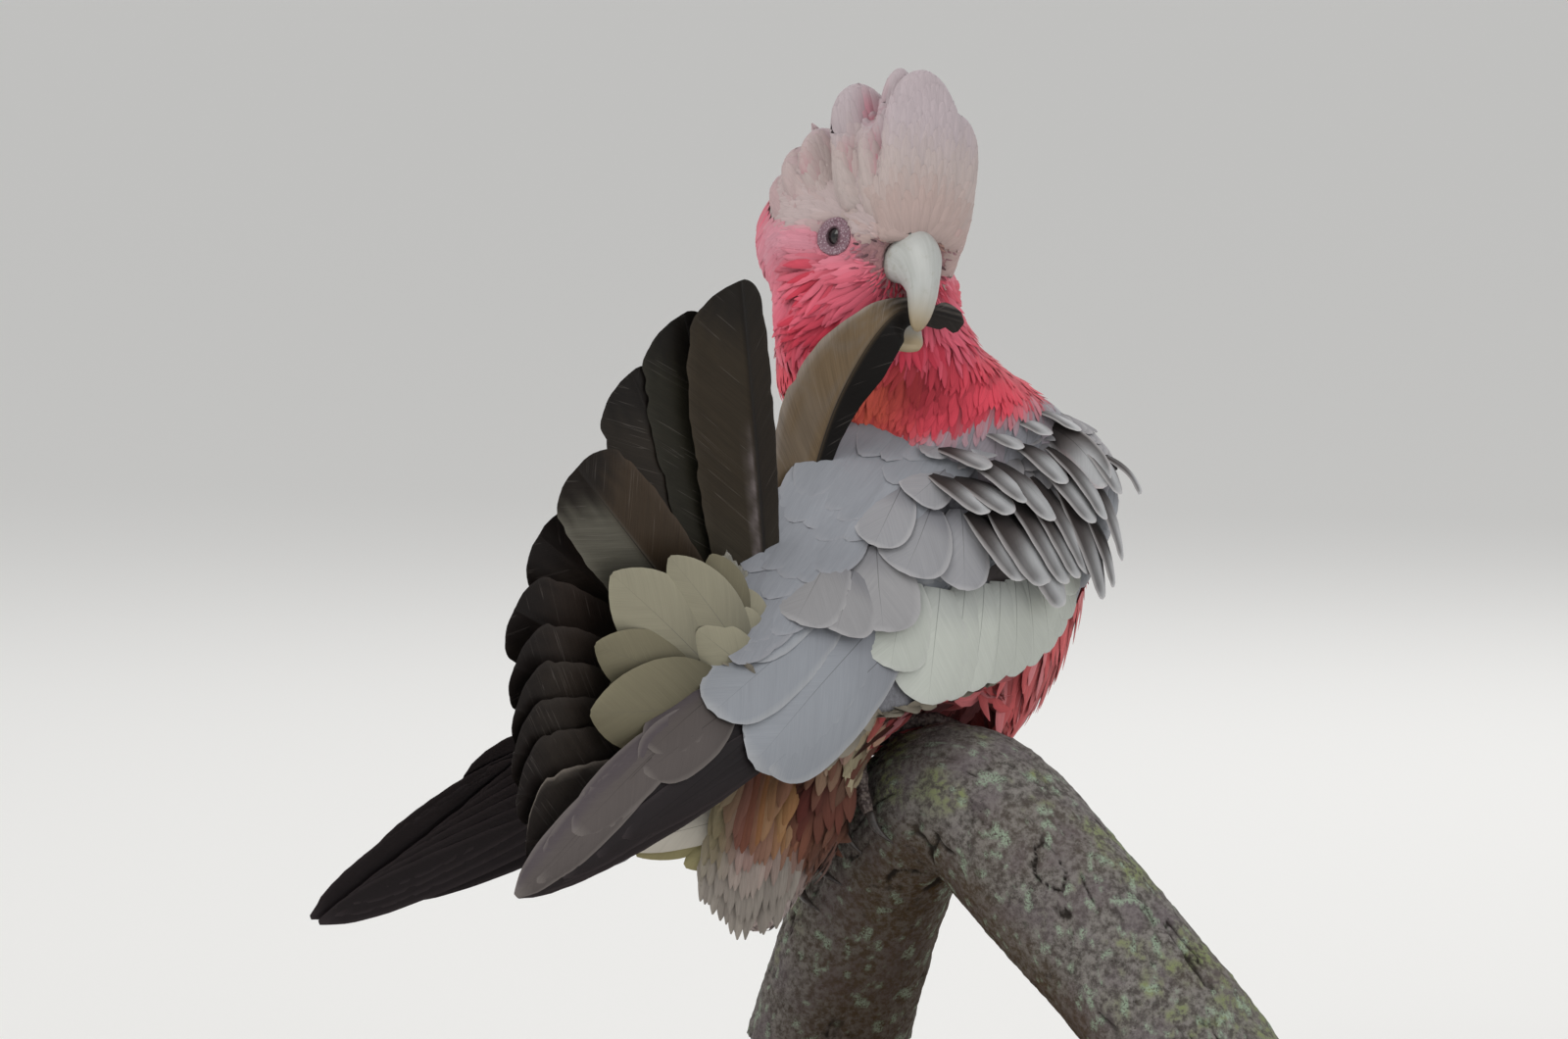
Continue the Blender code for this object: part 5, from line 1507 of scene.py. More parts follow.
def leaf_tone(dark=0.78, light=1.08, fringe=0.10, vary=0.04):
    def f(base, u, v):
        # painted shade: darker towards the root, lighter towards the tip
        g = dark + (light - dark) * step(0.0, 0.7, u)
        g = g[:, None] * (1 + fringe * np.abs(v)[None] ** 4) * (1 + (rng.random() - 0.5) * 2 * vary)
        return base * g[..., None]
    return f


face5 = unit(table(TAIL_FACE, 5))
under_coat = Coat("coat_undertail", COVERT_MAT)


def quill_flow(p, n):
    T = p - (TAIL_ROOT + TAIL_ACROSS * TAIL_PITCH * 5.5)
    return unit(T - n * np.sum(T * n, 1, keepdims=True))


i = scatter((CAND_L == LAB["undertail_coverts"]) & (CAND_N @ face5 > 0.25) & ~((CAND[:, 2] > 176) & (CAND[:, 0] > -74)), 3.4)
p, nn = CAND[i], CAND_N[i]
lay(under_coat, skin_tree, skin_uv, p, jitter(quill_flow(p, nn), nn, 0.06), 9.5, 5.5, "plume", 6, 3, (-0.2, 0.4), 1.0,
    camber=0.2, thick=0.12, colour=lambda q, u, v: shaded(np.tile(srgb(150, 143, 116), (len(q), 1)), u, v, 0.8, 1.0, vary=0.06))
cream, dim = srgb(152, 147, 127), srgb(122, 116, 95)
LIFT = 2.2 * (face5 + np.array([0, -0.4, 0]))
leaves(under_coat, [(LIFT * (0.6 + 0.12 * j) + A, LIFT * (0.6 + 0.12 * j) + B, W, c) for j, (A, B, W, c) in enumerate([
    ((-66, -62, 158), (-94, -82, 148), 22, dim),
    ((-62, -58, 166), (-76, -74, 196), 20, dim),
    ((-70, -64, 166), (-103, -95, 182), 22, dim),
    ((-60, -58, 180), (-69, -68, 207), 17, dim),
    ((-66, -60, 168), (-98.5, -92, 203), 28, cream),
    ((-62, -60, 163), (-105, -97, 162), 31, dim),
    ((-58, -54, 176), (-60, -57, 196.5), 18, cream),
    ((-58, -55, 172), (-82, -80, 207.5), 21, cream),
    ((-55, -54, 168), (-74, -72.5, 185), 17, srgb(156, 151, 130)),
    ((-54, -50, 178), (-66, -63, 190), 13, cream),
])], face5 + np.array([0, -0.3, 0]), "leaf", leaf_tone(0.55, 1.05, 0.10), arch=0.06)
under_coat.flush()

upper_coat = Coat("coat_uppertail", COVERT_MAT)
i = scatter(CAND_L == LAB["uppertail_coverts"], 5.0)
p, nn = CAND[i], CAND_N[i]
lay(upper_coat, skin_tree, skin_uv, p, jitter(quill_flow(p, nn), nn, 0.08), 20, 12, "covert", 7, 5, (0.3, 2.0), 1.0,
    camber=0.2, thick=0.2, colour=lambda q, u, v: shaded(np.tile(RUMP, (len(q), 1)), u, v, 0.7, 1.05, vary=0.06))
upper_coat.flush()

vent_coat = Coat("coat_vent", COVERT_MAT)
olive, pale, grey_ = srgb(150, 142, 104), srgb(206, 200, 188), srgb(150, 144, 140)
leaves(vent_coat, [
    ((-52, -10, 130), (-94, -22, 119), 17, olive),
    ((-50, -12, 126), (-91, -24, 110.5), 15, olive),
    ((-48, -14, 124), (-97, -27, 113), 12, pale),
    ((-46, -16, 122), (-76, -24, 107), 15, olive),
], (-0.15, -0.95, 0.1), "plume", leaf_tone(0.7, 1.06, 0.05, 0.08), arch=0.10, camber=0.3)
vent_coat.flush()
tuft_coat = Coat("coat_vent_tuft", downy)
EDGE = [(-71, 104), (-72, 99), (-69.5, 94.5), (-66, 90.5), (-62.5, 87.2), (-59, 85.2), (-55, 86), (-51, 87.5), (-47, 90),
        (-44, 95), (-42, 100)]
rows = []
for layer, (rise, fwd, W) in enumerate([(0, 0, 7.5), (6, -1.5, 6.5), (13, -2.8, 6), (20, -4.0, 6), (27, -5.0, 6)]):
    fine = np.linspace(0, len(EDGE) - 1, 23 - 2 * layer)
    for x, z in zip(np.interp(fine, range(len(EDGE)), [e[0] for e in EDGE]),
                    np.interp(fine, range(len(EDGE)), [e[1] for e in EDGE])):
        x1 = -57 + (x + 57) * (1 - 0.10 * layer) + (rng.random() - .5) * 2
        z1 = z + rise + (rng.random() - .5) * 4
        tone = mix(srgb(166, 158, 149), srgb(136, 128, 121), rng.random() * 0.6)
        tone = mix(tone, srgb(204, 176, 168), 0.7 * math.exp(-((x1 + 56) / 7) ** 2 - ((z1 - 104) / 6) ** 2))
        high = min(max((z1 + 0.3 * (x1 + 57) - 101) / 9, 0.0), 1.0)
        warm = mix(srgb(112, 44, 34), srgb(180, 128, 66), math.exp(-((x1 + 48) / 8) ** 2 - ((z1 - 116) / 9) ** 2))
        tone = mix(tone, warm, 0.9 * high * (0.75 + 0.25 * rng.random()))
        tone = mix(tone, srgb(146, 138, 108), step(-60, -67, x1) * step(98, 112, z1) * 0.85)
        rows.append(((-52 + (x1 + 57) * 0.8, -16.5 + fwd, 126 + rise * 0.4), (x1, -25 + fwd - 2 * math.cos((x + 57) / 12), z1),
                     W * (0.85 + 0.3 * rng.random()), tone))
leaves(tuft_coat, rows, (-0.10, -0.99, 0.05), "strand", leaf_tone(0.94, 1.0, 0.0, 0.02), nu=12, nv=7, arch=0.10,
       camber=0.35, thick=0.15)
tuft_coat.flush()



# ---- wings ------------------------------------------------------------------------
WING_RIGHT = [
    ((67.0, 27.0, -12.0), (70.0, 17.0, 8.0), 2.0, 4.0),
    ((56.0, 29.0, -19.0), (64.0, 16.0, 17.0), 9.0, 9.0),
    ((38.0, 30.0, -28.0), (50.0, 15.0, 29.0), 13.0, 11.0),
    ((18.0, 33.0, -33.0), (30.0, 14.0, 38.5), 14.5, 11.0),
    ((-4.0, 38.0, -30.0), (9.0, 14.0, 48.0), 13.5, 10.0),
    ((-24.0, 42.0, -20.5), (-12.0, 16.0, 50.5), 12.0, 9.0),
    ((-40.0, 44.0, -14.5), (-30.0, 18.0, 48.5), 8.0, 7.0),
    ((-58.0, 46.0, -5.0), (-50.0, 24.0, 46.0), 7.0, 6.0),
    ((-80.0, 49.0, -4.0), (-70.0, 31.0, 42.5), 6.0, 4.5),
    ((-99.0, 51.5, 7.0), (-92.0, 39.0, 40.5), 4.5, 3.5),
    ((-112.0, 52.5, 19.5), (-112.0, 45.0, 40.2), 3.0, 3.0),
    ((-130.0, 52.5, 22.3), (-134.0, 48.5, 39.5), 2.5, 2.6),
    ((-152.0, 51.5, 25.0), (-158.0, 49.0, 39.0), 2.0, 2.2),
    ((-172.0, 49.0, 27.0), (-176.0, 47.5, 37.8), 1.5, 1.8),
    ((-187.0, 46.5, 29.5), (-188.5, 46.0, 35.5), 0.8, 1.4),
    ((-193.0, 45.0, 32.0), (-193.2, 45.0, 33.6), 0.2, 1.2),
]
WING_LEFT = [
    ((64.0, 27.0, -10.0), (66.0, 18.0, 10.0), 2.0, 4.0),
    ((52.0, 29.0, -20.0), (60.0, 16.0, 18.0), 9.0, 9.0),
    ((36.0, 30.0, -29.0), (48.0, 15.0, 29.0), 13.0, 11.0),
    ((16.0, 33.0, -34.0), (29.0, 14.0, 38.0), 14.5, 11.0),
    ((-6.0, 37.0, -34.0), (8.0, 14.0, 46.0), 13.5, 10.0),
    ((-28.0, 39.0, -34.0), (-14.0, 16.0, 48.0), 12.0, 9.0),
    ((-50.0, 41.0, -34.0), (-34.0, 19.0, 45.0), 10.0, 7.5),
    ((-72.0, 43.0, -33.0), (-56.0, 25.0, 40.0), 7.0, 6.0),
    ((-94.0, 45.0, -30.0), (-80.0, 33.0, 35.0), 6.0, 4.5),
    ((-115.0, 46.0, -23.5), (-104.0, 41.0, 30.0), 4.5, 3.5),
    ((-137.0, 47.0, -11.5), (-126.0, 45.0, 26.5), 3.5, 3.0),
    ((-165.0, 48.0, 2.8), (-150.0, 46.5, 27.0), 2.5, 2.4),
    ((-184.0, 49.0, 11.5), (-176.0, 48.0, 28.3), 1.5, 1.9),
    ((-200.0, 49.2, 18.5), (-196.0, 49.0, 29.5), 1.0, 1.6),
    ((-212.0, 49.4, 24.0), (-211.0, 49.3, 28.0), 0.4, 1.3),
]


class Sheet:
    """The outer face of a folded wing, addressed by row index and share up the chord."""

    def __init__(self, rows, side):
        self.side = side
        self.low = np.array([body(f, side * r, u) for (f, r, u), _, _, _ in rows])
        self.top = np.array([body(f, side * r, u) for _, (f, r, u), _, _ in rows])
        self.crown = np.array([c for _, _, c, _ in rows])
        ii = np.linspace(0, len(rows) - 1, 5 * (len(rows) - 1) + 1)
        vv = np.linspace(0, 1, 15)
        g = np.array([[self.at(i, v) for v in vv] for i in ii])
        idx = np.arange(g.shape[0] * g.shape[1]).reshape(g.shape[:2])
        quads = np.stack([idx[:-1, :-1], idx[1:, :-1], idx[1:, 1:], idx[:-1, 1:]], -1).reshape(-1, 4)
        a, b, c = g[2, 2], g[3, 2], g[2, 3]
        if np.dot(np.cross(b - a, c - a), side * BR) < 0:
            quads = quads[:, ::-1]
        self.tree = BVHTree.FromPolygons([Vector(q) for q in g.reshape(-1, 3) * MM], [tuple(q) for q in quads])

    def at(self, i, v):
        n = len(self.low)
        i = min(max(i, 0.0), n - 1.0)
        k = min(int(i), n - 2)
        w = i - k
        lo = self.low[k] * (1 - w) + self.low[k + 1] * w
        hi = self.top[k] * (1 - w) + self.top[k + 1] * w
        cr = self.crown[k] * (1 - w) + self.crown[k + 1] * w
        mid = 0.5 * (self.low + self.top)
        along = unit(unit(mid[min(k + 1, n - 1)] - mid[max(k - 1, 0)]) * (1 - w)
                     + unit(mid[min(k + 2, n - 1)] - mid[k]) * w)
        out = unit(np.cross(unit(hi - lo), along))
        if np.dot(out, self.side * BR) < 0:
            out = -out
        return lo * (1 - v) + hi * v + out * cr * 4 * v * (1 - v)


def wing_vane(coat, sheet, A, B, W, h0, h1, roll, tone, nu=22, nv=9, kind="covert", camber=0.10, hug=0.6, cell=None,
              thick=0.3, lag=0.5, arch=0.0, bow=0.0):
    """A stiff feather lying on the wing from A to B; h0 and h1 are its heights at root and tip."""
    u, v = stations(nu), np.linspace(-1, 1, nv)
    line = A + (B - A) * u[:, None]
    q, n = nearest(sheet.tree, line)
    gap = np.sum((line - q) * n, 1)
    V = np.vander(u, 3)
    n = unit(V @ np.linalg.lstsq(V, n, rcond=None)[0])
    gap = V @ np.linalg.lstsq(V, gap, rcond=None)[0]
    h = h0 + (h1 - h0) * u + arch * np.sin(math.pi * u)
    sh = line + n * (h - gap)[:, None]
    T = unit(np.gradient(sh, axis=0))
    n = unit(n - T * np.sum(n * T, 1, keepdims=True))
    S = np.cross(n, T)
    outer = np.sign(np.dot(S[nu // 2], sheet.low[6] - sheet.top[6])) or 1.0
    prof = np.interp(u, *np.array(OUTLINES[kind]).T)
    prof[1:-1] = np.convolve(prof, [0.25, 0.5, 0.25], "valid")
    sh = sh + S * (bow * np.sin(math.pi * u))[:, None]
    # the shift that would put the shaft nearer the outer edge is multiplied by 0: the shaft stays in the middle
    x = 0.5 * W * prof[:, None] * v[None]
    x = x - outer * 0.10 * W * prof[:, None] * (1 - np.abs(v))[None] * 0
    tilt = math.tan(roll) * outer * x
    P = sh[:, None] + S[:, None] * x[..., None] + n[:, None] * (tilt - camber * 0.5 * W * prof[:, None] * v[None] ** 2)[..., None]
    if hug:
        flat = P.reshape(-1, 3)
        qq, qn = nearest(sheet.tree, flat)
        g = np.sum((flat - qq) * qn, 1)
        want = (h[:, None] + tilt - camber * 0.5 * W * prof[:, None] * v[None] ** 2).reshape(-1)
        ok = (np.linalg.norm(flat - qq, axis=1) < np.abs(g) + 0.8) & (np.abs(g) < 10)
        P = (flat + qn * (np.where(ok, want - g, 0) * hug)[:, None]).reshape(P.shape)
    ridge = 0.28 * np.exp(-(x / 0.45) ** 2) * (1 - 0.8 * u)[:, None]
    P = P + n[:, None] * ridge[..., None]
    wave = 0.12 * np.sin((u[:, None] * np.linalg.norm(B - A) - np.abs(x)) * 0.9 + A[0]) * np.abs(v)[None] ** 2
    P = P + n[:, None] * wave[..., None]
    uv0, patch = skin_uv(A[None]), (0.003, 0.003)
    if cell is not None:
        uv0, patch = np.array([[cell[0] + cell[2] / 2, cell[1] + cell[3] / 2]]), (cell[2] * 0.9, cell[3] * 0.94)
    col = tone(u, v * outer)
    coat.add(P[None], np.broadcast_to(n[:, None], P.shape)[None], (thick * (1 - 0.55 * u))[None, :, None], col[None],
             u[None, :, None], (x / (0.5 * W))[None], np.linalg.norm(B - A), W, uv0, patch)


GREYS = {
    "Q": (srgb(155, 158, 165), srgb(168, 168, 174), srgb(146, 147, 154)),
    "K": (srgb(150, 148, 152), srgb(190, 187, 188), srgb(74, 68, 70)),
    "P": (srgb(92, 85, 83), srgb(128, 121, 117), srgb(74, 68, 66)),
    "S": (srgb(202, 206, 198), srgb(204, 206, 201), srgb(172, 175, 173)),
    "T": (srgb(158, 162, 169), srgb(184, 185, 188), srgb(138, 140, 147)),
    "A": (srgb(163, 162, 164), srgb(190, 188, 190), srgb(128, 128, 134)),
    "M": (srgb(163, 163, 167), srgb(200, 198, 200), srgb(118, 118, 125)),
    "R": (srgb(196, 197, 199), srgb(222, 218, 218), srgb(40, 33, 32)),
    "L": (srgb(38, 32, 34), srgb(64, 56, 58), srgb(30, 26, 28)),
    "D": (srgb(92, 86, 86), srgb(120, 114, 114), srgb(60, 54, 54)),
}


def wing_tone(kind, dark_root=0.0, warm=0.0):
    mid, edge, root = GREYS[kind]
    k = 1 + (rng.random() - 0.5) * 0.12

    def f(u, v):
        U, V = np.meshgrid(u, v, indexing="ij")
        col = np.broadcast_to(mid, (*U.shape, 3)) * k
        # darker towards the root: for the raised shoulder feathers (R) their own dark bases, for the others painted
        # shade where the next feather overlaps
        col = mix(col, root, step(0.74, 0.28, U) * 0.97 if kind == "R" else step(0.45, 0.08, U) * 0.7)
        if kind == "R":
            col = mix(col, srgb(96, 86, 84), bump(U, 0.42, 0.12) * 0.4)
            # painted shade over the dark base: the upper side of each raised shoulder feather is darker, where it lies
            # under its neighbour
            col = mix(col, srgb(58, 50, 48), step(0.15, 0.75, V) * step(0.97, 0.80, U) * 0.75)
            col = mix(col, srgb(205, 168, 170), step(-0.55, -0.95, V) * 0.6 * step(0.3, 0.6, U))
        if kind == "P":
            col = mix(col, srgb(84, 76, 82), step(-0.1, -0.7, V) * 0.7)
        rim = np.maximum(step(0.80, 1.0, np.abs(V)), step(0.93, 1.0, U))
        return mix(col, edge, rim * 0.6)
    return f


FEATHERS = {     # root (row, share), tip (row, share), width
    "P1": (10.18, .86, 15.0, .82, 15), "P2": (9.98, .88, 13.88, .62, 16), "P3": (9.78, .87, 12.6, .88, 17),
    "P5": (9.38, .87, 10.92, 1.0, 18), "P4": (9.45, .68, 11.25, .82, 21), "P7": (9.43, .35, 13.4, .19, 11),
    "P8": (9.25, .26, 12.7, .17, 11), "P9": (9.05, .18, 12.2, .16, 11),
    "S1": (5.4, .51, 6.6, .22, 27), "S2": (4.98, .41, 6.15, .01, 27), "S3": (4.58, .38, 5.7, 0, 20),
    "S4": (4.25, .36, 5.15, 0, 19), "S5": (3.98, .34, 4.68, 0, 18), "S6": (3.72, .32, 4.25, 0, 17),
    "S7": (3.5, .31, 3.82, 0, 16), "S8": (3.28, .30, 3.45, 0, 15), "S9": (3.08, .30, 3.12, .02, 14),
    "S10": (2.88, .30, 2.82, .04, 13), "S11": (2.68, .30, 2.6, .10, 12),
    "T3": (6.15, .31, 9.43, 0, 28), "T2": (6.15, .45, 9.75, .04, 29), "T1": (6.6, .63, 9.88, .74, 26),
    "T0": (6.3, .78, 8.85, 1.0, 24),
    "A1": (5.52, .70, 6.48, .39, 28), "A0": (6.18, .69, 7.22, .54, 24), "Aa": (6.12, .82, 7.68, .76, 24),
    "M2": (4.38, .70, 5.48, .54, 24), "M1": (4.0, .64, 4.78, .37, 19), "M3": (4.5, .82, 5.62, .70, 18),
    "M4": (3.72, .80, 4.62, .75, 17), "M5": (2.92, .92, 3.95, .86, 10), "M6": (2.5, .85, 3.28, .82, 11),
    "M8": (2.15, .90, 2.68, .92, 9),
    "R2": (3.72, .76, 3.42, .55, 12), "R3": (3.3, .82, 3.05, .56, 13), "R1": (3.53, .60, 3.38, .28, 19),
    "R4": (2.82, .57, 2.82, .22, 12), "R5": (2.58, .64, 2.6, .20, 11), "R6": (2.22, .53, 2.3, .04, 16),
    "R7": (1.58, .55, 1.62, .04, 11), "R8": (.95, .52, .30, .03, 13), "R9": (2.35, .72, 2.1, .34, 11),
    "R10": (2.45, .82, 2.28, .54, 11), "R11": (1.72, .84, 1.58, .41, 10), "R12": (1.8, .96, 1.38, .70, 10),
    "Ra": (3.92, .62, 3.78, .33, 15), "Rb": (3.15, .62, 3.06, .24, 13), "Rc": (4.0, .80, 3.78, .58, 13),
    "Rd": (3.02, .78, 2.86, .46, 12), "Re": (2.0, .72, 1.84, .30, 11), "Rf": (1.30, .75, 1.22, .30, 11),
    "Rg": (1.95, .35, 2.0, .02, 12), "Rh": (3.40, .47, 3.24, .18, 15), "Ri": (3.6, .90, 3.3, .72, 11),
    "Rj": (2.9, .96, 2.6, .74, 10), "Rk": (2.3, .98, 2.0, .74, 10),
    "K13": (1.08, .95, .12, .75, 10),
}
ORDER = ["P9", "P8", "P7", "P1", "P2", "P3", "P4", "P5",
         "S11", "S10", "S9", "S8", "S7", "S6", "S5", "S4", "S3", "S2", "S1", "T3", "T2", "T1", "T0",
         "A1", "A0", "Aa", "M1", "M2", "M3", "M4", "M5", "M6", "M8",
         "R8", "K13", "Rf", "R7", "Rg", "R12", "R11", "Re", "R6", "Rk", "R9", "R10", "R5", "Rj", "R4", "Rd", "Rb", "Rh",
         "R3", "R1", "Ri", "Ra", "R2", "Rc"]
TIER = {"K": 2.2, "P": 1.1, "S": 1.3, "T": 2.0, "A": 3.0, "M": 3.9, "R": 4.2, "L": -0.2}


def build_wing(name, rows, side, raised):
    sheet = Sheet(rows, side)
    nrow = len(rows)
    under = Coat("coat_%s_under" % name, WING_MAT)
    # a bed of small coverts over the whole outer face
    for r in np.arange(0.3, 8.2, 0.42):
        for v in np.arange(0.10 if r < 2.4 else 0.30, 1.0, 0.12):
            v1 = v + (rng.random() - 0.5) * 0.05
            A = sheet.at(r + (rng.random() - .5) * 0.2, v1)
            B = sheet.at(r + 0.9, v1 - 0.05)
            L = np.linalg.norm(B - A)
            B = A + (B - A) / max(L, 1e-6) * min(max(L, 14.0), 18.0)
            # under the raised shoulder feathers the bed is a darker grey (D): painted shade in the gaps between them
            shoulder = raised and 0.6 < r < 3.6 and 0.25 < v < 0.95
            wing_vane(under, sheet, A, B, 12.0, -0.7, -0.1, 0.0, wing_tone("D" if shoulder else "T"), nu=7, nv=5, hug=0.95,
                      thick=0.12, camber=0.04)
    # the inner face
    inner = np.isin(CAND_L, [LAB["wing_" + name.split("_")[-1]]])
    inner &= (CAND_N @ (side * BR)) < -0.15
    i = scatter(inner, 4.8)
    if len(i):
        d, _ = nearest(node_bvh["trunk"], CAND[i])
        i = i[np.linalg.norm(d - CAND[i], axis=1) > 3.0]
        p, nn = CAND[i], CAND_N[i]
        T = unit(-BF - nn * np.sum(-BF * nn, 1, keepdims=True))
        lay(under, skin_tree, skin_uv, p, jitter(T, nn, 0.06), 13, 8, "plume", 7, 5, (0.2, 1.0), 1.0, thick=0.15,
            colour=lambda q, u, v: shaded(mix(np.tile(srgb(186, 104, 112), (len(q), 1)), srgb(150, 142, 128),
                                              step(24, -6, to_body(q)[:, 0])), u, v, 0.75, 1.02, vary=0.06))
    flights = Coat("feathers_" + name, WING_MAT)
    todo = []
    for key in ORDER:
        if key[0] in "RK" and not raised:
            continue
        todo.append((key, *FEATHERS[key]))
    if not raised:
        for j, (a, b) in enumerate([(2.4, .62), (1.7, .60), (1.0, .55), (2.9, .80), (2.2, .84), (1.5, .84), (3.4, .62)]):
            todo.append(("M9", a, b, a + 1.1, b - 0.16, 15))
    # long primaries beyond the table's own, so that the folded tip is closed
    top = nrow - 1
    for j in range(7):
        k = j / 6
        tip = top - 0.1 - 3.3 * (1 - k) ** 1.2
        todo.insert(0, ("L", 8.2 + 0.2 * k, 0.25 + 0.5 * (1 - k), min(tip, top), 0.35 + 0.3 * (1 - k), 13))
    n = len(todo)
    cols = 10
    for j, (key, i0, v0, i1, v1, W) in enumerate(todo):
        kind = key[0]
        A, B = sheet.at(i0, v0), sheet.at(i1, v1)
        cx, cy = (j % cols) / cols, (j // cols) / math.ceil(n / cols)
        cell = (cx, cy, 1 / cols, 1 / math.ceil(n / cols))
        h = TIER[kind]
        roll = math.radians({"K": 12, "P": 3, "S": 5, "T": 4.5, "A": 6, "M": 8, "R": 27, "L": 1}[kind])
        h1 = h + {"K": 1.0, "P": 0.4, "S": 1.0, "T": 0.8, "A": 1.4, "M": 1.8, "R": 4.5, "L": 0.2}[kind]
        tone_kind = kind
        if kind == "P" and (side < 0 or key in ("P7", "P8", "P9")):
            tone_kind = "L"
        long_one = np.linalg.norm(B - A) > 50
        wing_vane(flights, sheet, A, B, W * (1.0 if kind != "R" else 1.12), 0.4 if kind == "T" else h * 0.7, h1, roll, wing_tone(tone_kind),
                  nu=26 if long_one else 18, nv=11 if W > 15 else 9,
                  kind="contour" if kind in "PL" else "covert", hug={"R": 0.2, "S": 0.35}.get(kind, 0.7), cell=cell,
                  camber=0.10 if kind != "R" else 0.22, thick=0.32, arch=0.0 if kind != "R" else 1.2)
    under.flush()
    flights.flush()
    return sheet


sheet_right = build_wing("wing_right", WING_RIGHT, 1, True)
sheet_left = build_wing("wing_left", WING_LEFT, -1, False)


# ---- shoulder and scapulars ------------------------------------------------------
scap = Coat("coat_scapulars", silk_material("feather_scapular", rough=0.66, streak=0.045, strands=3.0, bump_mm=0.03))
for side, sheet in ((1, sheet_right), (-1, sheet_left)):
    k = 0
    for v in (0.86, 0.94, 1.02, 1.10):
        for r in np.arange(3.4 if v < 0.9 else 2.4, 7.6, 0.72):
            k += 1
            vv = v + (rng.random() - .5) * 0.03
            rr = r + 0.36 * (k % 2)
            A = sheet.at(rr, min(vv, 1.0)) + (sheet.at(rr, 1.0) - sheet.at(rr, 0.9)) * max(vv - 1.0, 0) * 10
            B = A + unit(-BF + (0.10 + 0.16 * rng.random()) * (sheet.low[5] - sheet.top[5]) / 50) * (30 + 8 * rng.random())
            wing_vane(scap, sheet, A, B, 17.0 + 3 * rng.random(), 2.8, 3.5 + 1.2 * (v - 0.86), math.radians(1.5),
                      wing_tone("Q"), nu=14, nv=9, kind="plume", hug=0.6, camber=0.07, thick=0.12)
    # small coverts in rows along the bend of the wing
    if side > 0:
        for v in (0.99, 0.90, 0.81, 0.72, 0.63):
            for r in np.arange(0.15, 2.6 if v < 0.85 else 3.2, 0.33):
                A = sheet.at(r + 0.15 * rng.random(), v + (rng.random() - .5) * 0.03)
                B = sheet.at(r + 0.55, v - 0.17)
                L = np.linalg.norm(B - A)
                B = A + (B - A) / L * (11 + 3 * rng.random())
                wing_vane(scap, sheet, A, B, 8.5, 1.4, 4.0, math.radians(18), wing_tone("K"), nu=9, nv=5, kind="covert",
                          hug=0.4, camber=0.2, thick=0.2)
scap.flush()


# ---- eyes and bill ------------------------------------------------------------------
n = Nodes("eye_gloss")
r = n.attr("fr")
col = n.mixc(n.ramp(r, 0.40, 0.46), (0.003, 0.003, 0.004), (0.016, 0.012, 0.012))
col = n.mixc(n.ramp(r, 0.9, 1.15), col, (0.05, 0.04, 0.04))
n.link(col, n.b.inputs["Base Color"])
n.set(Roughness=0.10, Coat_Weight=0.3, Coat_Roughness=0.03, Specular_IOR_Level=0.35)
EYE_MAT = n.mat

n = Nodes("eye_ring_skin")
pos = n.coord()
cell = n.voronoi(pos, 1500.0)
crease = n.noise(pos, 900.0, 4.0, 0.6)
base = n.mixc(n.ramp(crease, 0.35, 0.65), srgb(184, 160, 170), srgb(206, 186, 194))
base = n.mixc(n.ramp(cell, 0.15, 0.55), base, srgb(150, 118, 130))
base = n.mixc(n.ramp(n.attr("fr"), 0.30, 0.10), base, srgb(84, 60, 68))
n.link(base, n.b.inputs["Base Color"])
n.bumped(n.math("SUBTRACT", crease, n.math("MULTIPLY", cell, 0.8)), 0.00035, 0.9)
n.set(Roughness=0.6, Specular_IOR_Level=0.35)
RING_MAT = n.mat

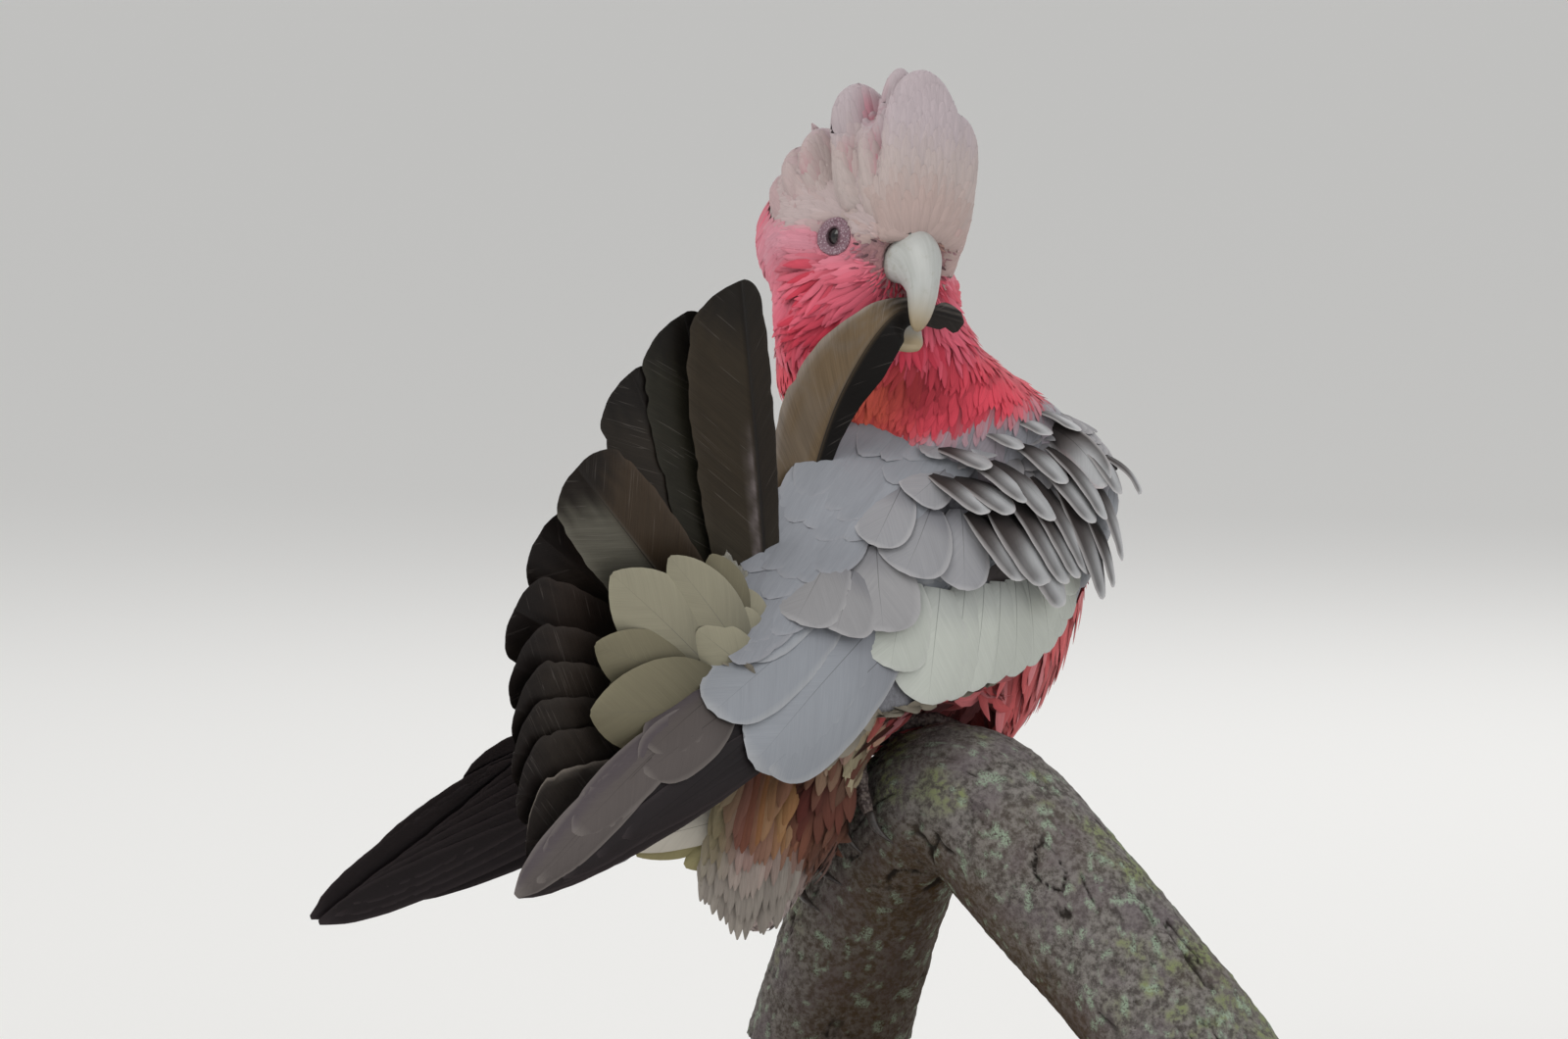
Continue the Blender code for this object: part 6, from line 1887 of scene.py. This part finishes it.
for side, label_ in ((-1, "right"), (1, "left")):
    o = unit(side * HL + (0.46 if side < 0 else 0.12) * HF)
    centre = head(0, side * (EYE_HALF + 0.2), 0) - o * (EYE_RADIUS - 0.1)
    e1 = unit(HF - np.dot(HF, o) * o)
    e2 = np.cross(o, e1)
    e2 = e2 if np.dot(e2, HU) > 0 else -e2
    lat = np.linspace(0.004, math.pi - 0.004, 44)
    lon = np.linspace(0, 2 * math.pi, 64, endpoint=False)
    rings = [[centre + (EYE_RADIUS - 0.15 + 0.15 * math.exp(-(t / 0.33) ** 2)) *
              (math.cos(t) * o + math.sin(t) * (math.cos(g) * e1 + math.sin(g) * e2)) for g in lon] for t in lat]
    verts, faces = ring_loft(rings)
    rel = verts - centre
    fr = np.hypot(rel @ e1, rel @ e2) / 2.3
    fr = np.where(rel @ o < 0, 2.0, fr)
    eye = mesh_object("eyeball_" + label_, verts, faces, EYE_MAT, {"fr": fr})
    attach(eye, "root")
    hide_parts("eye_" + label_)
    # lids and the bare ring
    th = np.linspace(0, 2 * math.pi, 72, endpoint=False)
    outer_z = []
    for g in th:
        x, y = 5.1 * math.cos(g), 5.9 * math.sin(g)
        origin = centre + e1 * x + e2 * y + o * 14.0
        hit = skin_tree.ray_cast(Vector(origin * MM), Vector(-o))
        outer_z.append(14.0 - hit[3] / MM if hit[0] is not None else 1.0)
    outer_z = np.array(outer_z)
    outer_z = np.convolve(np.concatenate([outer_z[-6:], outer_z, outer_z[:6]]), np.ones(13) / 13, "valid")
    section = [(0.0, -0.9), (0.0, -0.1), (0.02, 0.22), (0.07, 0.45), (0.14, 0.52), (0.22, 0.40), (0.30, 0.36),
               (0.40, 0.42), (0.50, 0.40), (0.60, 0.44), (0.70, 0.38), (0.80, 0.36), (0.90, 0.22), (1.0, -0.1),
               (1.0, -1.4), (0.5, -1.6)]
    rings = []
    fr = []
    for r, dz in section:
        x = (1.95 + (5.1 - 1.95) * r) * np.cos(th)
        y = (2.5 + (5.9 - 2.5) * r) * np.sin(th)
        ball = np.sqrt(np.clip((EYE_RADIUS + 0.12) ** 2 - x ** 2 - y ** 2, 0.3, None))
        k = float(step(0.0, 0.9, r))
        z = ball * (1 - k) + (outer_z + 0.35) * k + dz
        if 0.05 < r < 0.95 and dz > 0:
            z = z + 0.13 * np.sin(th * 23 + r * 31) + 0.10 * np.sin(th * 13 - r * 17)
        rings.append(centre + x[:, None] * e1 + y[:, None] * e2 + z[:, None] * o)
        fr.append(np.full(len(th), r))
    rings.append(rings[0])
    fr.append(fr[0])
    verts, faces = ring_loft(np.array(rings)[:-1], False)
    m_ = len(th)
    last, first = np.arange(m_) + m_ * (len(section) - 1), np.arange(m_)
    faces.append(np.stack([last, np.roll(last, -1), np.roll(first, -1), first], -1))
    ring = mesh_object("eyelid_" + label_, verts, faces, RING_MAT, {"fr": np.concatenate(fr[:-1])})
    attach(ring, "root")

BILL_UPPER = [
    (12.5, -3.2, 8.2, 8.8, 8),
    (17.0, -2.0, 8.5, 9.6, 0),
    (21.5, -3.0, 7.2, 9.0, -20),
    (25.2, -7.0, 5.4, 7.2, -50),
    (27.6, -12.0, 4.4, 5.2, -75),
    (28.2, -17.0, 3.5, 3.6, -90),
    (28.0, -20.8, 2.1, 1.9, -98),
    (27.8, -22.2, 0.8, 0.7, -100),
]
BILL_LOWER = [
    (8.0, -15.5, 6.4, 3.0, -20),
    (13.0, -19.5, 6.8, 3.8, -30),
    (17.0, -24.0, 7.0, 3.8, -30),
    (20.5, -27.0, 6.6, 3.0, -20),
    (22.8, -28.2, 4.8, 1.6, -15),
]
n = Nodes("bill_keratin")
s, q = n.attr("fs"), n.attr("fq")
streak = n.noise(n.vec(n.math("MULTIPLY", q, 6.0), n.math("MULTIPLY", s, 1.2), 0.0), 1.0, 4.0, 0.6)
flake = n.noise(n.vec(n.math("MULTIPLY", q, 1.6), n.math("MULTIPLY", s, 9.0), 3.0), 1.0, 3.0, 0.6)
spot = n.noise(n.coord(), 260.0, 4.0, 0.65)
col = n.mixc(n.ramp(streak, 0.35, 0.65), srgb(186, 188, 184), srgb(198, 200, 197))
col = n.mixc(n.ramp(s, 0.55, 0.95), col, srgb(176, 158, 126))
col = n.mixc(n.ramp(spot, 0.55, 0.75, 0.0, 0.5), col, srgb(160, 156, 138))
col = n.mixc(n.ramp(s, 0.16, 0.02, 0.0, 0.6), col, srgb(150, 140, 130))
n.link(col, n.b.inputs["Base Color"])
n.bumped(n.math("ADD", n.math("MULTIPLY", streak, 0.5), flake), 0.00010, 0.6)
n.set(Roughness=0.42, Specular_IOR_Level=0.5, Coat_Weight=0.12, Coat_Roughness=0.35)
BILL_MAT = n.mat


def bill(name, rows, node, upper):
    rows = spline(rows, 76)
    m = 64
    t = np.linspace(0, 2 * math.pi, m, endpoint=False)
    rings, fs, fq = [], [], []
    for k, (a, b, w, d, tilt) in enumerate(rows):
        g = math.radians(tilt)
        up = -math.sin(g) * HF + math.cos(g) * HU
        s = k / (len(rows) - 1)
        x, y = w * np.cos(t), d * np.sin(t)
        if upper:
            x = x * (1 - 0.16 * np.clip(np.sin(t), 0, 1) ** 2)            # culmen a little keeled
            x = x * (1 + 0.05 * bump(np.sin(t), -0.55, 0.3))              # cutting edge flares
            y = np.where(np.sin(t) < -0.35, y * (1 - 0.22 * bump(np.cos(t), 0, 0.55)), y)
            y = y + 0.5 * bump(s, 0.60, 0.05) * bump(np.sin(t), -0.6, 0.35)   # notch behind the hook
        else:
            y = np.where(np.sin(t) > 0.2, y * (1 - 0.45 * bump(np.cos(t), 0, 0.6)), y)
        wear = 0.02 * np.sin(s * 60 + 1.5 * np.sin(2 * t)) * (0.3 + 0.7 * s)
        x, y = x * (1 + wear / 8), y * (1 + wear / 8)
        rings.append(head(a, 0, b) + x[:, None] * HL + y[:, None] * up)
        fs.append(np.full(m, s))
        fq.append(np.sin(t) * 1.0 + np.abs(np.cos(t)) * 0.7)
    verts, faces = ring_loft(rings)
    fs = np.concatenate(fs + [[0.0], [1.0]])
    fq = np.concatenate(fq + [[0.0], [0.0]])
    ob = mesh_object(name, verts, faces, BILL_MAT, {"fs": fs, "fq": fq})
    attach(ob, "root")
    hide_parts(node)


bill("bill_maxilla", BILL_UPPER, "bill_upper", True)
bill("bill_mandible", BILL_LOWER, "bill_lower", False)

# ---- perch, feet and stand --------------------------------------------------------
PERCH = [
    (-34.5, 72.0, 30.0, 25.5), (-31.0, 62.0, 46.0, 25.0), (-24.0, 48.0, 70.5, 24.0),
    (-14.0, 30.0, 99.5, 23.5), (-6.0, 13.0, 116.0, 23.0), (4.5, -2.0, 125.0, 23.0),
    (17.0, -10.0, 121.0, 23.5), (32.5, -19.0, 106.0, 24.0), (56.5, -32.0, 79.0, 24.0),
    (79.5, -44.5, 50.0, 25.0), (90.5, -51.0, 34.0, 25.5),
]
PERCH_CUT = 43.0
PATH = spline(PERCH, 401)
PATH_T = unit(np.gradient(PATH[:, :3], axis=0))
PATH_S = np.concatenate([[0], np.cumsum(np.linalg.norm(np.diff(PATH[:, :3], axis=0), axis=1))])


def perch_at(s):
    k = int(round(s * 400))
    return PATH[k][:3], PATH_T[k], PATH[k][3]


rows = spline(PERCH, 230)
m = 200
A_, B_ = [], []
rings, fs, fq = [], [], []
centre, rad = rows[:, :3], rows[:, 3]
T_ = unit(np.gradient(centre, axis=0))
a_dir = unit(np.cross(np.tile((0.3, 1, 0.1), (len(rows), 1)), T_))
b_dir = np.cross(T_, a_dir)
ang = np.linspace(0, 2 * math.pi, m, endpoint=False)
frac = np.linspace(0, 1, len(rows)) * 18
knob = 1 + 0.022 * np.sin(3 * ang[None] + 0.7 * frac[:, None]) + 0.016 * np.sin(2 * ang[None] - 0.45 * frac[:, None])
dirs = np.cos(ang)[None, :, None] * a_dir[:, None] + np.sin(ang)[None, :, None] * b_dir[:, None]
base = centre[:, None] + (rad[:, None] * knob)[..., None] * dirs
slen = np.concatenate([[0], np.cumsum(np.linalg.norm(np.diff(centre, axis=0), axis=1))])
# bark: fine granular skin, a few long cracks and shallow knobs
cyl = np.stack([np.broadcast_to(slen[:, None] * 0.55, base.shape[:2]), dirs[..., 0] * 24, dirs[..., 1] * 24 + dirs[..., 2] * 24], -1)
warp = np.stack([fbm(cyl, 12, 101, 3), fbm(cyl, 12, 102, 3), fbm(cyl, 12, 103, 3)], -1) - 0.5
cylw = cyl + warp * 8
grit = fbm(base + dirs * 3, 2.4, 111, 3, 0.6)
mid = fbm(cylw, 7.0, 115, 4, 0.55)
long_crack = 1 - np.abs(2 * fbm(cylw * np.array([0.45, 1, 1]), 9.0, 121, 3) - 1)
crack = step(0.93, 0.995, long_crack) * step(0.45, 0.6, fbm(cyl, 16.0, 122, 2))
lump = fbm(cyl, 26.0, 141, 2)
relief = 1.3 * (mid - 0.5) - 1.5 * crack + 1.0 * (grit - 0.5) + 2.2 * (lump - 0.5)
relief = np.clip(relief, -2.4, 1.15)
P = base + dirs * relief[..., None]
keep = centre[:, 2] > PERCH_CUT - 60
P[..., 2] = np.maximum(P[..., 2], PERCH_CUT)
lichen = step(0.52, 0.66, fbm(P, 16.0, 151, 3) * 0.7 + 0.3 * fbm(P, 3.0, 152, 2)) * step(-0.2, 0.35, dirs[..., 2])
mint = step(0.66, 0.72, fbm(P, 3.2, 161, 2))
shade = step(0.0, -0.6, dirs[..., 2]) * 0.8 + 0.2 * step(0.5, 0.3, fbm(P, 20.0, 171, 2))
# painted shade: dark where the fine relief sinks lowest, in the pits
pit = step(0.47, 0.30, 0.6 * grit + 0.4 * mid)
n = Nodes("bark_lichen")
pos = n.coord()
tone = n.noise(pos, 420.0, 5.0, 0.7)
tiny = n.noise(pos, 1500.0, 4.0, 0.7)
col = n.mixc(n.ramp(tone, 0.36, 0.64), srgb(92, 86, 82), srgb(152, 147, 142))
col = n.mixc(n.ramp(n.noise(pos, 70.0, 3.0), 0.46, 0.68, 0.0, 0.5), col, srgb(128, 116, 122))
col = n.mixc(n.math("MULTIPLY", n.attr("fshade"), n.ramp(tone, 0.3, 0.6, 1.0, 0.55)), col, srgb(92, 72, 42))
speck = n.math("MULTIPLY", n.attr("flichen"), n.ramp(tone, 0.42, 0.60, 0.1, 1.0))
col = n.mixc(n.math("MULTIPLY", speck, 0.75), col, srgb(148, 162, 100))
mint_ = n.math("MULTIPLY", n.attr("fmint"), n.ramp(tiny, 0.40, 0.55))
col = n.mixc(n.math("MULTIPLY", mint_, 0.85), col, srgb(172, 192, 168))
# the cracks and the pits are painted dark; in the pits this is painted shade
dark = n.math("ADD", n.attr("fcrack_pit_shade"), n.ramp(tiny, 0.42, 0.33, 0.0, 0.5), 0.0, True)
col = n.mixc(n.ramp(dark, 0.15, 0.9, 0.0, 0.92), col, srgb(44, 38, 33))
n.link(col, n.b.inputs["Base Color"])
n.bumped(n.math("ADD", tone, n.math("MULTIPLY", tiny, 0.7)), 0.0010, 0.9)
n.set(Roughness=0.88, Specular_IOR_Level=0.25)
BARK = n.mat
verts, faces = ring_loft(P)
crack_and_pit_shade = np.concatenate([np.clip(crack + 0.55 * pit, 0, 1).reshape(-1), [0, 0]])
branch = mesh_object("branch_bark", verts, faces, BARK,
                     {"fcrack_pit_shade": crack_and_pit_shade, "flichen": np.concatenate([lichen.reshape(-1), [0, 0]]),
                      "fmint": np.concatenate([mint.reshape(-1), [0, 0]]),
                      "fshade": np.concatenate([shade.reshape(-1), [0, 0]])})
# the two ends are sawn flat
bm = bmesh.new()
bm.from_mesh(branch.data)
res = bmesh.ops.bisect_plane(bm, geom=bm.verts[:] + bm.edges[:] + bm.faces[:], plane_co=(0, 0, (PERCH_CUT + 0.02) * MM),
                             plane_no=(0, 0, -1), clear_outer=True)
edges = [e for e in res["geom_cut"] if isinstance(e, bmesh.types.BMEdge)]
made = bmesh.ops.holes_fill(bm, edges=edges)
n = Nodes("sawn_wood")
pos = n.coord()
ringw = n.t.nodes.new("ShaderNodeTexWave")
ringw.wave_type = "RINGS"
ringw.rings_direction = "Z"
ringw.inputs["Scale"].default_value = 160.0
ringw.inputs["Distortion"].default_value = 3.0
ringw.inputs["Detail"].default_value = 3.0
n.link(pos, ringw.inputs["Vector"])
n.link(n.mixc(ringw.outputs["Fac"], srgb(176, 150, 112), srgb(150, 120, 84)), n.b.inputs["Base Color"])
n.bumped(ringw.outputs["Fac"], 0.0002)
n.set(Roughness=0.75)
branch.data.materials.append(n.mat)
for f in made["faces"]:
    f.material_index = 1
    f.smooth = False
bm.to_mesh(branch.data)
bm.free()
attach(branch, "root")
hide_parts("perch_branch")

TOE = 2.3
FEET = {"right": (0.445, 30.0), "left": (0.315, 26.0)}
TOES = [("hind_outer", 66.0, 8.0), ("hind_inner", 58.0, -7.0), ("fore_outer", -72.0, 9.0), ("fore_inner", -60.0, -8.0)]
n = Nodes("foot_scales")
pos = n.coord()
cell = n.voronoi(n.scaled(pos, (1.0, 1.0, 1.0)), 900.0)
net = n.ramp(cell, 0.25, 0.60)
col = n.mixc(net, srgb(128, 116, 112), srgb(78, 66, 64))
col = n.mixc(n.ramp(n.noise(pos, 500.0, 3.0), 0.45, 0.65, 0.0, 0.6), col, srgb(150, 136, 128))
n.link(col, n.b.inputs["Base Color"])
n.bumped(n.math("SUBTRACT", 1.0, cell), 0.0005, 0.9)
n.set(Roughness=0.68, Specular_IOR_Level=0.35)
FOOT_MAT = n.mat
n = Nodes("claw_keratin")
grain = n.noise(n.scaled(n.coord(), (1.0, 1.0, 1.0)), 900.0, 3.0)
n.link(n.mixc(n.ramp(grain, 0.3, 0.7), srgb(52, 46, 44), srgb(84, 76, 72)), n.b.inputs["Base Color"])
n.bumped(grain, 0.0001)
n.set(Roughness=0.34, Specular_IOR_Level=0.5, Coat_Weight=0.15, Coat_Roughness=0.3)
CLAW_MAT = n.mat


def sweep(points, radii, sides, up, squash=1.0, scute=0.0):
    points, radii = np.asarray(points, float), np.asarray(radii, float)
    t = unit(np.gradient(points, axis=0))
    a = unit(np.cross(np.tile(up, (len(points), 1)), t))
    b = np.cross(t, a)
    q = np.linspace(0, 2 * math.pi, sides, endpoint=False)
    r = radii[:, None] * np.ones(sides)[None]
    if scute:
        s = np.concatenate([[0], np.cumsum(np.linalg.norm(np.diff(points, axis=0), axis=1))])
        r = r * (1 + scute * np.abs(np.sin(s * math.pi / 1.5))[:, None] ** 0.6 - scute * 0.6)
    return points[:, None] + r[..., None] * (np.cos(q)[None, :, None] * a[:, None] + squash * np.sin(q)[None, :, None] * b[:, None])


for side, (share, turn) in FEET.items():
    c, t, rad_ = perch_at(share)
    top = unit(np.array([0, 0, 1.0]) - t[2] * t)
    back = np.cross(t, top)
    back = -back if back[0] > 0 else back
    turn = math.radians(turn)

    def on(angle, spread, height):
        return c + t * spread + (rad_ * 1.04 + height) * (math.cos(angle) * top + math.sin(angle) * back)

    allv, allf, off = [], [], 0
    for name, reach, spread in TOES:
        pts, rr = [], []
        for k in range(41):
            w = k / 40
            a = turn + math.radians(reach) * w
            pts.append(on(a, spread * min(1.0, w * 1.6) ** 0.8, TOE + 0.6 + 1.2 * (1 - w)))
            joint = 0.10 * sum(math.exp(-((w - j) / 0.055) ** 2) for j in (0.34, 0.62, 0.86))
            rr.append(TOE * (1.12 - 0.30 * w + joint) * (1.0 if w < 0.97 else 0.86))
        v, f = ring_loft(sweep(pts, rr, 20, t, scute=0.10))
        allv.append(v)
        allf += [x + off for x in f]
        off += len(v)
        sgn = math.copysign(1.0, reach)
        tip, cr = [], []
        for k in range(25):
            w = k / 24
            a = turn + math.radians(reach) + sgn * math.radians(0.2 + 26.8 * w)
            tip.append(on(a, spread, 2.3 + 1.0 * math.sin(math.pi * min(w * 1.1, 1)) - 1.1 * w))
            cr.append(1.75 * (1 - 0.88 * w ** 1.3) * (0.9 + 0.1 * min(w / 0.08, 1)))
        v, f = ring_loft(sweep(tip, cr, 16, t))
        claw = mesh_object("talon_%s_%s" % (side, name), v, f, CLAW_MAT)
        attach(claw, "root")
        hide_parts("claw_%s_%s" % (side, name))
    up = math.cos(turn) * top + math.sin(turn) * back
    pad = [on(turn, 0, TOE - 1.2), on(turn, 0, TOE + 0.5), on(turn, 0, TOE + 2.5), on(turn, 0, TOE + 5.0),
           on(turn, 0, TOE + 8.0)]
    v, f = ring_loft(sweep(spline(pad, 24), np.interp(np.linspace(0, 1, 24), [0, .15, .45, .7, 1], [2.0, 4.6, 5.2, 3.9, 2.8]),
                           24, t, scute=0.05))
    allv.append(v)
    allf += [x + off for x in f]
    ob = mesh_object("toes_" + side, np.concatenate(allv), allf, FOOT_MAT)
    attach(ob, "root")
    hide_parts("foot_" + side)

n = Nodes("stand_walnut")
pos = n.coord()
grainv = n.scaled(pos, (6.0, 90.0, 90.0))
g1 = n.noise(grainv, 1.0, 5.0, 0.6, 0.6)
g2 = n.noise(n.scaled(pos, (30.0, 900.0, 900.0)), 1.0, 3.0, 0.6)
col = n.mixc(n.ramp(g1, 0.35, 0.65), srgb(92, 62, 42), srgb(132, 94, 64))
col = n.mixc(n.ramp(g2, 0.55, 0.72, 0.0, 0.5), col, srgb(60, 38, 26))
n.link(col, n.b.inputs["Base Color"])
n.bumped(g2, 0.00008)
n.set(Roughness=0.38, Specular_IOR_Level=0.45, Coat_Weight=0.25, Coat_Roughness=0.22)
WALNUT = n.mat
n = Nodes("stand_brushed_steel")
brush = n.noise(n.scaled(n.coord(), (2600.0, 2600.0, 30.0)), 1.0, 3.0, 0.6)
n.link(n.mixc(n.ramp(brush, 0.3, 0.7), (0.42, 0.42, 0.43), (0.56, 0.56, 0.57)), n.b.inputs["Base Color"])
n.link(n.ramp(brush, 0.3, 0.7, 0.28, 0.42), n.b.inputs["Roughness"])
n.bumped(brush, 0.00003)
n.set(Metallic=1.0)
STEEL = n.mat
for name, mat in (("stand_base", WALNUT), ("stand_rod_back", STEEL), ("stand_rod_front", STEEL)):
    ob = NODES[name]
    for slot in ob.material_slots:
        slot.material = mat
    if not ob.material_slots:
        ob.data.materials.append(mat)


# ---- floor, light and camera ------------------------------------------------------
def floor():
    bm = bmesh.new()
    bmesh.ops.create_grid(bm, x_segments=2, y_segments=2, size=60.0)
    me = bpy.data.meshes.new("floor")
    bm.to_mesh(me)
    bm.free()
    ob = bpy.data.objects.new("floor", me)
    bpy.context.scene.collection.objects.link(ob)
    ob.location.z = -0.0005
    n = Nodes("floor_paint")
    n.set(Base_Color=(0.90, 0.895, 0.88, 1.0), Roughness=0.75)
    me.materials.append(n.mat)


def area(name, loc, target, size, watts, colour=(1, 1, 1)):
    d = bpy.data.lights.new(name, "AREA")
    d.shape, d.size, d.size_y = "RECTANGLE", size[0], size[1]
    d.energy, d.color = watts, colour
    ob = bpy.data.objects.new(name, d)
    bpy.context.scene.collection.objects.link(ob)
    ob.location = loc
    ob.rotation_euler = (Vector(target) - Vector(loc)).to_track_quat("-Z", "Y").to_euler()


floor()
area("key_light", (-1.1, -1.3, 1.9), (-0.03, 0, 0.22), (1.3, 1.3), 19.6, (1.0, 0.985, 0.96))
area("fill_light", (1.6, -1.6, 1.0), (-0.03, 0, 0.2), (1.6, 1.6), 7.6, (0.96, 0.98, 1.0))
area("back_light", (0.6, 1.8, 1.6), (-0.03, 0, 0.25), (1.4, 1.0), 12.0)
world = bpy.data.worlds.new("studio")
bpy.context.scene.world = world
world.use_nodes = True
bg = world.node_tree.nodes["Background"]
bg.inputs[0].default_value = (0.97, 0.97, 0.965, 1.0)
bg.inputs[1].default_value = 0.60

cam = bpy.data.cameras.new("camera")
cam.sensor_width = 36.0
cam.lens = 8580.0 / 1600.0 * 36.0
cam.clip_end = 200.0
view = bpy.data.objects.new("camera", cam)
bpy.context.scene.collection.objects.link(view)
elev = math.radians(4.0)
view.location = Vector((-0.0455, 0.0, 0.212)) + 2.6 * Vector((0, -math.cos(elev), math.sin(elev)))
view.rotation_euler = (math.radians(86.0), 0, 0)
bpy.context.scene.camera = view
bpy.context.scene.view_settings.view_transform = "Standard"
